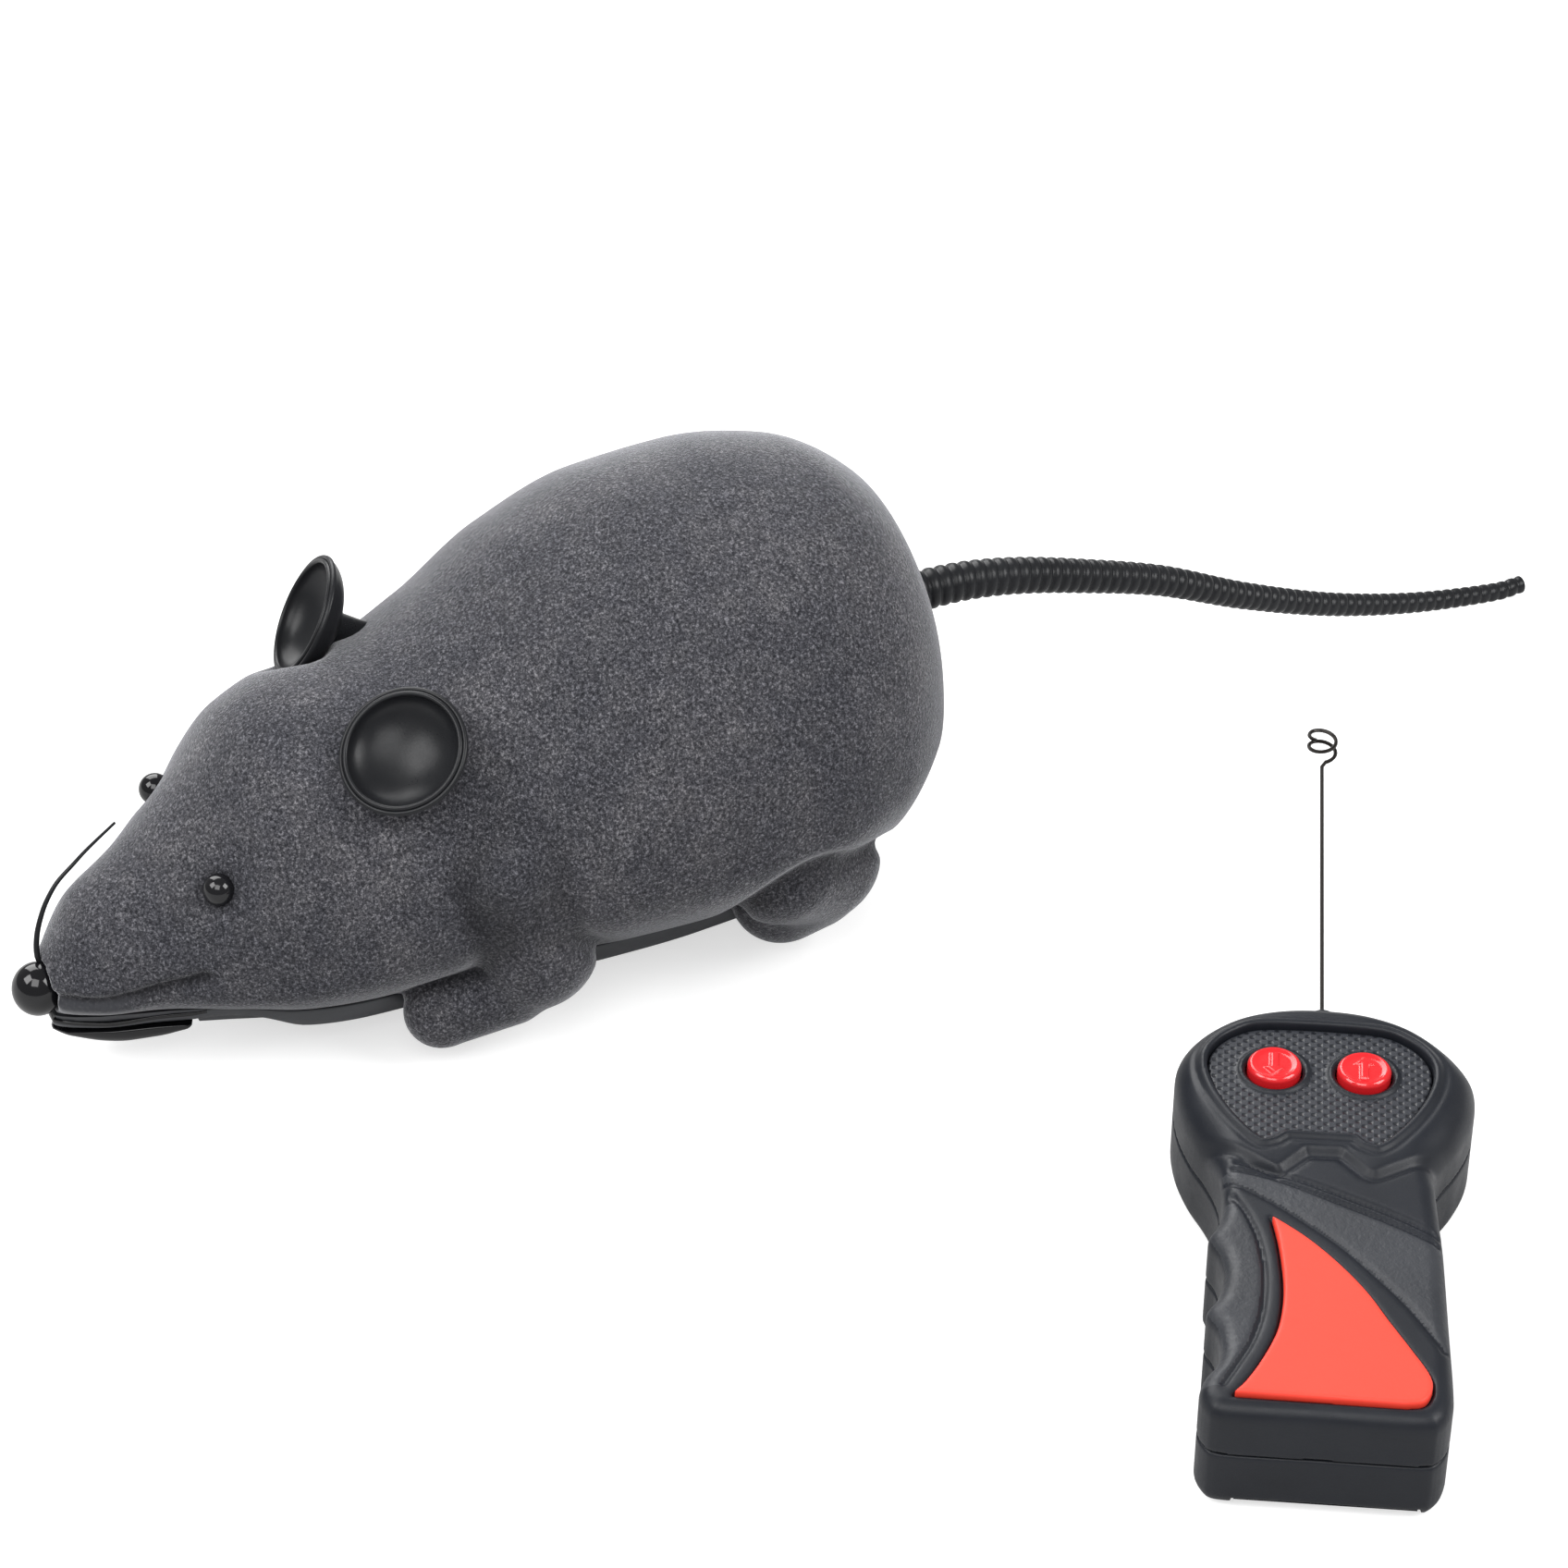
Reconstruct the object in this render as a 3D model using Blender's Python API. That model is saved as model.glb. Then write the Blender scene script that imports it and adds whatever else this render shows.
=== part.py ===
# Remote-controlled mouse for cats, with its hand-held remote.
# Metres, +Z up.  The mouse's nose points to -Y, its left side is +X, and both things stand on Z = 0.
import math

import bmesh
import bpy
import numpy as np
from mathutils import Vector

# Body of the mouse
BODY_LENGTH = 0.136
BODY_WIDTH = 0.0748
BODY_HEIGHT = 0.0691
SHELL_WALL = 0.0018
RIM_HEIGHT = 0.010
NOSE_END_SHARE = 0.493

# Clearances
GAP = 0.0003
RUNNING_GAP = 0.00015
OVERRUN = 0.004

# Each row: place along the body, height of the back, half width, height of the widest point, height of
# the belly.  The first follows BODY_LENGTH, the third half of BODY_WIDTH, the others BODY_HEIGHT.
# The shell ends at its rim, so a belly under the floor only says how steeply the flanks fall.
STATION_SHARES = (
    (0.000, 0.217, 0.000, 0.217, 0.217),
    (0.015, 0.351, 0.139, 0.210, 0.130),
    (0.051, 0.414, 0.246, 0.217, 0.114),
    (0.110, 0.450, 0.350, 0.246, 0.091),
    (0.176, 0.565, 0.508, 0.260, 0.078),
    (0.243, 0.700, 0.640, 0.289, 0.045),
    (0.309, 0.735, 0.714, 0.318, -0.003),
    (0.382, 0.745, 0.775, 0.347, -0.010),
    (0.471, 0.812, 0.853, 0.391, -0.022),
    (0.566, 0.916, 0.952, 0.420, -0.030),
    (0.669, 0.988, 1.000, 0.434, -0.026),
    (0.772, 1.000, 0.987, 0.449, -0.022),
    (0.860, 0.975, 0.882, 0.463, -0.004),
    (0.934, 0.880, 0.652, 0.463, 0.188),
    (0.978, 0.696, 0.356, 0.478, 0.289),
    (1.000, 0.495, 0.000, 0.495, 0.495),
)
BODY_RINGS = 20
BODY_SIDES = 24
HOLLOW_RINGS = 11
HOLLOW_SIDES = 16
RIM_PLACES = 22
RIM_LEAST_SHARE = 0.033
CAVITY_START_SHARE = 0.08
CAVITY_END_SHARE = 0.985
MOUTH_START_SHARE = 0.081
MOUTH_DEPTH = 0.0022

# Legs: a paw and an elbow or heel, each with a place along the body, a height and a radius
FRONT_LEG_X = 0.0225
FRONT_PAW_SHARE = 0.375
FRONT_PAW_HEIGHT = 0.0086
FRONT_PAW_RADIUS = 0.0058
FRONT_ELBOW_SPREAD = 0.0022
FRONT_ELBOW_SHARE = 0.476
FRONT_ELBOW_HEIGHT = 0.0165
FRONT_ELBOW_RADIUS = 0.0092
REAR_LEG_X = 0.0225
REAR_PAW_SHARE = 0.783
REAR_PAW_HEIGHT = 0.0104
REAR_PAW_RADIUS = 0.0080
REAR_HEEL_SHARE = 0.835
REAR_HEEL_HEIGHT = 0.0132
REAR_HEEL_RADIUS = 0.0084
LEG_WIDTH_SHARE = 0.86

# Chassis tray under the shell
CHASSIS_BOTTOM = 0.006
CHASSIS_FLOOR = 0.0020
CHASSIS_SIDE_WALL = 0.0014
CHASSIS_CHAMFER = 0.0026
CHASSIS_FRONT_PLATE = 0.0018
CHIN_START_SHARE = 0.151

# Lower jaw
JAW_BOTTOM = 0.0027
JAW_TOP = 0.0066
JAW_SLIT = 0.0010
JAW_NECK_INSET = 0.0024
# Each row: place along the jaw, half width, height of the underside.
# The first follows the jaw's length, the second its half width, the third its depth.
JAW_SHARES = (
    (0.00, 0.22, 0.90),
    (0.12, 0.52, 0.62),
    (0.30, 0.78, 0.24),
    (0.52, 0.96, 0.02),
    (0.74, 1.00, 0.00),
    (0.90, 0.86, 0.22),
    (1.00, 0.60, 0.66),
)
JAW_FRONT_SHARE = 0.0114
JAW_BACK_SHARE = 0.146
JAW_HALF_WIDTH = 0.0108
JAW_RINGS = 9
JAW_SIDES = 10
JAW_FULLNESS = 0.7

# Nose, eyes, ears and whisker.  A place is a share of half BODY_WIDTH, of BODY_LENGTH from the
# snout's end and of BODY_HEIGHT; the nose is on the middle line.
NOSE_PLACE_SHARES = (0.0018, 0.200)
NOSE_RADIUS = 0.0036
NOSE_TALL_SHARE = 1.08
NOSE_PEG_RADIUS = 0.0012
NOSE_PEG_LENGTH = 0.0085
EYE_PLACE_SHARES = (0.340, 0.1717, 0.463)
EYE_RADIUS = 0.00225
EYE_PEG_RADIUS = 0.0010
EYE_PEG_LENGTH = 0.0052
EAR_PLACE_SHARES = (0.497, 0.357, 0.740)
EAR_RADIUS = 0.0091
EAR_DEPTH = 0.0040
EAR_THICKNESS = 0.0012
EAR_MOUTH_SHARE = 0.90
EAR_STEPS = 5
EAR_SIDES = 18
EAR_STEM_RADIUS = 0.0023
EAR_STEM_LENGTH = 0.0052
LEFT_EAR_AIM = (0.40, -0.47, 0.79)
RIGHT_EAR_AIM = (-0.23, -0.83, 0.50)
WHISKER_ROOT_RADIUS = 0.00045
WHISKER_TIP_RADIUS = 0.00022
WHISKER_ROUTE = (
    (-0.0013, -0.0650, 0.0186),
    (-0.0013, -0.0670, 0.0186),
    (-0.0017, -0.0676, 0.0193),
    (-0.0026, -0.0671, 0.0209),
    (-0.0033, -0.0657, 0.0230),
    (-0.0040, -0.0640, 0.0250),
    (-0.0046, -0.0616, 0.0271),
    (-0.0051, -0.0582, 0.0290),
    (-0.0061, -0.0560, 0.0299),
    (-0.0080, -0.0512, 0.0318),
)

# Tail
TAIL_HEIGHT = 0.0393
TAIL_ROOT_Y = 0.0653
TAIL_HOLE_RADIUS = 0.0036
TAIL_ROOT_DIAMETER = 0.0063
TAIL_TIP_DIAMETER = 0.0028
TAIL_RIB_DEPTH = 0.0004
TAIL_RIBS = 54
TAIL_SOCKET_RADIUS = 0.0052
TAIL_SOCKET_LENGTH = 0.0048
TAIL_ROUTE = (
    (0.0000, 0.0653, 0.0393),
    (0.0000, 0.0716, 0.0393),
    (-0.0001, 0.0778, 0.0387),
    (-0.0003, 0.0856, 0.0370),
    (-0.0008, 0.0956, 0.0337),
    (-0.0018, 0.1107, 0.0278),
    (-0.0035, 0.1269, 0.0192),
    (-0.0053, 0.1437, 0.0115),
    (-0.0068, 0.1603, 0.0059),
    (-0.0080, 0.1760, 0.0024),
    (-0.0085, 0.1820, 0.0019),
)

# Drive: wheels, axle and gears.  The gears follow the module and their teeth.
WHEEL_RADIUS = 0.0095
WHEEL_INNER_X = 0.0087
WHEEL_WIDTH = 0.0045
WHEEL_Y = 0.038
WHEEL_WELL_GAP = 0.0008
HUB_RADIUS = 0.0072
HUB_RECESS = 0.0012
HUB_BOSS_RADIUS = 0.0026
HUB_RIM_WIDTH = 0.0013
AXLE_RADIUS = 0.0010
AXLE_END_GAP = 0.0003
TREAD_DEPTH = 0.0006
TREAD_BLOCKS = 14
GEAR_MODULE = 0.0004
PINION_TEETH = 8
COMPOUND_BIG_TEETH = 32
COMPOUND_SMALL_TEETH = 12
AXLE_GEAR_TEETH = 30
COMPOUND_ANGLE = math.radians(123.2)
MOTOR_ANGLE = math.radians(131)
GEAR_ROOT_SHARE = 1.05
GEAR_TIP_SHARE = 0.75
TOOTH_ROOT_SHARE = 0.31
TOOTH_TIP_SHARE = 0.11
GEAR_START_X = 0.0006
SMALL_GEAR_WIDTH = 0.0024
BIG_GEAR_WIDTH = 0.0015
PINION_WIDTH = 0.0024
COMPOUND_BORE_RADIUS = 0.00085
COMPOUND_PIN_RADIUS = 0.0007
AXLE_GEAR_WIDTH = 0.0020
MOTOR_RADIUS = 0.0060
MOTOR_FLAT = 0.0050
MOTOR_LENGTH = 0.0150
MOTOR_BEARING_RADIUS = 0.0016
MOTOR_BEARING_LENGTH = 0.0008
MOTOR_SHAFT_RADIUS = 0.0005
MOTOR_SHAFT_BORE = 0.00075
MOTOR_SHAFT_DEPTH = 0.0060

# Gearbox frame
GEARBOX_LEFT_X = -0.0012
GEARBOX_PLATE = 0.0010
GEARBOX_INSIDE = 0.0056
GEARBOX_FRONT_Y = 0.0226
GEARBOX_BACK_Y = 0.0454
GEARBOX_TOP = 0.0295
GEARBOX_WALL = 0.0008
GEARBOX_BELLY_BOTTOM = 0.0020
GEARBOX_BELLY_FRONT_Y = 0.0306

# Front castor
CASTOR_Y = -0.036
CASTOR_TRAIL = 0.0030
CASTOR_WHEEL_RADIUS = 0.0045
CASTOR_WHEEL_HALF_WIDTH = 0.0017
CASTOR_AXLE_RADIUS = 0.0007
CASTOR_FORK_INSIDE = 0.0021
CASTOR_FORK_WALL = 0.0011
CASTOR_LEG_HALF_LENGTH = 0.0016
CASTOR_CROWN_RADIUS = 0.0042
CASTOR_CROWN_BOTTOM = 0.0096
CASTOR_CROWN_TOP = 0.0114
CASTOR_CUP_INSIDE = 0.0080
CASTOR_CUP_WALL = 0.0012
CASTOR_CUP_CEILING = 0.0123
CASTOR_CUP_TOP = 0.0136
CASTOR_PIN_RADIUS = 0.0013
CASTOR_HEAD_RADIUS = 0.0021
CASTOR_HEAD_HEIGHT = 0.0010

# Battery bay and its door
CELL_RADIUS = 0.00525
CELL_LENGTH = 0.0433
CELL_NUB_RADIUS = 0.0019
CELL_NUB_LENGTH = 0.0012
CELL_SPACING = 0.0111
BAY_FRONT_Y = -0.0256
BAY_BACK_Y = 0.0214
BAY_HALF_WIDTH = 0.01115
BAY_CEILING = 0.0187
BAY_WALL = 0.0010
CONTACT_THICKNESS = 0.0004
CONTACT_SPRING = 0.0005
CONTACT_SPRING_RADIUS = 0.0030
CONTACT_EDGE = 0.0009
DOOR_THICKNESS = 0.0010
DOOR_LIP = 0.0006
DOOR_TAB_X = 0.0094
DOOR_TAB_Y = -0.0285
DOOR_TAB_RADIUS = 0.0023

# Screws
SCREW_RADIUS = 0.0010
SCREW_HEAD_RADIUS = 0.0019
SCREW_HEAD_HEIGHT = 0.0010
SCREW_DRIVE_RADIUS = 0.0010
SCREW_DRIVE_DEPTH = 0.0005
SCREW_HOLE_GAP = 0.0003
SCREW_BOSS_RADIUS = 0.0024
REAR_SCREW_X = 0.0140
REAR_SCREW_Y = 0.0242
REAR_BOSS_TOP = 0.0155
REAR_WEB_LENGTH = 0.0105
REAR_WEB_WIDTH = 0.0014
FRONT_SCREW_SHARE = 0.0996
SCREW_SEAT_DEPTH = 0.0016
SCREW_BITE = 0.0045
JAW_SCREW_SEAT = 0.0020

# Power switch
SWITCH_X = -0.0050
SWITCH_Y = 0.0280
SWITCH_HALF_WIDTH = 0.0024
SWITCH_HALF_LENGTH = 0.0045
SWITCH_HEIGHT = 0.0045
SWITCH_SLOT_HALF_WIDTH = 0.0012
SWITCH_SLOT_HALF_LENGTH = 0.0030
SWITCH_KNOB_LENGTH = 0.0027
SWITCH_KNOB_PROUD = 0.0009
SWITCH_KNOB_RISE = 0.0020
SWITCH_KNOB_GRIPS = 3
SWITCH_GRIP_DEPTH = 0.0003

# Receiver board
BOARD_THICKNESS = 0.0012
BOARD_HALF_WIDTH = 0.0110
BOARD_FRONT_Y = -0.0200
BOARD_BACK_Y = 0.0140
BOARD_POST_HEIGHT = 0.0028
BOARD_POST_RADIUS = 0.0015
BOARD_POST_INSET = 0.0035
# Each row: centre across and along, half size across and along, height.
# All follow the receiver board's half width.
RECEIVER_CHIP_SHARES = (
    (-0.30, -0.30, 0.34, 0.86, 0.32),
    (0.52, -0.95, 0.16, 0.50, 0.32),
    (0.50, 0.30, 0.24, 0.24, 0.55),
    (-0.45, 1.10, 0.23, 0.23, 0.64),
    (0.45, 1.05, 0.20, 0.34, 0.24),
)

# Remote control
REMOTE_LENGTH = 0.080
REMOTE_WIDTH = 0.040
REMOTE_THICKNESS = 0.018
REMOTE_SPLIT = 0.0090
REMOTE_WALL = 0.0015
REMOTE_EDGE = 0.0028
REMOTE_X = 0.1518
REMOTE_Y = 0.0468
REMOTE_YAW = math.radians(58.6)
# Outline, clockwise from the antenna: across follows REMOTE_WIDTH, along follows REMOTE_LENGTH
REMOTE_OUTLINE_SHARES = (
    (0.000, 1.000), (0.154, 0.990), (0.298, 0.957), (0.409, 0.904), (0.480, 0.849), (0.500, 0.806),
    (0.486, 0.745), (0.442, 0.685), (0.385, 0.632), (0.357, 0.596), (0.356, 0.550), (0.365, 0.476),
    (0.375, 0.401), (0.385, 0.236), (0.394, 0.091), (0.388, 0.045), (0.360, 0.014), (0.300, 0.000),
    (-0.014, 0.000), (-0.300, 0.000), (-0.360, 0.012), (-0.388, 0.045), (-0.372, 0.082), (-0.337, 0.112),
    (-0.327, 0.146), (-0.341, 0.190), (-0.375, 0.226), (-0.341, 0.262), (-0.324, 0.3125),
    (-0.341, 0.361), (-0.375, 0.399), (-0.346, 0.433), (-0.332, 0.476), (-0.335, 0.530),
    (-0.350, 0.570), (-0.385, 0.615), (-0.440, 0.670), (-0.483, 0.735), (-0.500, 0.806),
    (-0.480, 0.861), (-0.409, 0.916), (-0.298, 0.963), (-0.154, 0.992),
)
# Right half of the face plate, from the top centre down; it is mirrored about its own centre line
FACE_PLATE_SHARES = (
    (0.000, 0.923), (0.149, 0.918), (0.269, 0.894), (0.336, 0.853), (0.353, 0.808),
    (0.328, 0.752), (0.270, 0.692), (0.200, 0.642), (0.163, 0.625), (0.133, 0.632), (0.100, 0.650),
)
FACE_PLATE_CENTRE_SHARE = -0.020
FACE_PLATE_SUNK = 0.0007
FACE_PLATE_THICKNESS = 0.0012
GRIP_PANEL_SHARES = (
    (-0.178, 0.445), (-0.060, 0.395), (0.043, 0.337), (0.130, 0.275), (0.197, 0.212),
    (0.265, 0.150), (0.318, 0.098), (0.322, 0.060), (0.290, 0.032), (0.240, 0.028), (-0.288, 0.031),
    (-0.250, 0.058), (-0.200, 0.110), (-0.155, 0.175), (-0.138, 0.240), (-0.138, 0.300), (-0.154, 0.380),
)
GRIP_PANEL_THICKNESS = 0.0009
GRIP_PANEL_PROUD = 0.0003

# Buttons, rubber mat and board of the remote
BUTTON_RADIUS = 0.0036
BUTTON_HEIGHT_SHARE = 0.8075
BUTTON_LEFT_SHARE = -0.173
BUTTON_RIGHT_SHARE = 0.125
BUTTON_PROUD = 0.0016
BUTTON_TRAVEL = 0.0010
BUTTON_FLANGE = 0.0008
BUTTON_EDGE = 0.0005
BUTTON_STEM_RADIUS = 0.0016
MAT_THICKNESS = 0.0008
MAT_HALF_WIDTH = 0.0110
MAT_HALF_LENGTH = 0.0062
MAT_DOME_RADIUS = 0.0030
MAT_DOME_HEIGHT = 0.0010
MAT_DOME_TOP_RADIUS = 0.0021
REMOTE_BOARD_HEIGHT = 0.0092
REMOTE_BOARD_HALF_WIDTH = 0.0140
REMOTE_BOARD_BOTTOM_SHARE = 0.69
REMOTE_BOARD_TOP_SHARE = 0.90
REMOTE_POST_RADIUS = 0.0016
REMOTE_POST_SHARE = 0.75
# Each row: centre across and along, half size across and along, height: shares of the board's half width.
# They hang under the board.
TRANSMITTER_CHIP_SHARES = (
    (-0.10, 0.05, 0.25, 0.30, 0.20),
    (0.42, 0.25, 0.18, 0.12, 0.25),
    (0.42, -0.28, 0.16, 0.18, 0.30),
)

# Antenna
ANTENNA_WIRE_RADIUS = 0.0003
ANTENNA_LENGTH = 0.0668
ANTENNA_EYE_RADIUS = 0.0020
ANTENNA_EYE_TURNS = 2
ANTENNA_EYE_STEP = 0.00115
ANTENNA_EYE_RISE = 0.0012
ANTENNA_BURIED = 0.0030
LOWER_COLLAR_RADIUS = 0.00295
LOWER_COLLAR_HEIGHT = 0.0023
UPPER_COLLAR_RADIUS = 0.0022
UPPER_COLLAR_HEIGHT = 0.0033
COLLAR_STEM_RADIUS = 0.0019
COLLAR_STEM_LENGTH = 0.0040
COLLAR_FLANGE_RADIUS = 0.0028
COLLAR_FLANGE_LENGTH = 0.0010

# Batteries of the remote and the door that slides off its back
REMOTE_BAY_CENTRE_SHARE = 0.025
REMOTE_BAY_END_Y = 0.0034
REMOTE_BAY_TOP_Y = 0.0502
REMOTE_BAY_HALF_WIDTH = 0.0108
REMOTE_CELL_SPACING = 0.0108
REMOTE_DOOR_LIP = 0.0006
REMOTE_DOOR_THICKNESS = 0.0011
REMOTE_DOOR_SUNK = 0.0003
REMOTE_DOOR_TOP_Y = 0.0515
REMOTE_DOOR_GRIPS = 5
REMOTE_DOOR_GRIP_STEP = 0.0015
REMOTE_DOOR_GRIP_START = 0.0040
REMOTE_SCREW_X = 0.0150
REMOTE_SCREW_SHARE = 0.755
REMOTE_SCREW_SEAT = 0.0030
REMOTE_SCREW_REACH = 0.0050

# Colours: flocking, satin plastic, gloss plastic, rubber, metals
FLOCK_GREY = (0.072, 0.072, 0.082, 1.0)
SATIN_BLACK = (0.040, 0.042, 0.045, 1.0)
GLOSS_BLACK = (0.006, 0.006, 0.007, 1.0)
RUBBER_BLACK = (0.018, 0.019, 0.021, 1.0)
REMOTE_GREY = (0.042, 0.045, 0.055, 1.0)
BUTTON_RED = (0.74, 0.022, 0.028, 1.0)
CORAL_RED = (0.95, 0.125, 0.080, 1.0)
STEEL = (0.55, 0.55, 0.56, 1.0)
BRASS = (0.66, 0.49, 0.22, 1.0)
GEAR_WHITE = (0.80, 0.79, 0.74, 1.0)
BOARD_GREEN = (0.03, 0.18, 0.08, 1.0)
CELL_GREEN = (0.05, 0.22, 0.16, 1.0)
BLACK_WIRE = (0.010, 0.009, 0.008, 1.0)

BODY_FRONT_Y = -NOSE_END_SHARE * BODY_LENGTH
HALF_WIDTH = BODY_WIDTH / 2
FLOOR_TOP = CHASSIS_BOTTOM + CHASSIS_FLOOR
RIM_TOP = RIM_HEIGHT - 2 * GAP
AXLE_HEIGHT = WHEEL_RADIUS
MOUTH_START_Y = BODY_FRONT_Y + MOUTH_START_SHARE * BODY_LENGTH
CHIN_START_Y = BODY_FRONT_Y + CHIN_START_SHARE * BODY_LENGTH
JAW_FRONT_Y = BODY_FRONT_Y + JAW_FRONT_SHARE * BODY_LENGTH
JAW_BACK_Y = BODY_FRONT_Y + JAW_BACK_SHARE * BODY_LENGTH
FRONT_SCREW_Y = BODY_FRONT_Y + FRONT_SCREW_SHARE * BODY_LENGTH
FRONT_PAW_Y = BODY_FRONT_Y + FRONT_PAW_SHARE * BODY_LENGTH
FRONT_ELBOW_Y = BODY_FRONT_Y + FRONT_ELBOW_SHARE * BODY_LENGTH
REAR_PAW_Y = BODY_FRONT_Y + REAR_PAW_SHARE * BODY_LENGTH
REAR_HEEL_Y = BODY_FRONT_Y + REAR_HEEL_SHARE * BODY_LENGTH
NOSE_Y = BODY_FRONT_Y + NOSE_PLACE_SHARES[0] * BODY_LENGTH
NOSE_HEIGHT = NOSE_PLACE_SHARES[1] * BODY_HEIGHT


def clear_scene():
    """Take away whatever the scene holds."""
    for thing in list(bpy.data.objects):
        bpy.data.objects.remove(thing, do_unlink=True)


def material(name, colour, roughness, metallic=0.0):
    """A plain Principled material, made once for each name."""
    found = bpy.data.materials.get(name)
    if found:
        return found
    made = bpy.data.materials.new(name)
    made.use_nodes = True
    shader = made.node_tree.nodes["Principled BSDF"]
    shader.inputs["Base Color"].default_value = colour
    shader.inputs["Roughness"].default_value = roughness
    shader.inputs["Metallic"].default_value = metallic
    made.diffuse_color = colour
    return made


def solid(name, points, faces):
    """A closed mesh object from points and faces, with its faces turned outwards."""
    mesh = bpy.data.meshes.new(name)
    mesh.from_pydata([tuple(p) for p in points], [], faces)
    work = bmesh.new()
    work.from_mesh(mesh)
    bmesh.ops.recalc_face_normals(work, faces=work.faces)
    work.to_mesh(mesh)
    work.free()
    thing = bpy.data.objects.new(name, mesh)
    bpy.context.scene.collection.objects.link(thing)
    return thing


def lofted(name, rings, first_pole=None, last_pole=None):
    """A solid through rings of equal count, each end closed by a flat face or by a pole."""
    rings = [[Vector(p) for p in ring] for ring in rings]
    count = len(rings[0])
    points = [p for ring in rings for p in ring]
    faces = []
    for k in range(len(rings) - 1):
        for i in range(count):
            j = (i + 1) % count
            faces.append((k * count + i, k * count + j, (k + 1) * count + j, (k + 1) * count + i))
    last = (len(rings) - 1) * count
    if first_pole is None:
        faces.append(tuple(range(count))[::-1])
    else:
        points.append(Vector(first_pole))
        pole = len(points) - 1
        faces.extend((pole, (i + 1) % count, i) for i in range(count))
    if last_pole is None:
        faces.append(tuple(range(last, last + count)))
    else:
        points.append(Vector(last_pole))
        pole = len(points) - 1
        faces.extend((pole, last + i, last + (i + 1) % count) for i in range(count))
    return solid(name, points, faces)


def prism(name, outline, levels):
    """A flat outline raised through levels, each a height and how far the outline is drawn in there."""
    rings = [[(x, y, height) for x, y in drawn_in(outline, inset)] for height, inset in levels]
    return lofted(name, rings)


def drawn_in(outline, inset):
    """The outline moved inwards by the inset, each corner along the mean of its two edges' normals."""
    points = np.array(outline, dtype=float)
    before = points - np.roll(points, 1, axis=0)
    after = np.roll(points, -1, axis=0) - points
    area = np.sum(points[:, 0] * np.roll(points[:, 1], -1) - points[:, 1] * np.roll(points[:, 0], -1))
    turn = 1.0 if area > 0 else -1.0

    def inward(edge):
        length = np.hypot(edge[:, 0], edge[:, 1])[:, None]
        return turn * np.stack([-edge[:, 1], edge[:, 0]], axis=1) / length

    first = inward(before)
    second = inward(after)
    middle = first + second
    middle /= np.maximum(np.hypot(middle[:, 0], middle[:, 1])[:, None], 1e-9)
    reach = 1.0 / np.maximum(np.sum(middle * first, axis=1), 0.5)
    return points + middle * reach[:, None] * inset


def narrowed(outline, inset):
    """The outline scaled about its own middle, so that its sides and its ends come in by the inset."""
    half = max(x for x, y in outline)
    first = min(y for x, y in outline)
    last = max(y for x, y in outline)
    middle = (first + last) / 2
    across = 1 - inset / half
    along = 1 - 2 * inset / (last - first)
    return [(x * across, middle + (y - middle) * along) for x, y in outline]


def turned(name, profile, start, aim, sides=24):
    """A solid of revolution: profile pairs are radius and distance along the aim from the start."""
    along = Vector(aim).normalized()
    across = along.orthogonal().normalized()
    other = along.cross(across)
    start = Vector(start)
    closed = profile[0][0] == 0 and profile[-1][0] == 0
    points = []
    rows = []
    for radius, distance in profile:
        if radius == 0:
            points.append(start + along * distance)
            rows.append([len(points) - 1] * sides)
            continue
        first = len(points)
        for i in range(sides):
            angle = math.tau * i / sides
            points.append(
                start + along * distance + (across * math.cos(angle) + other * math.sin(angle)) * radius
            )
        rows.append(list(range(first, first + sides)))
    faces = []
    last = len(rows) - 1 if closed else len(rows)
    for k in range(last):
        low = rows[k]
        high = rows[(k + 1) % len(rows)]
        for i in range(sides):
            j = (i + 1) % sides
            corners = list(dict.fromkeys((low[i], low[j], high[j], high[i])))
            if len(corners) > 2:
                faces.append(tuple(corners))
    return solid(name, points, faces)


def rod(name, start, end, radius, sides=16):
    """A plain round rod between two points."""
    start = Vector(start)
    aim = Vector(end) - start
    return turned(name, ((0, 0), (radius, 0), (radius, aim.length), (0, aim.length)), start, aim, sides)


def block(name, low, high):
    """A box between two corners."""
    ring = ((0, 0), (1, 0), (1, 1), (0, 1))
    rings = [
        [(high[0] if a else low[0], high[1] if b else low[1], z) for a, b in ring]
        for z in (low[2], high[2])
    ]
    return lofted(name, rings)


def ball(name, centre, radii, sides=16):
    """An ellipsoid with its poles on Z."""
    rings = []
    for k in range(1, sides // 2):
        angle = math.pi * k / (sides // 2)
        rings.append(
            [
                (
                    centre[0] + radii[0] * math.sin(angle) * math.cos(math.tau * i / sides),
                    centre[1] + radii[1] * math.sin(angle) * math.sin(math.tau * i / sides),
                    centre[2] - radii[2] * math.cos(angle),
                )
                for i in range(sides)
            ]
        )
    low = (centre[0], centre[1], centre[2] - radii[2])
    high = (centre[0], centre[1], centre[2] + radii[2])
    return lofted(name, rings, low, high)


def combined(base, tool, operation):
    """Union, difference or intersection of two solids; the tool is used up."""
    cut = base.modifiers.new(operation.title(), "BOOLEAN")
    cut.operation = operation
    cut.solver = "EXACT"
    cut.object = tool
    graph = bpy.context.evaluated_depsgraph_get()
    mesh = bpy.data.meshes.new_from_object(base.evaluated_get(graph))
    base.modifiers.clear()
    base.data = mesh
    bpy.data.objects.remove(tool, do_unlink=True)
    work = bmesh.new()
    work.from_mesh(mesh)
    bmesh.ops.triangulate(work, faces=work.faces)
    work.to_mesh(mesh)
    work.free()
    return base


def joined(base, *tools):
    """The base with each tool added to it."""
    for tool in tools:
        combined(base, tool, "UNION")
    return base


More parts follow.
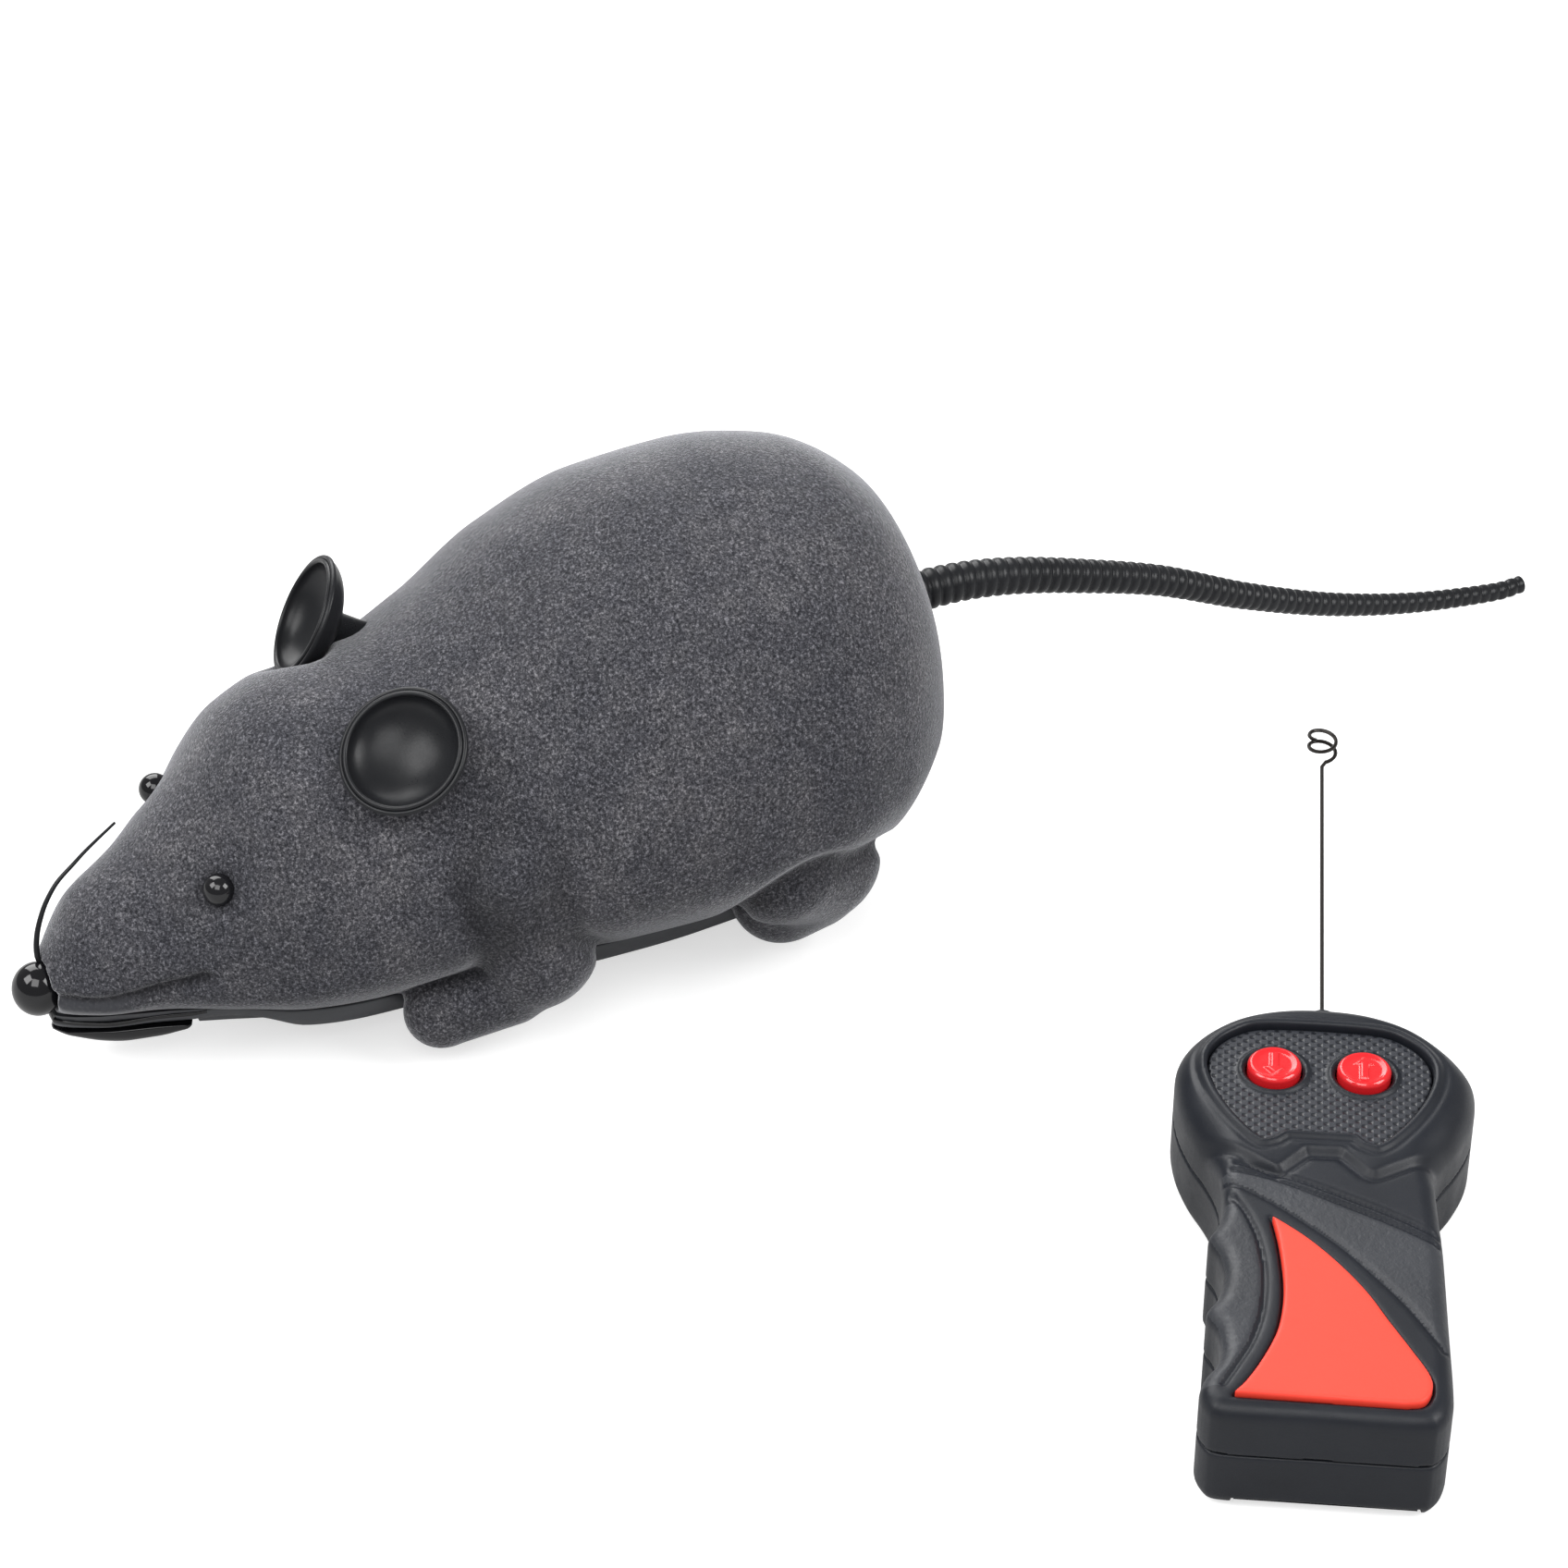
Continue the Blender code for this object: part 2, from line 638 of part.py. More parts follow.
def carved(base, *tools):
    """The base with each tool cut out of it."""
    for tool in tools:
        combined(base, tool, "DIFFERENCE")
    return base


def finished(thing, name, look, smooth_degrees=40.0):
    """Name the piece, give it its material and shade its round faces smooth."""
    thing.name = name
    thing.data.name = name
    thing.data.materials.clear()
    thing.data.materials.append(look)
    if thing.type == "MESH":
        thing.data.shade_smooth()
        thing.data.set_sharp_from_angle(angle=math.radians(smooth_degrees))
    return thing


def smooth_curve(stations, values, at):
    """Cubic through the stations that keeps rises and falls where they are, read at each place."""
    stations = np.array(stations, dtype=float)
    values = np.array(values, dtype=float)
    step = np.diff(stations)
    slope = np.diff(values) / step
    tangent = np.zeros(len(values))
    tangent[0] = slope[0]
    tangent[-1] = slope[-1]
    for k in range(1, len(values) - 1):
        if slope[k - 1] * slope[k] > 0:
            before = 2 * step[k] + step[k - 1]
            after = step[k] + 2 * step[k - 1]
            tangent[k] = (before + after) / (before / slope[k - 1] + after / slope[k])
    at = np.clip(np.atleast_1d(at), stations[0], stations[-1])
    k = np.clip(np.searchsorted(stations, at) - 1, 0, len(step) - 1)
    t = (at - stations[k]) / step[k]
    return (
        (2 * t**3 - 3 * t**2 + 1) * values[k]
        + (t**3 - 2 * t**2 + t) * step[k] * tangent[k]
        + (3 * t**2 - 2 * t**3) * values[k + 1]
        + (t**3 - t**2) * step[k] * tangent[k + 1]
    )


def route_curve(route, count, first_share=0.0):
    """Evenly spaced points on a smooth curve through the route's own points."""
    route = [Vector(p) for p in route]
    dense = []
    for k in range(len(route) - 1):
        before = route[max(k - 1, 0)]
        after = route[min(k + 2, len(route) - 1)]
        out = (route[k + 1] - before) / 2 if k else route[1] - route[0]
        into = (after - route[k]) / 2 if k + 2 < len(route) else route[-1] - route[-2]
        for i in range(16):
            t = i / 16
            dense.append(
                route[k] * (2 * t**3 - 3 * t**2 + 1)
                + out * (t**3 - 2 * t**2 + t)
                + route[k + 1] * (3 * t**2 - 2 * t**3)
                + into * (t**3 - t**2)
            )
    dense.append(route[-1])
    far = np.cumsum([0.0] + [(dense[k + 1] - dense[k]).length for k in range(len(dense) - 1)])
    wanted = np.linspace(first_share, 1.0, count) * far[-1]
    axes = np.array(dense)
    points = np.stack([np.interp(wanted, far, axes[:, a]) for a in range(3)], axis=1)
    return [Vector(p) for p in points], far[-1]


def tube(name, points, radii, resolution=2):
    """A curve object with a round bevel and filled caps along the points."""
    data = bpy.data.curves.new(name, "CURVE")
    data.dimensions = "3D"
    data.bevel_depth = max(radii)
    data.bevel_resolution = resolution
    data.use_fill_caps = True
    spline = data.splines.new("POLY")
    spline.points.add(len(points) - 1)
    for point, place, radius in zip(spline.points, points, radii):
        point.co = (*place, 1.0)
        point.radius = radius / data.bevel_depth
    thing = bpy.data.objects.new(name, data)
    bpy.context.scene.collection.objects.link(thing)
    return thing


def body_measures(share, inset=0.0):
    """Height of the back, half width, widest height and belly height at a share of the body's length."""
    table = np.array(STATION_SHARES)
    angle = np.arccos(1 - 2 * table[:, 0])
    at = math.acos(1 - 2 * share)
    back, side, widest, belly = (float(smooth_curve(angle, table[:, k], at)[0]) for k in range(1, 5))
    return (
        back * BODY_HEIGHT - inset,
        side * HALF_WIDTH - inset,
        widest * BODY_HEIGHT,
        belly * BODY_HEIGHT + inset,
    )


def body_y(share):
    """Place along the mouse of a share of the body's length."""
    return BODY_FRONT_Y + share * BODY_LENGTH


def body_ring(share, inset=0.0, sides=BODY_SIDES):
    """One cross section: half an ellipse above the widest height, and flanks that fall as a cosine below."""
    back, side, widest, belly = body_measures(share, inset)
    ring = []
    for i in range(sides):
        angle = math.tau * i / sides
        fallen = 1 - abs(angle - math.pi) / (math.pi / 2)
        if fallen > 0:
            height = widest - (widest - belly) * fallen
        else:
            height = widest + (back - widest) * math.cos(angle)
        ring.append((side * math.sin(angle), body_y(share), height))
    return ring


def body_form(name, inset, first, last, rings):
    """The mouse's whole outer form, or the hollow inside it when there is an inset."""
    low = math.acos(1 - 2 * first)
    high = math.acos(1 - 2 * last)
    shares = [(1 - math.cos(low + (high - low) * k / rings)) / 2 for k in range(rings + 1)]
    if first == 0 and last == 1:
        nose = body_measures(0)
        rump = body_measures(1)
        return lofted(
            name,
            [body_ring(share) for share in shares[1:-1]],
            (0, body_y(0), nose[2]),
            (0, body_y(1), rump[2]),
        )
    return lofted(name, [body_ring(share, inset, HOLLOW_SIDES) for share in shares])


def rim_half_width(share):
    """Half width of the body where the shell ends, at the rim's height."""
    back, side, widest, belly = body_measures(share)
    if belly >= RIM_HEIGHT or widest <= RIM_HEIGHT:
        return 0.0
    return side * math.cos(math.pi / 2 * (widest - RIM_HEIGHT) / (widest - belly))


def rim_outline(start_y=None):
    """Outline of the shell's lower edge, which the chassis follows; it may start at a given place."""
    shares = [
        share for share in np.linspace(0, 1, 601) if rim_half_width(share) > RIM_LEAST_SHARE * HALF_WIDTH
    ]
    last = shares[-1]
    if start_y is None:
        middle = (shares[0] + last) / 2
        wanted = [
            middle - (last - middle) * math.cos(math.pi * k / RIM_PLACES) for k in range(RIM_PLACES + 1)
        ]
    else:
        first = (start_y - BODY_FRONT_Y) / BODY_LENGTH
        wanted = [
            first + (last - first) * math.sin(math.pi * k / RIM_PLACES) for k in range(RIM_PLACES // 2 + 1)
        ]
    left = [(rim_half_width(share), body_y(share)) for share in wanted]
    right = [(-x, y) for x, y in reversed(left)]
    return left + right


def legs():
    """Four legs, each a swelling between a paw and an elbow or heel, flatter across than along."""
    front = (
        (0.0, FRONT_PAW_Y, FRONT_PAW_HEIGHT, FRONT_PAW_RADIUS),
        (FRONT_ELBOW_SPREAD, FRONT_ELBOW_Y, FRONT_ELBOW_HEIGHT, FRONT_ELBOW_RADIUS),
    )
    rear = (
        (0.0, REAR_PAW_Y, REAR_PAW_HEIGHT, REAR_PAW_RADIUS),
        (0.0, REAR_HEEL_Y, REAR_HEEL_HEIGHT, REAR_HEEL_RADIUS),
    )
    made = []
    for side in (1, -1):
        for name, x, ends in (("front leg", FRONT_LEG_X, front), ("rear leg", REAR_LEG_X, rear)):
            made.append(leg(name, side, x, ends))
    return made


def leg(name, side, x, ends, sides=14, rounds=3):
    """A tapered swelling with round ends: circles that grow from one ball to the other."""
    (x0, y0, z0, r0), (x1, y1, z1, r1) = ends
    start = Vector((0, y0, z0))
    aim = Vector((0, y1 - y0, z1 - z0))
    length = aim.length
    along = aim.normalized()
    up = Vector((1, 0, 0)).cross(along)
    lean = math.asin((r0 - r1) / length)
    places = []
    for k in range(1, rounds + 1):
        angle = (math.pi / 2 + lean) * k / rounds
        places.append((-r0 * math.cos(angle), r0 * math.sin(angle)))
    for k in range(rounds):
        angle = (math.pi / 2 + lean) + (math.pi / 2 - lean) * k / rounds
        places.append((length - r1 * math.cos(angle), r1 * math.sin(angle)))
    rings = []
    for distance, radius in places:
        share = min(max(distance / length, 0), 1)
        centre = start + along * distance
        ring = []
        for i in range(sides):
            angle = math.tau * i / sides
            out = (x + x0 + (x1 - x0) * share + LEG_WIDTH_SHARE * radius * math.cos(angle)) * side
            place = centre + up * radius * math.sin(angle)
            ring.append((out, place.y, place.z))
        rings.append(ring)
    tip = start - along * r0
    end = start + along * (length + r1)
    return lofted(name, rings, (side * (x + x0), tip.y, tip.z), (side * (x + x1), end.y, end.z))


def wheel_wells():
    """Room for the two driven wheels in the chassis."""
    radius = WHEEL_RADIUS + WHEEL_WELL_GAP
    inner = WHEEL_INNER_X - WHEEL_WELL_GAP
    outer = WHEEL_INNER_X + WHEEL_WIDTH + WHEEL_WELL_GAP
    return [
        rod("well", (side * inner, WHEEL_Y, AXLE_HEIGHT), (side * outer, WHEEL_Y, AXLE_HEIGHT), radius, 24)
        for side in (1, -1)
    ]


def placed(side, shares):
    """A place on the left or right of the head, from shares of the body's three sizes."""
    across, along, up = shares
    return Vector((side * across * HALF_WIDTH, body_y(along), up * BODY_HEIGHT))


def ear_frame(side):
    """Middle of the ear's rim and the way the cup faces."""
    return placed(side, EAR_PLACE_SHARES), Vector(LEFT_EAR_AIM if side > 0 else RIGHT_EAR_AIM).normalized()


def ear_back(gap):
    """Profile of the ear's outside from its rim to the end of its stem."""
    back = EAR_DEPTH + EAR_THICKNESS
    spread = EAR_RADIUS - EAR_STEM_RADIUS
    profile = []
    for k in range(EAR_STEPS, -1, -1):
        angle = math.pi / 2 * k / EAR_STEPS
        profile.append((EAR_STEM_RADIUS + spread * math.sin(angle) + gap, -back * math.cos(angle) - gap))
    end = -(back + EAR_STEM_LENGTH + gap)
    return profile + [(EAR_STEM_RADIUS + gap, end), (0, end)]


def ear_seat(side):
    """The shallow seat and the hole that an ear sits in."""
    centre, aim = ear_frame(side)
    front = EAR_THICKNESS / 3 + GAP
    return turned("ear seat", [(0, front), (EAR_RADIUS + GAP, front)] + ear_back(GAP), centre, aim, EAR_SIDES)


def eye_seat(side, gap):
    """The eye's ball and peg, or the socket for them when there is a gap."""
    centre = placed(side, EYE_PLACE_SHARES)
    inner = centre - Vector((side * (EYE_RADIUS + EYE_PEG_LENGTH + gap), 0, 0))
    radius = EYE_RADIUS + gap
    seat = ball("eye", centre, (radius, radius, radius), 14)
    return joined(seat, rod("eye peg", centre, inner, EYE_PEG_RADIUS + gap, 10))


def nose_seat(gap):
    """The nose's ball and peg, or the socket for them when there is a gap."""
    centre = (0, NOSE_Y, NOSE_HEIGHT)
    radius = NOSE_RADIUS + gap
    seat = ball("nose", centre, (radius, radius, NOSE_RADIUS * NOSE_TALL_SHARE + gap), 16)
    return joined(
        seat,
        rod(
            "nose peg", centre, (0, NOSE_Y + NOSE_PEG_LENGTH + gap, NOSE_HEIGHT), NOSE_PEG_RADIUS + gap, 12
        ),
    )


def whisker_socket():
    """Small hole in the snout that the whisker's root goes into."""
    root = Vector(WHISKER_ROUTE[0])
    aim = (Vector(WHISKER_ROUTE[1]) - root).normalized()
    return rod("whisker hole", root - aim * GAP, root + aim * OVERRUN, WHISKER_ROOT_RADIUS + GAP, 10)


def front_boss_top():
    """Height at which the front screw's column ends, inside the snout's top wall."""
    return body_measures(FRONT_SCREW_SHARE)[0] - SHELL_WALL / 2


def rear_screw_places():
    """The two rear chassis screws, left and right."""
    return ((REAR_SCREW_X, REAR_SCREW_Y), (-REAR_SCREW_X, REAR_SCREW_Y))


def body_shell(look):
    """Flocked upper shell with its four legs, hollow, open along the rim."""
    shell = body_form("body_shell", 0, 0, 1, BODY_RINGS)
    under = block(
        "under",
        (-BODY_WIDTH, BODY_FRONT_Y - OVERRUN, -OVERRUN),
        (BODY_WIDTH, BODY_FRONT_Y + BODY_LENGTH + OVERRUN, RIM_HEIGHT),
    )
    carved(shell, under)
    joined(shell, *legs())
    tray_room = prism("tray room", rim_outline(), ((-OVERRUN, -GAP), (RIM_HEIGHT - GAP, -GAP)))
    hollow = body_form("hollow", SHELL_WALL, CAVITY_START_SHARE, CAVITY_END_SHARE, HOLLOW_RINGS)
    mouth = prism(
        "mouth",
        rim_outline(MOUTH_START_Y),
        ((-OVERRUN, SHELL_WALL), (RIM_HEIGHT + MOUTH_DEPTH, SHELL_WALL)),
    )
    carved(shell, tray_room, hollow, mouth)
    for x, y in rear_screw_places():
        column = rod("column", (x, y, RIM_HEIGHT + GAP), (x, y, REAR_BOSS_TOP), SCREW_BOSS_RADIUS, 16)
        reach = math.copysign(REAR_WEB_LENGTH, x)
        web = block(
            "web",
            (min(x, x + reach), y - REAR_WEB_WIDTH / 2, RIM_HEIGHT + 2 * GAP),
            (max(x, x + reach), y + REAR_WEB_WIDTH / 2, REAR_BOSS_TOP - GAP),
        )
        combined(
            web,
            body_form("web room", SHELL_WALL / 2, CAVITY_START_SHARE, CAVITY_END_SHARE, HOLLOW_RINGS),
            "INTERSECT",
        )
        joined(shell, web, column)
        carved(shell, screw_hole(x, y, RIM_HEIGHT - OVERRUN, RIM_HEIGHT + SCREW_BITE + GAP))
    front_column = rod(
        "column",
        (0, FRONT_SCREW_Y, RIM_HEIGHT + GAP),
        (0, FRONT_SCREW_Y, front_boss_top()),
        SCREW_BOSS_RADIUS,
        16,
    )
    joined(shell, front_column)
    carved(shell, screw_hole(0, FRONT_SCREW_Y, RIM_HEIGHT - OVERRUN, RIM_HEIGHT + SCREW_BITE + GAP))
    for side in (1, -1):
        carved(shell, eye_seat(side, GAP))
        carved(shell, ear_seat(side))
    carved(shell, nose_seat(GAP), whisker_socket())
    root_y = BODY_FRONT_Y + BODY_LENGTH
    carved(
        shell,
        rod(
            "tail hole",
            (0, TAIL_ROOT_Y - OVERRUN, TAIL_HEIGHT),
            (0, root_y + OVERRUN, TAIL_HEIGHT),
            TAIL_HOLE_RADIUS,
            20,
        ),
    )
    return finished(shell, "body_shell", look, 50.0)


def screw_hole(x, y, bottom, top, radius=SCREW_RADIUS + SCREW_HOLE_GAP):
    """A round hole along Z."""
    return rod("screw hole", (x, y, bottom), (x, y, top), radius, 14)


def chassis(look):
    """Tray under the shell: floor, battery bay, castor cup, bosses and openings."""
    outline = rim_outline()
    levels = ((CHASSIS_BOTTOM, CHASSIS_CHAMFER), (CHASSIS_BOTTOM + CHASSIS_CHAMFER, GAP), (RIM_TOP, 0))
    rings = [[(x, y, height) for x, y in narrowed(outline, inset)] for height, inset in levels]
    tray = lofted("chassis", rings)
    under_chin = block(
        "under chin",
        (-BODY_WIDTH, BODY_FRONT_Y - OVERRUN, -OVERRUN),
        (BODY_WIDTH, CHIN_START_Y, RIM_TOP - CHASSIS_FRONT_PLATE),
    )
    inner_levels = (
        (FLOOR_TOP, CHASSIS_CHAMFER + CHASSIS_SIDE_WALL / 2), (RIM_HEIGHT + OVERRUN, CHASSIS_SIDE_WALL)
    )
    inside = prism("inside", rim_outline(CHIN_START_Y), inner_levels)
    carved(tray, under_chin, inside)
    root = CHASSIS_BOTTOM + CHASSIS_FLOOR / 2
    bay_half = BAY_HALF_WIDTH + BAY_WALL
    box = block(
        "bay box",
        (-bay_half, BAY_FRONT_Y - BAY_WALL, root),
        (bay_half, BAY_BACK_Y + BAY_WALL, BAY_CEILING + BAY_WALL),
    )
    cup_radius = CASTOR_CUP_INSIDE + CASTOR_CUP_WALL
    cup = rod("cup", (0, CASTOR_Y, root), (0, CASTOR_Y, CASTOR_CUP_TOP), cup_radius, 24)
    tab_boss = rod(
        "tab boss",
        (DOOR_TAB_X, DOOR_TAB_Y, root),
        (DOOR_TAB_X, DOOR_TAB_Y, RIM_HEIGHT + SCREW_BITE),
        SCREW_BOSS_RADIUS,
        16,
    )
    joined(tray, box, cup, tab_boss)
    for x, y in rear_screw_places():
        joined(tray, rod("boss", (x, y, root), (x, y, RIM_TOP - GAP), SCREW_BOSS_RADIUS + GAP, 16))
    for x, y in board_post_places():
        top = BAY_CEILING + BAY_WALL
        joined(
            tray,
            rod("post", (x, y, top - BAY_WALL / 2), (x, y, top + BOARD_POST_HEIGHT), BOARD_POST_RADIUS, 10),
        )
    carve_chassis_openings(tray)
    return finished(tray, "chassis", look)


def carve_chassis_openings(tray):
    """Battery bay, door recess, castor cup, screw holes, gearbox slot, switch slot and wheel wells."""
    bay = block("bay", (-BAY_HALF_WIDTH, BAY_FRONT_Y, -OVERRUN), (BAY_HALF_WIDTH, BAY_BACK_Y, BAY_CEILING))
    recess = door_form("recess", GAP, CHASSIS_BOTTOM - OVERRUN, CHASSIS_BOTTOM + DOOR_THICKNESS + GAP)
    cup = rod("cup room", (0, CASTOR_Y, -OVERRUN), (0, CASTOR_Y, CASTOR_CUP_CEILING), CASTOR_CUP_INSIDE, 24)
    pin = rod(
        "pin room",
        (0, CASTOR_Y, CASTOR_CUP_CEILING - OVERRUN),
        (0, CASTOR_Y, CASTOR_CUP_TOP + OVERRUN),
        CASTOR_PIN_RADIUS + RUNNING_GAP,
        20,
    )
    carved(tray, bay, recess, cup, pin)
    carved(tray, screw_hole(DOOR_TAB_X, DOOR_TAB_Y, -OVERRUN, RIM_HEIGHT + SCREW_BITE - BAY_WALL))
    carved(tray, screw_hole(0, FRONT_SCREW_Y, -OVERRUN, RIM_HEIGHT + OVERRUN))
    for x, y in rear_screw_places():
        carved(tray, screw_hole(x, y, -OVERRUN, RIM_HEIGHT + OVERRUN))
        carved(tray, screw_hole(x, y, -OVERRUN, CHASSIS_BOTTOM + SCREW_SEAT_DEPTH, SCREW_HEAD_RADIUS + GAP))
    slot = block(
        "gearbox slot",
        (GEARBOX_LEFT_X - GAP, GEARBOX_BELLY_FRONT_Y - GAP, -OVERRUN),
        (
            GEARBOX_LEFT_X + 2 * GEARBOX_PLATE + GEARBOX_INSIDE + GAP,
            GEARBOX_BACK_Y + GAP,
            RIM_HEIGHT + OVERRUN,
        ),
    )
    switch = block(
        "switch slot",
        (SWITCH_X - SWITCH_SLOT_HALF_WIDTH, SWITCH_Y - SWITCH_SLOT_HALF_LENGTH, -OVERRUN),
        (SWITCH_X + SWITCH_SLOT_HALF_WIDTH, SWITCH_Y + SWITCH_SLOT_HALF_LENGTH, FLOOR_TOP + OVERRUN),
    )
    carved(tray, slot, switch, *wheel_wells())


def lower_jaw(look):
    """Glossy lower jaw under the snout, a boat shape on a narrow neck so that a mouth slit stays open."""
    length = JAW_BACK_Y - JAW_FRONT_Y
    depth = JAW_TOP - JAW_BOTTOM
    rows = np.array(JAW_SHARES)
    at = np.linspace(0, 1, JAW_RINGS)
    sides = smooth_curve(rows[:, 0], rows[:, 1], at) * JAW_HALF_WIDTH
    bottoms = JAW_BOTTOM + smooth_curve(rows[:, 0], rows[:, 2], at) * depth
    rings = []
    for share, side, bottom in zip(at, sides, bottoms):
        above = rim_half_width((JAW_FRONT_Y + share * length - BODY_FRONT_Y) / BODY_LENGTH)
        side = min(side, max(above, SHELL_WALL / 2))
        y = JAW_FRONT_Y + share * length
        ring = [
            (
                side * math.cos(math.pi * i / JAW_SIDES),
                y,
                JAW_TOP - (JAW_TOP - bottom) * math.sin(math.pi * i / JAW_SIDES) ** JAW_FULLNESS,
            )
            for i in range(JAW_SIDES + 1)
        ]
        rings.append(ring)
    jaw = lofted("lower_jaw", rings)
    plate_bottom = RIM_TOP - CHASSIS_FRONT_PLATE
    neck_outline = narrowed([(x, y) for x, y in rim_outline() if y < CHIN_START_Y - GAP], JAW_NECK_INSET)
    neck = prism("neck", neck_outline, ((JAW_TOP - JAW_SLIT, 0), (plate_bottom - GAP, 0)))
    limit = block(
        "limit", (-BODY_WIDTH, JAW_FRONT_Y + JAW_NECK_INSET, 0), (BODY_WIDTH, JAW_BACK_Y, RIM_HEIGHT)
    )
    combined(neck, limit, "INTERSECT")
    joined(jaw, neck)
    carved(jaw, screw_hole(0, FRONT_SCREW_Y, -OVERRUN, RIM_HEIGHT))
    carved(jaw, screw_hole(0, FRONT_SCREW_Y, -OVERRUN, JAW_BOTTOM + JAW_SCREW_SEAT, SCREW_HEAD_RADIUS + GAP))
    return finished(jaw, "lower_jaw", look)


def screw(name, x, y, bottom, top, look):
    """Round-headed screw that stands up from its head, with a cross recess read as a round one."""
    head = SCREW_HEAD_HEIGHT
    profile = (
        (0, SCREW_DRIVE_DEPTH),
        (SCREW_DRIVE_RADIUS, SCREW_DRIVE_DEPTH),
        (SCREW_DRIVE_RADIUS, 0),
        (SCREW_HEAD_RADIUS, 0),
        (SCREW_HEAD_RADIUS, head),
        (SCREW_RADIUS, head),
        (SCREW_RADIUS, top - bottom - SCREW_RADIUS),
        (0, top - bottom),
    )
    return finished(turned(name, profile, (x, y, bottom), (0, 0, 1), 10), name, look)


def door_form(name, grow, bottom, top):
    """The battery door's plate with its screw tab, or the recess for it when it is grown."""
    side = BAY_HALF_WIDTH + DOOR_LIP + grow
    plate = block(
        name, (-side, BAY_FRONT_Y - DOOR_LIP - grow, bottom), (side, BAY_BACK_Y + DOOR_LIP + grow, top)
    )
    tab_side = DOOR_TAB_RADIUS + grow
    tab = rod("tab", (DOOR_TAB_X, DOOR_TAB_Y, bottom), (DOOR_TAB_X, DOOR_TAB_Y, top), tab_side, 20)
    bridge = block(
        "bridge", (DOOR_TAB_X - tab_side, DOOR_TAB_Y, bottom), (DOOR_TAB_X + tab_side, BAY_FRONT_Y, top)
    )
    return joined(plate, bridge, tab)


def battery_door(look):
    """Plate that closes the battery bay from below, flush with the chassis."""
    door = door_form("battery_door", 0, CHASSIS_BOTTOM, CHASSIS_BOTTOM + DOOR_THICKNESS)
    carved(door, screw_hole(DOOR_TAB_X, DOOR_TAB_Y, -OVERRUN, RIM_HEIGHT))
    return finished(door, "battery_door", look)


def cell(name, x, y, height, facing, look):
    """AAA cell along Y, its positive end towards the facing."""
    half = (CELL_LENGTH + CELL_NUB_LENGTH) / 2
    profile = (
        (0, 0),
        (CELL_RADIUS, 0),
        (CELL_RADIUS, CELL_LENGTH),
        (CELL_NUB_RADIUS, CELL_LENGTH),
        (CELL_NUB_RADIUS, CELL_LENGTH + CELL_NUB_LENGTH),
        (0, CELL_LENGTH + CELL_NUB_LENGTH),
    )
    return finished(turned(name, profile, (x, y - facing * half, height), (0, facing, 0), 16), name, look)


def contact(name, y, out, low, high, half_width, spring_x, look):
    """Sprung plate at one end of a battery bay; the spring's stub presses on a cell's flat end."""
    plate = block(
        name,
        (-half_width + spring_x[1], min(y, y - out * CONTACT_THICKNESS), low),
        (half_width + spring_x[1], max(y, y - out * CONTACT_THICKNESS), high),
    )
    middle = (low + high) / 2
    start = y - out * CONTACT_THICKNESS / 2
    end = y - out * (CONTACT_THICKNESS + CONTACT_SPRING)
    joined(
        plate,
        rod("spring", (spring_x[0], start, middle), (spring_x[0], end, middle), CONTACT_SPRING_RADIUS, 14),
    )
    return finished(plate, name, look)


def gear_outline(teeth, phase):
    """Straight-sided teeth: pairs of angle and radius around the gear."""
    pitch = GEAR_MODULE * teeth / 2
    root = pitch - GEAR_MODULE * GEAR_ROOT_SHARE
    tip = pitch + GEAR_MODULE * GEAR_TIP_SHARE
    tooth = (
        (-TOOTH_ROOT_SHARE, root),
        (-TOOTH_TIP_SHARE, tip),
        (TOOTH_TIP_SHARE, tip),
        (TOOTH_ROOT_SHARE, root),
    )
    step = math.tau / teeth
    points = []
    for k in range(teeth):
        middle = phase + step * k
        for share, radius in tooth:
            angle = middle + share * step
            points.append((radius * math.cos(angle), radius * math.sin(angle)))
    return points


def gear(name, teeth, phase, centre, start_x, width, bore):
    """A spur gear on an axis along X, with a round bore."""
    outline = gear_outline(teeth, phase)
    rings = [[(x, centre[0] + y, centre[1] + z) for y, z in outline] for x in (start_x, start_x + width)]
    wheel = lofted(name, rings)
    if bore:
        carved(
            wheel, rod("bore", (start_x - OVERRUN, *centre), (start_x + width + OVERRUN, *centre), bore, 16)
        )
    return wheel


def gear_centres():
    """Centres, along and up, of the axle gear, the compound gear and the motor pinion."""
    axle = (WHEEL_Y, AXLE_HEIGHT)
    first = GEAR_MODULE * (AXLE_GEAR_TEETH + COMPOUND_SMALL_TEETH) / 2
    second = GEAR_MODULE * (COMPOUND_BIG_TEETH + PINION_TEETH) / 2
    compound = (axle[0] + first * math.cos(COMPOUND_ANGLE), axle[1] + first * math.sin(COMPOUND_ANGLE))
    motor = (compound[0] + second * math.cos(MOTOR_ANGLE), compound[1] + second * math.sin(MOTOR_ANGLE))
    return axle, compound, motor


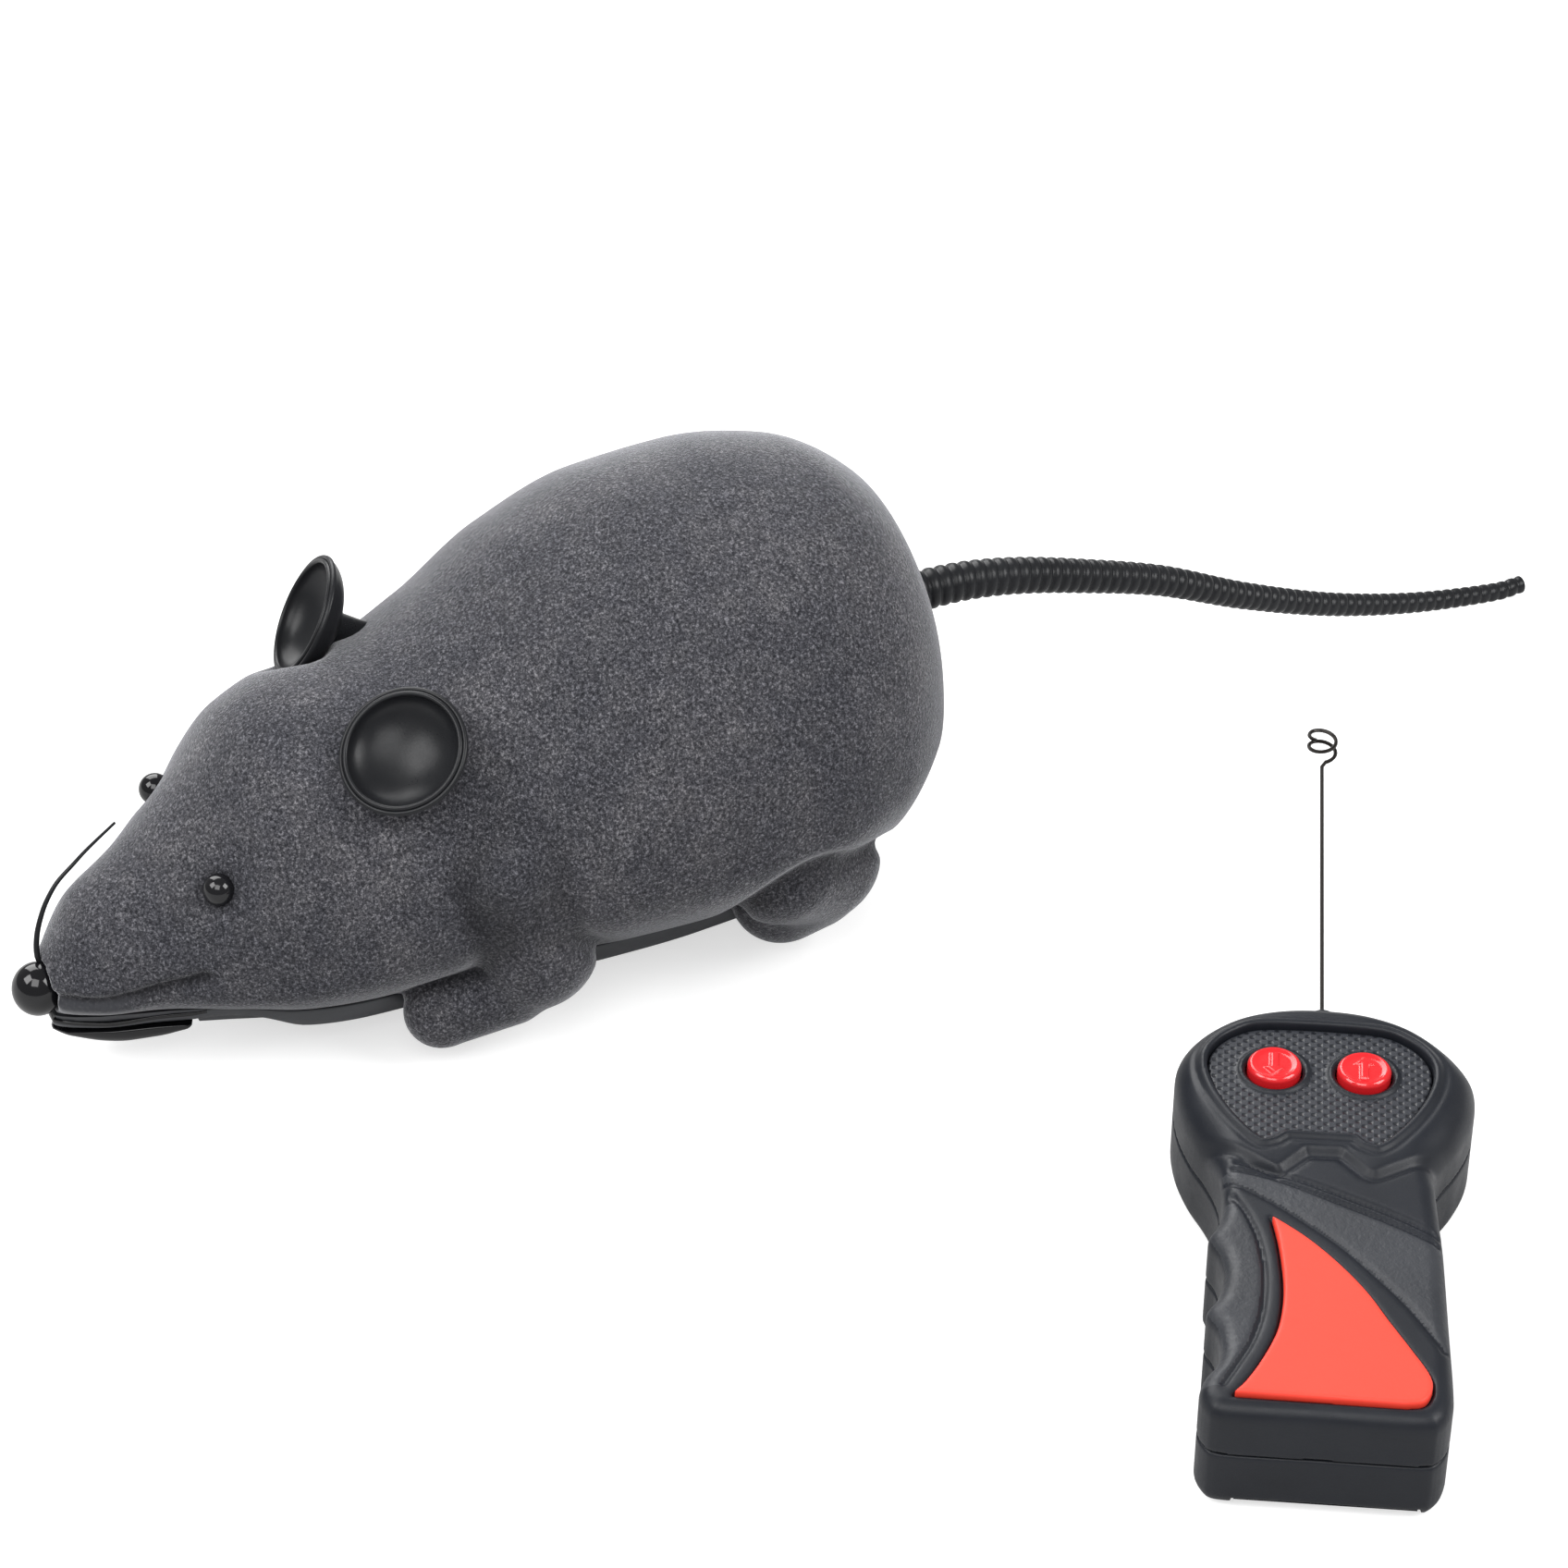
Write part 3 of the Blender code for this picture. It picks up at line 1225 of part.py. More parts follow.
def drive_train(white, brass, steel):
    """Axle gear, compound gear and motor pinion, in mesh, and the compound gear's pin."""
    axle, compound, motor = gear_centres()
    half_tooth = math.pi / COMPOUND_SMALL_TEETH
    axle_gear = gear(
        "axle_gear",
        AXLE_GEAR_TEETH,
        COMPOUND_ANGLE,
        axle,
        GEAR_START_X,
        AXLE_GEAR_WIDTH,
        AXLE_RADIUS + RUNNING_GAP,
    )
    finished(axle_gear, "axle_gear", white)
    small = gear(
        "small",
        COMPOUND_SMALL_TEETH,
        COMPOUND_ANGLE + math.pi + half_tooth,
        compound,
        GEAR_START_X,
        SMALL_GEAR_WIDTH,
        0,
    )
    big_x = GEAR_START_X + SMALL_GEAR_WIDTH - GAP
    big = gear("big", COMPOUND_BIG_TEETH, MOTOR_ANGLE, compound, big_x, BIG_GEAR_WIDTH, 0)
    joined(small, big)
    bore_start = (GEAR_START_X - OVERRUN, *compound)
    bore_end = (big_x + BIG_GEAR_WIDTH + OVERRUN, *compound)
    carved(small, rod("bore", bore_start, bore_end, COMPOUND_BORE_RADIUS, 16))
    finished(small, "compound_gear", white)
    right_x = GEARBOX_LEFT_X + 2 * GEARBOX_PLATE + GEARBOX_INSIDE
    pin = rod("compound_pin", (GEARBOX_LEFT_X, *compound), (right_x, *compound), COMPOUND_PIN_RADIUS, 12)
    finished(pin, "compound_pin", steel)
    pinion_x = big_x - (PINION_WIDTH - BIG_GEAR_WIDTH) / 2
    phase = MOTOR_ANGLE + math.pi + math.pi / PINION_TEETH
    pinion = gear("motor_pinion", PINION_TEETH, phase, motor, pinion_x, PINION_WIDTH, 0)
    face_x = GEARBOX_LEFT_X - GAP
    shaft = rod(
        "shaft",
        (face_x - MOTOR_SHAFT_DEPTH + GAP, *motor),
        (pinion_x + PINION_WIDTH, *motor),
        MOTOR_SHAFT_RADIUS,
        12,
    )
    finished(joined(pinion, shaft), "motor_pinion", brass)


def motor(look):
    """Small flat-sided motor, its face against the gearbox's left plate."""
    centre = gear_centres()[2]
    face_x = GEARBOX_LEFT_X - GAP
    case = rod("motor", (face_x - MOTOR_LENGTH, *centre), (face_x, *centre), MOTOR_RADIUS, 28)
    for up in (1, -1):
        low = centre[1] + MOTOR_FLAT if up > 0 else centre[1] - MOTOR_FLAT - OVERRUN
        carved(
            case,
            block(
                "flat",
                (face_x - MOTOR_LENGTH - OVERRUN, centre[0] - MOTOR_RADIUS - OVERRUN, low),
                (face_x + OVERRUN, centre[0] + MOTOR_RADIUS + OVERRUN, low + OVERRUN),
            ),
        )
    end = (face_x - MOTOR_LENGTH, *centre)
    joined(
        case,
        rod(
            "bearing",
            (end[0] - MOTOR_BEARING_LENGTH, *centre),
            (end[0] + MOTOR_BEARING_LENGTH, *centre),
            MOTOR_BEARING_RADIUS,
            16,
        ),
    )
    carved(
        case,
        rod(
            "bore", (face_x - MOTOR_SHAFT_DEPTH, *centre), (face_x + OVERRUN, *centre), MOTOR_SHAFT_BORE, 12
        ),
    )
    return finished(case, "motor", look)


def gearbox_frame(look):
    """Two plates that carry the axle, the compound pin and the motor, joined by walls, open above."""
    axle, compound, motor_centre = gear_centres()
    left = GEARBOX_LEFT_X
    right = left + 2 * GEARBOX_PLATE + GEARBOX_INSIDE
    upper = block(
        "gearbox_frame", (left, GEARBOX_FRONT_Y, FLOOR_TOP + GAP), (right, GEARBOX_BACK_Y, GEARBOX_TOP)
    )
    belly = block(
        "belly",
        (left, GEARBOX_BELLY_FRONT_Y, GEARBOX_BELLY_BOTTOM),
        (right, GEARBOX_BACK_Y, FLOOR_TOP + OVERRUN),
    )
    joined(upper, belly)
    inner_left = left + GEARBOX_PLATE
    inner_right = right - GEARBOX_PLATE
    room = block(
        "room",
        (inner_left, GEARBOX_FRONT_Y + GEARBOX_WALL, FLOOR_TOP + GAP + GEARBOX_WALL),
        (inner_right, GEARBOX_BACK_Y - GEARBOX_WALL, GEARBOX_TOP + OVERRUN),
    )
    belly_room = block(
        "belly room",
        (inner_left, GEARBOX_BELLY_FRONT_Y + GEARBOX_WALL, GEARBOX_BELLY_BOTTOM + GEARBOX_WALL),
        (inner_right, GEARBOX_BACK_Y - GEARBOX_WALL, FLOOR_TOP + OVERRUN),
    )
    carved(upper, room, belly_room)
    step_y = axle[0] + GEAR_MODULE * AXLE_GEAR_TEETH / 2
    step = block(
        "step",
        (left - OVERRUN, step_y, AXLE_HEIGHT + MOTOR_RADIUS),
        (right + OVERRUN, GEARBOX_BACK_Y + OVERRUN, GEARBOX_TOP + OVERRUN),
    )
    carved(upper, step)
    carved(
        upper,
        rod("axle bore", (left - OVERRUN, *axle), (right + OVERRUN, *axle), AXLE_RADIUS + RUNNING_GAP, 20),
    )
    carved(
        upper,
        rod(
            "pin bore",
            (left - OVERRUN, *compound),
            (right + OVERRUN, *compound),
            COMPOUND_PIN_RADIUS + RUNNING_GAP,
            16,
        ),
    )
    carved(
        upper,
        rod(
            "shaft bore",
            (left - OVERRUN, *motor_centre),
            (inner_left + GAP, *motor_centre),
            MOTOR_SHAFT_BORE,
            16,
        ),
    )
    return finished(upper, "gearbox_frame", look)


def drive_axle(look):
    """Steel axle through the gearbox and both hubs."""
    reach = WHEEL_INNER_X + WHEEL_WIDTH - AXLE_END_GAP
    return finished(
        rod("drive_axle", (-reach, WHEEL_Y, AXLE_HEIGHT), (reach, WHEEL_Y, AXLE_HEIGHT), AXLE_RADIUS, 16),
        "drive_axle",
        look,
    )


def wheel(side, word, hub_look, tyre_look):
    """A dished hub with its bore and a tyre with blocks of tread."""
    start = (side * WHEEL_INNER_X, WHEEL_Y, AXLE_HEIGHT)
    aim = (side, 0, 0)
    inset = GAP
    rim = HUB_RADIUS - HUB_RIM_WIDTH
    bore = AXLE_RADIUS + RUNNING_GAP
    profile = (
        (bore, inset),
        (HUB_RADIUS, inset),
        (HUB_RADIUS, WHEEL_WIDTH - inset),
        (rim, WHEEL_WIDTH - inset),
        (rim, WHEEL_WIDTH - inset - HUB_RECESS),
        (HUB_BOSS_RADIUS, WHEEL_WIDTH - inset - HUB_RECESS),
        (HUB_BOSS_RADIUS, WHEEL_WIDTH - inset),
        (bore, WHEEL_WIDTH - inset),
    )
    finished(turned("hub", profile, start, aim, 16), "wheel_hub_" + word, hub_look)
    shoulder = WHEEL_RADIUS - TREAD_DEPTH
    tyre_profile = (
        (HUB_RADIUS + GAP, 0),
        (shoulder, 0),
        (WHEEL_RADIUS, TREAD_DEPTH),
        (WHEEL_RADIUS, WHEEL_WIDTH - TREAD_DEPTH),
        (shoulder, WHEEL_WIDTH),
        (HUB_RADIUS + GAP, WHEEL_WIDTH),
    )
    finished(turned("tyre", tyre_profile, start, aim, 2 * TREAD_BLOCKS), "tyre_" + word, tyre_look)


def castor(fork_look, wheel_look, steel):
    """Swivelling fork under the snout with a small trailing wheel."""
    axle_y = CASTOR_Y + CASTOR_TRAIL
    axle_z = CASTOR_WHEEL_RADIUS
    outer = CASTOR_FORK_INSIDE + CASTOR_FORK_WALL
    profile = (
        (0, 0),
        (CASTOR_CROWN_RADIUS, 0),
        (CASTOR_CROWN_RADIUS, CASTOR_CROWN_TOP - CASTOR_CROWN_BOTTOM),
        (CASTOR_PIN_RADIUS, CASTOR_CROWN_TOP - CASTOR_CROWN_BOTTOM),
        (CASTOR_PIN_RADIUS, CASTOR_CUP_TOP + GAP - CASTOR_CROWN_BOTTOM),
        (CASTOR_HEAD_RADIUS, CASTOR_CUP_TOP + GAP - CASTOR_CROWN_BOTTOM),
        (CASTOR_HEAD_RADIUS, CASTOR_CUP_TOP + GAP + CASTOR_HEAD_HEIGHT - CASTOR_CROWN_BOTTOM),
        (0, CASTOR_CUP_TOP + GAP + CASTOR_HEAD_HEIGHT - CASTOR_CROWN_BOTTOM),
    )
    fork = turned("castor_fork", profile, (0, CASTOR_Y, CASTOR_CROWN_BOTTOM), (0, 0, 1), 18)
    for side in (1, -1):
        inner_x = side * CASTOR_FORK_INSIDE
        outer_x = side * outer
        leg_block = block(
            "fork leg",
            (min(inner_x, outer_x), axle_y - CASTOR_LEG_HALF_LENGTH, axle_z - CASTOR_LEG_HALF_LENGTH),
            (max(inner_x, outer_x), axle_y + CASTOR_LEG_HALF_LENGTH, CASTOR_CROWN_TOP - GAP),
        )
        brace = block(
            "fork brace",
            (
                min(inner_x, outer_x),
                CASTOR_Y - CASTOR_LEG_HALF_LENGTH,
                CASTOR_CROWN_BOTTOM - CASTOR_FORK_WALL,
            ),
            (max(inner_x, outer_x), axle_y + CASTOR_LEG_HALF_LENGTH, CASTOR_CROWN_TOP - GAP),
        )
        joined(fork, leg_block, brace)
    hole = CASTOR_AXLE_RADIUS + RUNNING_GAP
    carved(fork, rod("hole", (-outer - OVERRUN, axle_y, axle_z), (outer + OVERRUN, axle_y, axle_z), hole, 14))
    finished(fork, "castor_fork", fork_look)
    half = CASTOR_WHEEL_HALF_WIDTH
    edge = TREAD_DEPTH
    rim = (
        (hole, 0),
        (CASTOR_WHEEL_RADIUS - edge, 0),
        (CASTOR_WHEEL_RADIUS, edge),
        (CASTOR_WHEEL_RADIUS, 2 * half - edge),
        (CASTOR_WHEEL_RADIUS - edge, 2 * half),
        (hole, 2 * half),
    )
    finished(turned("castor_wheel", rim, (-half, axle_y, axle_z), (1, 0, 0), 20), "castor_wheel", wheel_look)
    finished(
        rod("castor_axle", (-outer, axle_y, axle_z), (outer, axle_y, axle_z), CASTOR_AXLE_RADIUS, 12),
        "castor_axle",
        steel,
    )


def power_switch(body_look, knob_look):
    """Slide switch on the chassis floor, with a ribbed knob that shows underneath."""
    bottom = FLOOR_TOP + GAP
    case = block(
        "power_switch_body",
        (SWITCH_X - SWITCH_HALF_WIDTH, SWITCH_Y - SWITCH_HALF_LENGTH, bottom),
        (SWITCH_X + SWITCH_HALF_WIDTH, SWITCH_Y + SWITCH_HALF_LENGTH, bottom + SWITCH_HEIGHT),
    )
    carved(
        case,
        block(
            "slot",
            (SWITCH_X - SWITCH_SLOT_HALF_WIDTH, SWITCH_Y - SWITCH_SLOT_HALF_LENGTH, bottom - OVERRUN),
            (
                SWITCH_X + SWITCH_SLOT_HALF_WIDTH,
                SWITCH_Y + SWITCH_SLOT_HALF_LENGTH,
                bottom + SWITCH_KNOB_RISE + GAP,
            ),
        ),
    )
    finished(case, "power_switch_body", body_look)
    half = SWITCH_SLOT_HALF_WIDTH - GAP
    start = SWITCH_Y - SWITCH_SLOT_HALF_LENGTH + GAP
    low = CHASSIS_BOTTOM - SWITCH_KNOB_PROUD
    knob = block(
        "power_switch_knob",
        (SWITCH_X - half, start, low),
        (SWITCH_X + half, start + SWITCH_KNOB_LENGTH, bottom + SWITCH_KNOB_RISE),
    )
    for k in range(SWITCH_KNOB_GRIPS):
        y = start + SWITCH_KNOB_LENGTH * (k + 0.5) / SWITCH_KNOB_GRIPS
        groove = block(
            "groove",
            (SWITCH_X - SWITCH_HALF_WIDTH, y - SWITCH_GRIP_DEPTH / 2, low - OVERRUN),
            (SWITCH_X + SWITCH_HALF_WIDTH, y + SWITCH_GRIP_DEPTH / 2, low + SWITCH_GRIP_DEPTH),
        )
        carved(knob, groove)
    finished(knob, "power_switch_knob", knob_look)


def board_post_places():
    """The four posts under the receiver board."""
    x = BOARD_HALF_WIDTH - BOARD_POST_INSET
    return [
        (side * x, y)
        for side in (1, -1) for y in (BOARD_FRONT_Y + BOARD_POST_INSET, BOARD_BACK_Y - BOARD_POST_INSET)
    ]


def receiver_board(look):
    """Circuit board on four posts over the battery bay, with its chip, crystal, coil and capacitor."""
    bottom = BAY_CEILING + BAY_WALL + BOARD_POST_HEIGHT + GAP
    board = block(
        "receiver_board",
        (-BOARD_HALF_WIDTH, BOARD_FRONT_Y, bottom),
        (BOARD_HALF_WIDTH, BOARD_BACK_Y, bottom + BOARD_THICKNESS),
    )
    middle = (BOARD_FRONT_Y + BOARD_BACK_Y) / 2
    unit = BOARD_HALF_WIDTH
    for x, y, half_x, half_y, height in RECEIVER_CHIP_SHARES:
        chip = block(
            "chip",
            ((x - half_x) * unit, middle + (y - half_y) * unit, bottom + BOARD_THICKNESS / 2),
            ((x + half_x) * unit, middle + (y + half_y) * unit, bottom + BOARD_THICKNESS + height * unit),
        )
        joined(board, chip)
    return finished(board, "receiver_board", look)


def ear(side, word, look):
    """Soft cup ear on a short stem."""
    centre, aim = ear_frame(side)
    cup_radius = EAR_RADIUS * EAR_MOUTH_SHARE
    inner = []
    for k in range(EAR_STEPS + 1):
        angle = math.pi / 2 * k / EAR_STEPS
        inner.append((cup_radius * math.sin(angle), -EAR_DEPTH * math.cos(angle)))
    lip = [((cup_radius + EAR_RADIUS) / 2, EAR_THICKNESS / 3)]
    finished(turned("ear", inner + lip + ear_back(0), centre, aim, EAR_SIDES), "ear_" + word, look)


def whisker(look):
    """One thin whisker that stands up from the root of the nose."""
    points, length = route_curve(WHISKER_ROUTE, 12)
    radii = [WHISKER_ROOT_RADIUS + (WHISKER_TIP_RADIUS - WHISKER_ROOT_RADIUS) * k / 11 for k in range(12)]
    thing = tube("whisker", points, radii, 1)
    return finished(thing, "whisker", look)


def tail(look):
    """Ribbed rubber tail: two points of unlike radius for each rib, tapering to a thin end."""
    count = 2 * TAIL_RIBS
    points, length = route_curve(TAIL_ROUTE, count)
    radii = []
    for k in range(count):
        share = k / (count - 1)
        diameter = TAIL_ROOT_DIAMETER + (TAIL_TIP_DIAMETER - TAIL_ROOT_DIAMETER) * share**0.85
        depth = TAIL_RIB_DEPTH * diameter / TAIL_ROOT_DIAMETER
        radii.append(diameter / 2 - (depth if k % 2 else 0))
    print("tail length", round(length, 5), "least rib step", round(length / (count - 1), 6))
    return finished(tube("tail", points, radii, 2), "tail", look)


def tail_socket(look):
    """Plug behind the rump's inner wall that holds the tail's root."""
    face = TAIL_ROOT_Y - GAP
    plug = rod(
        "tail_socket",
        (0, face - TAIL_SOCKET_LENGTH, TAIL_HEIGHT),
        (0, face, TAIL_HEIGHT),
        TAIL_SOCKET_RADIUS,
        20,
    )
    room = body_form("room", SHELL_WALL + GAP, CAVITY_START_SHARE, CAVITY_END_SHARE, HOLLOW_RINGS)
    combined(plug, room, "INTERSECT")
    return finished(plug, "tail_socket", look)


def mouse_screws(look):
    """The screws that hold the shell, the jaw and the battery door."""
    for (x, y), word in zip(rear_screw_places(), ("left", "right")):
        bottom = CHASSIS_BOTTOM + SCREW_SEAT_DEPTH - SCREW_HEAD_HEIGHT - GAP
        screw("chassis_screw_" + word, x, y, bottom, RIM_HEIGHT + SCREW_BITE, look)
    bottom = JAW_BOTTOM + JAW_SCREW_SEAT - SCREW_HEAD_HEIGHT - GAP
    screw("jaw_screw", 0, FRONT_SCREW_Y, bottom, RIM_HEIGHT + SCREW_BITE, look)
    bottom = CHASSIS_BOTTOM - SCREW_HEAD_HEIGHT - GAP
    screw(
        "battery_door_screw", DOOR_TAB_X, DOOR_TAB_Y, bottom, RIM_HEIGHT + SCREW_BITE - BAY_WALL - GAP, look
    )


def remote_outline():
    """Outline of the remote in its own frame: across, then along from the bottom end."""
    return [(x * REMOTE_WIDTH, y * REMOTE_LENGTH) for x, y in REMOTE_OUTLINE_SHARES]


def face_plate_outline():
    """Outline of the face plate around the two buttons."""
    centre = FACE_PLATE_CENTRE_SHARE * REMOTE_WIDTH
    right = [(x * REMOTE_WIDTH, y * REMOTE_LENGTH) for x, y in FACE_PLATE_SHARES]
    left = [(-x, y) for x, y in reversed(right[1:])]
    return [(centre + x, y) for x, y in right + left]


def grip_panel_outline():
    """Outline of the coloured panel on the grip."""
    return [(x * REMOTE_WIDTH, y * REMOTE_LENGTH) for x, y in GRIP_PANEL_SHARES]


def button_places():
    """Centres of the left and right buttons."""
    y = BUTTON_HEIGHT_SHARE * REMOTE_LENGTH
    return ((BUTTON_LEFT_SHARE * REMOTE_WIDTH, y), (BUTTON_RIGHT_SHARE * REMOTE_WIDTH, y))


def bay_centre():
    """Middle of the remote's battery bay across the grip."""
    return REMOTE_BAY_CENTRE_SHARE * REMOTE_WIDTH


def remote_screw_places():
    """The two screws that hold the remote's halves, in the head."""
    y = REMOTE_SCREW_SHARE * REMOTE_LENGTH
    return ((REMOTE_SCREW_X, y), (-REMOTE_SCREW_X, y))


def antenna_height():
    """Height of the antenna's axis over the remote's back."""
    return REMOTE_SPLIT + GAP / 2


def remote_front_shell(look):
    """Front half: rounded edge, window for the face plate, pocket for the grip panel."""
    outline = remote_outline()
    top = REMOTE_THICKNESS
    low = REMOTE_SPLIT + GAP
    half_edge = REMOTE_EDGE / 2
    shell = prism(
        "remote_front_shell",
        outline,
        ((low, 0), (top - REMOTE_EDGE, 0), (top - half_edge / 2, half_edge / 2), (top, REMOTE_EDGE)),
    )
    hollow = prism(
        "hollow",
        outline,
        (
            (low - OVERRUN, REMOTE_WALL),
            (top - REMOTE_EDGE, REMOTE_WALL),
            (top - 2 * REMOTE_WALL, REMOTE_WALL + GAP),
        ),
    )
    carved(shell, hollow)
    plate = face_plate_outline()
    sunk = top - FACE_PLATE_SUNK - FACE_PLATE_THICKNESS - GAP
    window = prism("window", plate, ((low, REMOTE_WALL), (sunk, REMOTE_WALL)))
    recess = prism("recess", plate, ((sunk, -GAP), (top + OVERRUN, -GAP)))
    carved(shell, window, recess)
    pocket = prism(
        "pocket", grip_panel_outline(), ((top - GRIP_PANEL_THICKNESS, -GAP), (top + OVERRUN, -GAP))
    )
    carved(shell, pocket)
    for x, y in remote_screw_places():
        post = rod("post", (x, y, low + GAP), (x, y, top - 2 * REMOTE_WALL + GAP), SCREW_BOSS_RADIUS, 14)
        joined(shell, post)
        carved(
            shell,
            rod(
                "hole",
                (x, y, low - OVERRUN),
                (x, y, REMOTE_SPLIT + REMOTE_SCREW_REACH + GAP),
                SCREW_RADIUS + SCREW_HOLE_GAP,
                12,
            ),
        )
    carved(shell, collar_form("collar room", GAP))
    return finished(shell, "remote_front_shell", look)


def remote_back_shell(look):
    """Back half: flat back with the battery opening and the door's runway out of the bottom end."""
    outline = remote_outline()
    half_edge = REMOTE_EDGE / 2
    shell = prism(
        "remote_back_shell",
        outline,
        ((0, half_edge), (half_edge / 2, half_edge / 4), (REMOTE_EDGE, 0), (REMOTE_SPLIT, 0)),
    )
    hollow = prism("hollow", outline, ((2 * REMOTE_WALL, REMOTE_WALL), (REMOTE_SPLIT + OVERRUN, REMOTE_WALL)))
    carved(shell, hollow)
    centre = bay_centre()
    bay = block(
        "bay",
        (centre - REMOTE_BAY_HALF_WIDTH, REMOTE_BAY_END_Y, -OVERRUN),
        (centre + REMOTE_BAY_HALF_WIDTH, REMOTE_BAY_TOP_Y, 2 * REMOTE_WALL + OVERRUN),
    )
    runway = remote_door_block(
        "runway", GAP, -OVERRUN, REMOTE_DOOR_SUNK + REMOTE_DOOR_THICKNESS + GAP, -OVERRUN
    )
    carved(shell, bay, runway)
    for x, y in remote_screw_places():
        post = rod("post", (x, y, REMOTE_WALL), (x, y, REMOTE_SPLIT - GAP), SCREW_BOSS_RADIUS, 14)
        joined(shell, post)
        carved(
            shell,
            rod(
                "hole", (x, y, -OVERRUN), (x, y, REMOTE_SPLIT + OVERRUN), SCREW_RADIUS + SCREW_HOLE_GAP, 12
            ),
        )
        carved(shell, rod("seat", (x, y, -OVERRUN), (x, y, REMOTE_SCREW_SEAT), SCREW_HEAD_RADIUS + GAP, 14))
    for x, y in remote_board_posts():
        joined(
            shell,
            rod(
                "board post",
                (x, y, REMOTE_WALL),
                (x, y, REMOTE_BOARD_HEIGHT - GAP - BOARD_THICKNESS),
                REMOTE_POST_RADIUS,
                10,
            ),
        )
    carved(shell, collar_form("collar room", GAP))
    return finished(shell, "remote_back_shell", look)


def remote_door_block(name, grow, bottom, top, end_y):
    """The remote's battery door, or its runway when it is grown."""
    side = REMOTE_BAY_HALF_WIDTH + REMOTE_DOOR_LIP + grow
    centre = bay_centre()
    return block(name, (centre - side, end_y, bottom), (centre + side, REMOTE_DOOR_TOP_Y + grow, top))


def remote_battery_door(look):
    """Thin plate in the back of the grip that slides off towards the bottom end."""
    bottom = REMOTE_DOOR_SUNK
    door = remote_door_block(
        "remote_battery_door", 0, bottom, bottom + REMOTE_DOOR_THICKNESS, REMOTE_EDGE / 2
    )
    for k in range(REMOTE_DOOR_GRIPS):
        y = REMOTE_DOOR_TOP_Y - REMOTE_DOOR_GRIP_START - REMOTE_DOOR_GRIP_STEP * k
        half = REMOTE_BAY_HALF_WIDTH / 2
        carved(
            door,
            block(
                "grip",
                (bay_centre() - half, y - GAP, -OVERRUN),
                (bay_centre() + half, y + GAP, bottom + GAP),
            ),
        )
    return finished(door, "remote_battery_door", look)


def collar_form(name, gap):
    """Stepped collar that the antenna comes out of, with its stem and flange inside the remote."""
    top = REMOTE_LENGTH
    flange_end = top - REMOTE_WALL - GAP - gap
    profile = (
        (0, flange_end - COLLAR_FLANGE_LENGTH - top - 2 * gap),
        (COLLAR_FLANGE_RADIUS + gap, flange_end - COLLAR_FLANGE_LENGTH - top - 2 * gap),
        (COLLAR_FLANGE_RADIUS + gap, flange_end - top + 2 * gap),
        (COLLAR_STEM_RADIUS + gap, flange_end - top + 2 * gap),
        (COLLAR_STEM_RADIUS + gap, GAP - gap),
        (LOWER_COLLAR_RADIUS + gap, GAP - gap),
        (LOWER_COLLAR_RADIUS + gap, LOWER_COLLAR_HEIGHT),
        (UPPER_COLLAR_RADIUS + gap, LOWER_COLLAR_HEIGHT),
        (UPPER_COLLAR_RADIUS + gap, LOWER_COLLAR_HEIGHT + UPPER_COLLAR_HEIGHT),
        (0, LOWER_COLLAR_HEIGHT + UPPER_COLLAR_HEIGHT),
    )
    return turned(name, profile, (0, top, antenna_height()), (0, 1, 0), 16)


def antenna_collar(look):
    """The antenna's collar, with a hole for the wire."""
    collar = collar_form("antenna_collar", 0)
    top = REMOTE_LENGTH + LOWER_COLLAR_HEIGHT + UPPER_COLLAR_HEIGHT
    start = (0, top - ANTENNA_BURIED - GAP, antenna_height())
    carved(
        collar, rod("wire hole", start, (0, top + OVERRUN, antenna_height()), ANTENNA_WIRE_RADIUS + GAP, 12)
    )
    return finished(collar, "antenna_collar", look)


def least_gap(points, radius, apart):
    """Least gap between stretches of a tube that are at least so many points apart."""
    gaps = []
    for i in range(len(points)):
        for j in range(i + apart, len(points)):
            gaps.append((points[i] - points[j]).length - 2 * radius)
    return min(gaps)


def antenna(look):
    """Stiff wire that ends in an eye of two open turns, as one unbroken tube."""
    start = REMOTE_LENGTH + LOWER_COLLAR_HEIGHT + UPPER_COLLAR_HEIGHT - ANTENNA_BURIED
    height = antenna_height()
    eye_height = 2 * ANTENNA_EYE_RADIUS + ANTENNA_EYE_RISE * ANTENNA_EYE_TURNS
    eye_bottom = start + ANTENNA_BURIED + ANTENNA_LENGTH - eye_height
    points = [
        Vector((0, start, height)),
        Vector((0, (start + eye_bottom) / 2, height)),
        Vector((0, eye_bottom - ANTENNA_EYE_RADIUS / 2, height)),
    ]
    per_turn = 24
    steps = per_turn * ANTENNA_EYE_TURNS - 2
    for k in range(1, steps + 1):
        angle = math.tau * k / per_turn
        share = k / per_turn
        points.append(
            Vector(
                (
                    ANTENNA_EYE_RADIUS * math.sin(angle),
                    eye_bottom + ANTENNA_EYE_RADIUS * (1 - math.cos(angle)) + ANTENNA_EYE_RISE * share,
                    height + ANTENNA_EYE_STEP * share,
                )
            )
        )
    least = least_gap(points, ANTENNA_WIRE_RADIUS, per_turn // 2)
    print("antenna: least gap of the wire to itself", round(least, 6))
    thing = tube("remote_antenna", points, [ANTENNA_WIRE_RADIUS] * len(points), 1)
    return finished(thing, "remote_antenna", look)


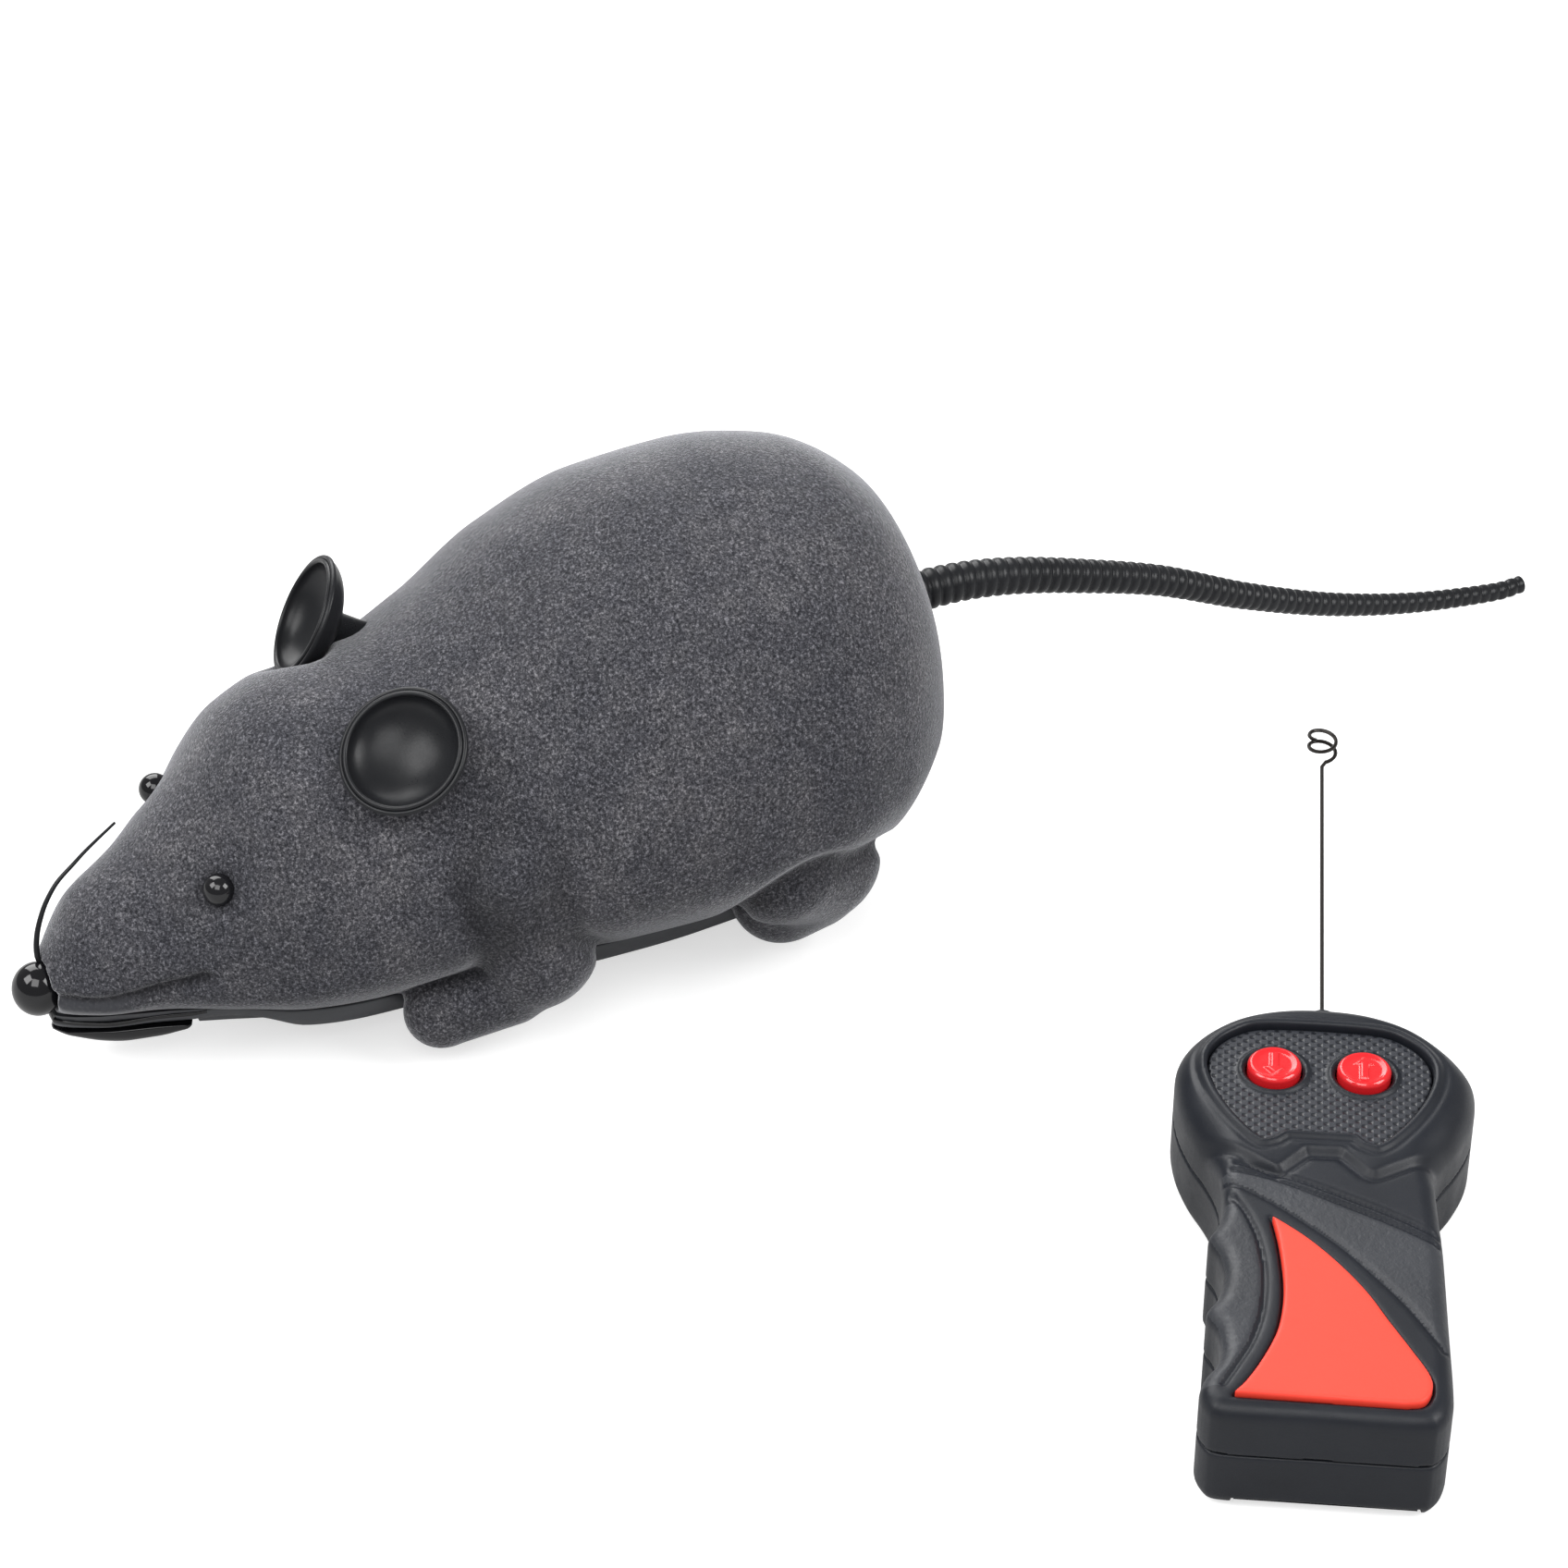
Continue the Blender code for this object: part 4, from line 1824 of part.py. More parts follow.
def face_plate(look):
    """Sunk plate around the buttons, with a raised collar at each."""
    top = REMOTE_THICKNESS - FACE_PLATE_SUNK
    plate = prism("remote_face_plate", face_plate_outline(), ((top - FACE_PLATE_THICKNESS, 0), (top, 0)))
    for x, y in button_places():
        ring = rod(
            "ring",
            (x, y, top - FACE_PLATE_THICKNESS / 2),
            (x, y, top + FACE_PLATE_SUNK),
            BUTTON_RADIUS + BUTTON_FLANGE,
            28,
        )
        joined(plate, ring)
        carved(plate, rod("hole", (x, y, top - OVERRUN), (x, y, top + OVERRUN), BUTTON_RADIUS + GAP, 28))
    return finished(plate, "remote_face_plate", look)


def grip_panel(look):
    """Coral panel let into the grip."""
    top = REMOTE_THICKNESS + GRIP_PANEL_PROUD
    bottom = REMOTE_THICKNESS - GRIP_PANEL_THICKNESS + GAP
    panel = prism(
        "grip_panel", grip_panel_outline(), ((bottom, 0), (REMOTE_THICKNESS, 0), (top, GRIP_PANEL_PROUD))
    )
    return finished(panel, "grip_panel", look)


def mat_top():
    """Height of the flat of the rubber mat under the buttons."""
    return REMOTE_BOARD_HEIGHT + GAP + MAT_THICKNESS


def button(name, place, look):
    """Round cap with a flange under the face plate and a stem down to the rubber dome."""
    x, y = place
    plate_bottom = REMOTE_THICKNESS - FACE_PLATE_SUNK - FACE_PLATE_THICKNESS
    bottom = mat_top() + MAT_DOME_HEIGHT + BUTTON_TRAVEL + GAP
    top = REMOTE_THICKNESS - FACE_PLATE_SUNK + BUTTON_PROUD
    flange = plate_bottom - GAP
    profile = (
        (0, 0),
        (BUTTON_STEM_RADIUS, 0),
        (BUTTON_STEM_RADIUS, flange - BUTTON_FLANGE - bottom),
        (BUTTON_RADIUS + BUTTON_FLANGE, flange - BUTTON_FLANGE - bottom),
        (BUTTON_RADIUS + BUTTON_FLANGE, flange - bottom),
        (BUTTON_RADIUS, flange - bottom),
        (BUTTON_RADIUS, top - BUTTON_EDGE - bottom),
        (BUTTON_RADIUS - BUTTON_EDGE, top - bottom),
        (0, top - bottom),
    )
    return finished(turned(name, profile, (x, y, bottom), (0, 0, 1), 20), name, look)


def button_mat(look):
    """Rubber mat on the board with a dome under each button."""
    y = BUTTON_HEIGHT_SHARE * REMOTE_LENGTH
    bottom = REMOTE_BOARD_HEIGHT + GAP
    centre = (button_places()[0][0] + button_places()[1][0]) / 2
    mat = block(
        "button_mat",
        (centre - MAT_HALF_WIDTH, y - MAT_HALF_LENGTH, bottom),
        (centre + MAT_HALF_WIDTH, y + MAT_HALF_LENGTH, mat_top()),
    )
    for x, place_y in button_places():
        rise = MAT_THICKNESS / 2 + MAT_DOME_HEIGHT
        profile = ((0, 0), (MAT_DOME_RADIUS, 0), (MAT_DOME_TOP_RADIUS, rise), (0, rise))
        joined(mat, turned("dome", profile, (x, place_y, mat_top() - MAT_THICKNESS / 2), (0, 0, 1), 16))
    return finished(mat, "button_mat", look)


def remote_board_posts():
    """Posts under the corners of the remote's board."""
    bottom = REMOTE_BOARD_BOTTOM_SHARE * REMOTE_LENGTH + BOARD_POST_INSET
    top = REMOTE_BOARD_TOP_SHARE * REMOTE_LENGTH - BOARD_POST_INSET
    x = REMOTE_BOARD_HALF_WIDTH * REMOTE_POST_SHARE
    return [(side * x, y) for side in (1, -1) for y in (bottom, top)]


def remote_board(look):
    """Transmitter board under the buttons, its parts on the underside."""
    unit = REMOTE_BOARD_HALF_WIDTH
    bottom_y = REMOTE_BOARD_BOTTOM_SHARE * REMOTE_LENGTH
    top_y = REMOTE_BOARD_TOP_SHARE * REMOTE_LENGTH
    top = REMOTE_BOARD_HEIGHT
    board = block("remote_board", (-unit, bottom_y, top - BOARD_THICKNESS), (unit, top_y, top))
    for x, y in remote_screw_places():
        carved(board, rod("notch", (x, y, 0), (x, y, REMOTE_THICKNESS), SCREW_BOSS_RADIUS + GAP, 14))
    middle = (bottom_y + top_y) / 2
    for x, y, half_x, half_y, height in TRANSMITTER_CHIP_SHARES:
        chip = block(
            "chip",
            ((x - half_x) * unit, middle + (y - half_y) * unit, top - BOARD_THICKNESS - height * unit),
            ((x + half_x) * unit, middle + (y + half_y) * unit, top - BOARD_THICKNESS / 2),
        )
        joined(board, chip)
    return finished(board, "remote_board", look)


def remote_batteries(cell_look, contact_look):
    """Two AAA cells side by side in the grip and the contacts at their ends."""
    middle = (REMOTE_BAY_END_Y + REMOTE_BAY_TOP_Y) / 2
    height = REMOTE_DOOR_SUNK + REMOTE_DOOR_THICKNESS + 2 * GAP + CELL_RADIUS
    centre = bay_centre()
    half = REMOTE_CELL_SPACING / 2
    shift = (CONTACT_SPRING - GAP) / 2
    cell("remote_cell_left", centre - half, middle + shift, height, 1, cell_look)
    cell("remote_cell_right", centre + half, middle - shift, height, -1, cell_look)
    room = (CELL_LENGTH + CELL_NUB_LENGTH) / 2 + shift + GAP + CONTACT_THICKNESS
    low = height - CELL_RADIUS + CONTACT_EDGE
    high = height + CELL_RADIUS - CONTACT_EDGE
    width = REMOTE_BAY_HALF_WIDTH - CONTACT_EDGE
    contact("remote_contact_end", middle - room, -1, low, high, width, (centre - half, centre), contact_look)
    contact("remote_contact_top", middle + room, 1, low, high, width, (centre + half, centre), contact_look)


def mouse_batteries(cell_look, contact_look):
    """Two AAA cells in the chassis and the contacts at their ends."""
    middle = (BAY_FRONT_Y + BAY_BACK_Y) / 2
    height = (CHASSIS_BOTTOM + DOOR_THICKNESS + BAY_CEILING) / 2
    half = CELL_SPACING / 2
    shift = (CONTACT_SPRING - GAP) / 2
    cell("battery_left", half, middle + shift, height, 1, cell_look)
    cell("battery_right", -half, middle - shift, height, -1, cell_look)
    room = (CELL_LENGTH + CELL_NUB_LENGTH) / 2 + shift + GAP + CONTACT_THICKNESS
    low = height - CELL_RADIUS + CONTACT_EDGE
    high = height + CELL_RADIUS - CONTACT_EDGE
    width = BAY_HALF_WIDTH - CONTACT_EDGE
    contact("battery_contact_front", middle - room, -1, low, high, width, (half, 0), contact_look)
    contact("battery_contact_rear", middle + room, 1, low, high, width, (-half, 0), contact_look)


def build_mouse():
    """Every piece of the mouse, in place."""
    flock = material("flocked plastic", FLOCK_GREY, 0.95)
    satin = material("satin black plastic", SATIN_BLACK, 0.45)
    gloss = material("gloss black plastic", GLOSS_BLACK, 0.12)
    rubber = material("black rubber", RUBBER_BLACK, 0.55)
    steel = material("steel", STEEL, 0.30, 1.0)
    brass = material("brass", BRASS, 0.30, 1.0)
    white = material("white nylon", GEAR_WHITE, 0.45)
    green = material("circuit board", BOARD_GREEN, 0.50)
    sleeve = material("battery sleeve", CELL_GREEN, 0.35)
    body_shell(flock)
    chassis(satin)
    lower_jaw(gloss)
    battery_door(satin)
    mouse_batteries(sleeve, steel)
    mouse_screws(steel)
    power_switch(satin, gloss)
    receiver_board(green)
    motor(steel)
    gearbox_frame(white)
    drive_train(white, brass, steel)
    drive_axle(steel)
    for side, word in ((1, "left"), (-1, "right")):
        wheel(side, word, satin, rubber)
        ear(side, word, rubber)
        finished(eye_seat(side, 0), "eye_" + word, gloss)
    castor(satin, rubber, steel)
    finished(nose_seat(0), "nose", gloss)
    whisker(rubber)
    tail_socket(rubber)
    tail(rubber)


def build_remote():
    """Every piece of the remote, in its own frame with its back on Z = 0."""
    grey = material("remote plastic", REMOTE_GREY, 0.50)
    red = material("red button plastic", BUTTON_RED, 0.18)
    coral = material("coral panel plastic", CORAL_RED, 0.35)
    wire = material("blackened wire", BLACK_WIRE, 0.35, 0.8)
    rubber = material("black rubber", RUBBER_BLACK, 0.55)
    steel = material("steel", STEEL, 0.30, 1.0)
    green = material("circuit board", BOARD_GREEN, 0.50)
    sleeve = material("battery sleeve", CELL_GREEN, 0.35)
    remote_front_shell(grey)
    remote_back_shell(grey)
    face_plate(grey)
    grip_panel(coral)
    left, right = button_places()
    button("backward_button", left, red)
    button("forward_button", right, red)
    button_mat(rubber)
    remote_board(green)
    remote_batteries(sleeve, steel)
    remote_battery_door(grey)
    antenna_collar(grey)
    antenna(wire)
    for (x, y), word in zip(remote_screw_places(), ("right", "left")):
        bottom = REMOTE_SCREW_SEAT - SCREW_HEAD_HEIGHT - GAP
        screw("remote_screw_" + word, x, y, bottom, REMOTE_SPLIT + REMOTE_SCREW_REACH, steel)


def marker(name, place, parent=None):
    """An empty on a joint's axis, or the root of a group."""
    thing = bpy.data.objects.new(name, None)
    bpy.context.scene.collection.objects.link(thing)
    thing.empty_display_size = WHEEL_RADIUS
    thing.parent = parent
    thing.location = place
    return thing


def hang(names, parent):
    """Parent pieces to a marker without moving them."""
    bpy.context.view_layer.update()
    for name in names:
        thing = bpy.data.objects[name]
        thing.parent = parent
        thing.matrix_parent_inverse = parent.matrix_world.inverted()


def group_mouse(root):
    """Joint markers of the mouse, with the pieces that each carries."""
    axle, compound, motor_centre = gear_centres()
    castor_axle_y = CASTOR_Y + CASTOR_TRAIL
    axle_pieces = ["drive_axle", "axle_gear", "wheel_hub_left", "wheel_hub_right", "tyre_left", "tyre_right"]
    hang(axle_pieces, marker("joint drive axle", (0, *axle), root))
    hang(["compound_gear"], marker("joint compound gear", (0, *compound), root))
    hang(["motor_pinion"], marker("joint motor", (0, *motor_centre), root))
    swivel = marker("joint castor swivel", (0, CASTOR_Y, CASTOR_CROWN_TOP), root)
    hang(["castor_fork", "castor_axle"], swivel)
    rolling = marker("joint castor wheel", (0, castor_axle_y, CASTOR_WHEEL_RADIUS), root)
    hang(["castor_wheel"], rolling)
    hang(["power_switch_knob"], marker("joint power switch", (SWITCH_X, SWITCH_Y, CHASSIS_BOTTOM), root))
    hinge_y = BAY_BACK_Y + DOOR_LIP
    hang(
        ["battery_door", "battery_door_screw"],
        marker("joint battery door", (0, hinge_y, CHASSIS_BOTTOM), root),
    )


def group_remote(root):
    """Joint markers of the remote, with the pieces that each carries."""
    left, right = button_places()
    hang(["backward_button"], marker("joint backward button", (*left, REMOTE_THICKNESS), root))
    hang(["forward_button"], marker("joint forward button", (*right, REMOTE_THICKNESS), root))
    door_y = REMOTE_DOOR_TOP_Y
    hang(
        ["remote_battery_door"],
        marker("joint remote battery door", (bay_centre(), door_y, REMOTE_DOOR_SUNK), root),
    )


def piece_names():
    """Names of all modelled pieces."""
    return [thing.name for thing in bpy.data.objects if thing.type in {"MESH", "CURVE"}]


def floor_centre(without):
    """Middle of the set's box on the floor, measured without the pieces named."""
    bpy.context.view_layer.update()
    graph = bpy.context.evaluated_depsgraph_get()
    corners = []
    for name in piece_names():
        if name not in without:
            thing = bpy.data.objects[name].evaluated_get(graph)
            mesh = thing.to_mesh()
            corners.extend(thing.matrix_world @ point.co for point in mesh.vertices)
            thing.to_mesh_clear()
    places = np.array(corners)
    low = places.min(axis=0)
    high = places.max(axis=0)
    return Vector(((low[0] + high[0]) / 2, (low[1] + high[1]) / 2, 0))


def main():
    """Build the mouse and the remote, then centre the set on the floor."""
    clear_scene()
    base = marker("set", (0, 0, 0))
    build_mouse()
    mouse_names = piece_names()
    mouse = marker("mouse", (0, 0, 0), base)
    hang(mouse_names, mouse)
    group_mouse(mouse)
    build_remote()
    remote_names = [name for name in piece_names() if name not in mouse_names]
    remote = marker("remote", (0, 0, 0), base)
    hang(remote_names, remote)
    group_remote(remote)
    remote.location = (REMOTE_X, REMOTE_Y, 0)
    remote.rotation_euler = (0, 0, REMOTE_YAW)
    base.location = -floor_centre({"tail"})
    bpy.context.view_layer.update()
    for thing in bpy.data.objects:
        if thing.type == "EMPTY":
            print(thing.name, [round(value, 6) for value in thing.matrix_world.translation])


main()
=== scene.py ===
# %% [markdown]
# # A flocked toy mouse and its remote control
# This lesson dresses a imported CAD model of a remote-controlled cat toy.  Every surface is
# computed with numpy from a formula, and every material is made of procedural nodes.
#
# The CAD model is loaded first.  It fixes where everything is, so each new piece is placed by
# the CAD boxes of the pieces that it belongs to.

# %% Load the frame
import math

import bpy
import numpy as np
from mathutils import Matrix, Vector


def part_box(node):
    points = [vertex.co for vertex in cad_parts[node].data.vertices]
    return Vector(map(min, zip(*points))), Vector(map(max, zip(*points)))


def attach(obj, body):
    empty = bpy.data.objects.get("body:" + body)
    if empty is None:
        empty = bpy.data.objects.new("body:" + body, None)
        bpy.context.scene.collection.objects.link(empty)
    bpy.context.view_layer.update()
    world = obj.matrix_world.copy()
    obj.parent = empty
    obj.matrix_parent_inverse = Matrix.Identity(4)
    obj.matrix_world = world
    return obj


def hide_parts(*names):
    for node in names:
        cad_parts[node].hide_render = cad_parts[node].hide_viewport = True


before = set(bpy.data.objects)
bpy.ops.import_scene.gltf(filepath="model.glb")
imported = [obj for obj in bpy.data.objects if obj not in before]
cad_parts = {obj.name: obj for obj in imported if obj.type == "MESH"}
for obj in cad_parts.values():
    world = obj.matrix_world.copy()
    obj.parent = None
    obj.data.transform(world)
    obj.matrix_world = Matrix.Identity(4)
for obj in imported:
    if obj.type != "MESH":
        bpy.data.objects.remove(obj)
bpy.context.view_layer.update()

MM = 0.001

# %% [markdown]
# ## Two places to work in
# The mouse and the remote each have their own measures in millimetres.  The drive axle tells
# where the mouse stands, and the two buttons tell where the remote lies and how it is turned.


# %% Places
def middle_of(node):
    """Middle of a CAD node's box, in metres."""
    low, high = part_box(node)
    return (low + high) / 2


WHEEL_Y = 38.0
BUTTON_PLACES = {"backward": (-6.92, 64.6), "forward": (5.0, 64.6)}

axle = middle_of("drive_axle")
MOUSE = np.array([axle.x, axle.y - WHEEL_Y * MM, 0.0])

first, second = (middle_of(word + "_button") for word in BUTTON_PLACES)
ACROSS = np.array((second - first).xy.normalized())
ALONG = np.array([-ACROSS[1], ACROSS[0]])
first_across, first_along = BUTTON_PLACES["backward"]
REMOTE = np.array(first.xy) - MM * (ACROSS * first_across + ALONG * first_along)


def on_mouse(points):
    """Millimetres on the mouse (left, towards the tail, up) to metres in the scene."""
    return np.asarray(points, float) * MM + MOUSE


def on_remote(points):
    """Millimetres on the remote (across, towards the antenna, up) to metres in the scene."""
    points = np.asarray(points, float) * MM
    flat = REMOTE + points[..., :1] * ACROSS + points[..., 1:2] * ALONG
    return np.concatenate([flat, points[..., 2:3]], axis=-1)


# %% [markdown]
# ## Curves through a few points
# Tables of a few numbers describe the forms.  One function reads a table smoothly without
# overshooting, and another draws a round curve through points in space.


# %% Curves
def cubic(t, start, leaving, end, arriving):
    """A cubic from start to end whose slopes there are leaving and arriving."""
    return (
        start * (2 * t**3 - 3 * t**2 + 1)
        + leaving * (t**3 - 2 * t**2 + t)
        + end * (3 * t**2 - 2 * t**3)
        + arriving * (t**3 - t**2)
    )


def smooth_read(stations, values, at):
    """Cubic through the values at the stations whose slope is zero at each peak, read at each place."""
    stations = np.asarray(stations, float)
    values = np.asarray(values, float)
    step = np.diff(stations)
    slope = np.diff(values) / step
    tangent = np.zeros(len(values))
    tangent[0], tangent[-1] = slope[0], slope[-1]
    for k in range(1, len(values) - 1):
        if slope[k - 1] * slope[k] > 0:
            before = 2 * step[k] + step[k - 1]
            after = step[k] + 2 * step[k - 1]
            tangent[k] = (before + after) / (before / slope[k - 1] + after / slope[k])
    at = np.clip(np.asarray(at, float), stations[0], stations[-1])
    k = np.clip(np.searchsorted(stations, at) - 1, 0, len(step) - 1)
    t = (at - stations[k]) / step[k]
    return cubic(t, values[k], step[k] * tangent[k], values[k + 1], step[k] * tangent[k + 1])


PLACES_PER_STRETCH = 24


def round_curve(points, count, closed=False):
    """Evenly spaced places on a curve through the points: each stretch is a cubic whose end slopes
    are half the step between the neighbours."""
    points = np.asarray(points, float)
    if closed:
        points = np.vstack([points[-1:], points, points[:2]])
    else:
        points = np.vstack([2 * points[0] - points[1], points, 2 * points[-1] - points[-2]])
    t = np.linspace(0, 1, PLACES_PER_STRETCH, endpoint=False)[:, None]
    parts = []
    for k in range(1, len(points) - 2):
        a, b = points[k], points[k + 1]
        into, out = (b - points[k - 1]) / 2, (points[k + 2] - a) / 2
        parts.append(cubic(t, a, into, b, out))
    dense = np.vstack(parts + [points[-2:-1]])
    far = np.concatenate([[0], np.cumsum(np.linalg.norm(np.diff(dense, axis=0), axis=1))])
    wanted = np.linspace(0, far[-1], count + 1)[:-1] if closed else np.linspace(0, far[-1], count)
    return np.stack([np.interp(wanted, far, dense[:, a]) for a in range(dense.shape[1])], axis=1)


# %% [markdown]
# ## Making meshes
# A surface is an array of points and an array of faces.  Rows of points make a skin, a profile
# turned about an axis makes a round piece, and rings carried along a curve make a tube.


# %% Meshes
def piece(name, points, faces, body, looks, face_looks=None, uv=None, replaces=()):
    """A mesh object from points in metres and faces, which rides on a body and may stand for CAD nodes."""
    mesh = bpy.data.meshes.new(name)
    mesh.from_pydata([tuple(p) for p in np.asarray(points)], [], [tuple(map(int, f)) for f in faces])
    for look in looks if isinstance(looks, (list, tuple)) else [looks]:
        mesh.materials.append(look)
    mesh.polygons.foreach_set("use_smooth", np.full(len(mesh.polygons), True))
    if face_looks is not None:
        mesh.polygons.foreach_set("material_index", np.asarray(face_looks, np.int32))
    if uv is not None:
        layer = mesh.uv_layers.new(name="UVMap")
        corner = np.zeros(len(mesh.loops), np.int32)
        mesh.loops.foreach_get("vertex_index", corner)
        layer.data.foreach_set("uv", np.asarray(uv, np.float32)[corner].ravel())
    mesh.update()
    thing = bpy.data.objects.new(name, mesh)
    bpy.context.scene.collection.objects.link(thing)
    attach(thing, body)
    if replaces:
        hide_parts(*replaces)
    return thing


def grid_faces(rows, columns):
    """Four-sided faces between the rows of a grid of points; the last column joins the first."""
    i, j = np.meshgrid(np.arange(rows - 1), np.arange(columns), indexing="ij")
    k = (j + 1) % columns
    corners = (i * columns + j, i * columns + k, (i + 1) * columns + k, (i + 1) * columns + j)
    return np.stack(corners, -1).reshape(-1, 4)


def closed_grid(rows, columns):
    """The grid's faces, and one flat face at either end."""
    first = tuple(range(columns))
    last = tuple(range((rows - 1) * columns, rows * columns))
    return [tuple(face) for face in grid_faces(rows, columns)] + [first[::-1], last]


def across_and_up(aim):
    """Two directions at right angles to an aim."""
    aim = np.asarray(aim, float) / np.linalg.norm(aim)
    side = np.cross(aim, (0, 0, 1.0) if abs(aim[2]) < 0.9 else (1.0, 0, 0))
    side /= np.linalg.norm(side)
    return aim, side, np.cross(aim, side)


def turned_points(profile, start, aim, sides):
    """Points of a profile (radius, distance) turned about an axis: centre plus distance times the
    aim plus radius times a circle."""
    aim, side, up = across_and_up(aim)
    angle = np.linspace(0, math.tau, sides, endpoint=False)
    circle = np.cos(angle)[:, None] * side + np.sin(angle)[:, None] * up
    profile = np.asarray(profile, float)
    radius, distance = profile[:, 0, None, None], profile[:, 1, None, None]
    return (np.asarray(start, float) + distance * aim + radius * circle).reshape(-1, 3)


def turned(name, profile, start, aim, place, body, look, sides=64, replaces=()):
    """A round piece: rows of the turned profile, closed at both ends."""
    points = turned_points(profile, start, aim, sides)
    faces = closed_grid(len(profile), sides)
    return piece(name, place(points), faces, body, look, replaces=replaces)


def rounded(profile, radius, steps):
    """The profile with its corners rounded: each becomes a short curve that starts and ends one
    radius away from it."""
    made = [profile[0]]
    for before, corner, after in zip(profile, profile[1:], profile[2:]):
        before, corner, after = (np.array(p, float) for p in (before, corner, after))
        back, on = before - corner, after - corner
        reach = min(radius, np.linalg.norm(back) / 2.05, np.linalg.norm(on) / 2.05)
        a = corner + back / np.linalg.norm(back) * reach
        b = corner + on / np.linalg.norm(on) * reach
        for t in np.linspace(0, 1, steps + 1):
            made.append(tuple(a * (1 - t) ** 2 + 2 * corner * t * (1 - t) + b * t**2))
    return made + [profile[-1]]


def swept(points, radii, sides, ripple=None):
    """Rings around a curve: the frame is carried along without twist, and the radius may ripple
    with the angle."""
    points = np.asarray(points, float)
    aim = np.gradient(points, axis=0)
    aim /= np.linalg.norm(aim, axis=1)[:, None]
    side = np.zeros_like(points)
    side[0] = across_and_up(aim[0])[1]
    for k in range(1, len(points)):
        side[k] = side[k - 1] - aim[k] * np.dot(side[k - 1], aim[k])
        side[k] /= np.linalg.norm(side[k])
    up = np.cross(aim, side)
    angle = np.linspace(0, math.tau, sides, endpoint=False)
    radius = np.asarray(radii, float)[:, None] * np.ones(sides)
    if ripple is not None:
        radius = radius + ripple(angle[None, :])
    circle = np.cos(angle)[None, :, None] * side[:, None] + np.sin(angle)[None, :, None] * up[:, None]
    return (points[:, None] + radius[..., None] * circle).reshape(-1, 3)


# %% [markdown]
# ## Materials
# Each material is a principled shader whose colour, roughness and bump come from noise on the
# object's own coordinates, at the scale of the real surface: flocking in tenths of a
# millimetre, moulded grain finer still.


# %% Materials
def new_look(name, colour, roughness, metallic=0.0, specular=0.5, coat=0.0):
    """A material with its principled shader, and the tree to add nodes to."""
    look = bpy.data.materials.new(name)
    look.use_nodes = True
    shader = look.node_tree.nodes["Principled BSDF"]
    shader.inputs["Base Color"].default_value = (*colour, 1.0)
    shader.inputs["Roughness"].default_value = roughness
    shader.inputs["Metallic"].default_value = metallic
    shader.inputs["Specular IOR Level"].default_value = specular
    shader.inputs["Coat Weight"].default_value = coat
    shader.inputs["Coat Roughness"].default_value = 0.05
    return look, look.node_tree, shader


def link(tree, output, target):
    """Joins an output to an input."""
    tree.links.new(output, target)


def noise(tree, scale, detail=3.0, rough=0.55, distortion=0.0):
    """Noise on the object's coordinates, whose scale is in waves per metre."""
    coordinates = tree.nodes.new("ShaderNodeTexCoord")
    node = tree.nodes.new("ShaderNodeTexNoise")
    node.inputs["Scale"].default_value = scale
    node.inputs["Detail"].default_value = detail
    node.inputs["Roughness"].default_value = rough
    node.inputs["Distortion"].default_value = distortion
    link(tree, coordinates.outputs["Object"], node.inputs["Vector"])
    return node.outputs["Fac"]


def own_map(tree):
    """The two values of a piece's own map."""
    place = tree.nodes.new("ShaderNodeUVMap")
    place.uv_map = "UVMap"
    parts = tree.nodes.new("ShaderNodeSeparateXYZ")
    link(tree, place.outputs["UV"], parts.inputs["Vector"])
    return parts.outputs["X"], parts.outputs["Y"]


def ramp(tree, source, stops):
    """Colours along a value: each stop is a place and a colour."""
    node = tree.nodes.new("ShaderNodeValToRGB")
    band = node.color_ramp
    while len(band.elements) < len(stops):
        band.elements.new(0.5)
    for element, (place, colour) in zip(band.elements, stops):
        element.position = place
        element.color = (*colour, 1.0)
    link(tree, source, node.inputs["Fac"])
    return node.outputs["Color"]


def span(tree, source, low, high, to_low=0.0, to_high=1.0):
    """Maps a value from one range to another, held at both ends."""
    node = tree.nodes.new("ShaderNodeMapRange")
    node.inputs["From Min"].default_value = low
    node.inputs["From Max"].default_value = high
    node.inputs["To Min"].default_value = to_low
    node.inputs["To Max"].default_value = to_high
    link(tree, source, node.inputs["Value"])
    return node.outputs["Result"]


def sums(tree, operation, first, second):
    """Arithmetic on two values; either may be a plain number."""
    node = tree.nodes.new("ShaderNodeMath")
    node.operation = operation
    for socket, value in zip(node.inputs, (first, second)):
        if isinstance(value, (int, float)):
            socket.default_value = value
        else:
            link(tree, value, socket)
    return node.outputs["Value"]


def mixed(tree, factor, first, second, way="MIX"):
    """Mixes two colours by a factor."""
    node = tree.nodes.new("ShaderNodeMix")
    node.data_type = "RGBA"
    node.blend_type = way
    for socket, value in (
        (node.inputs["Factor"], factor), (node.inputs["A"], first), (node.inputs["B"], second)
    ):
        if isinstance(value, (int, float)):
            socket.default_value = value
        elif isinstance(value, tuple):
            socket.default_value = (*value, 1.0)
        else:
            link(tree, value, socket)
    return node.outputs["Result"]


def bump(tree, shader, height, strength, distance):
    """Bends the surface's normal by a height."""
    node = tree.nodes.new("ShaderNodeBump")
    node.inputs["Strength"].default_value = strength
    node.inputs["Distance"].default_value = distance
    link(tree, height, node.inputs["Height"])
    link(tree, node.outputs["Normal"], shader.inputs["Normal"])


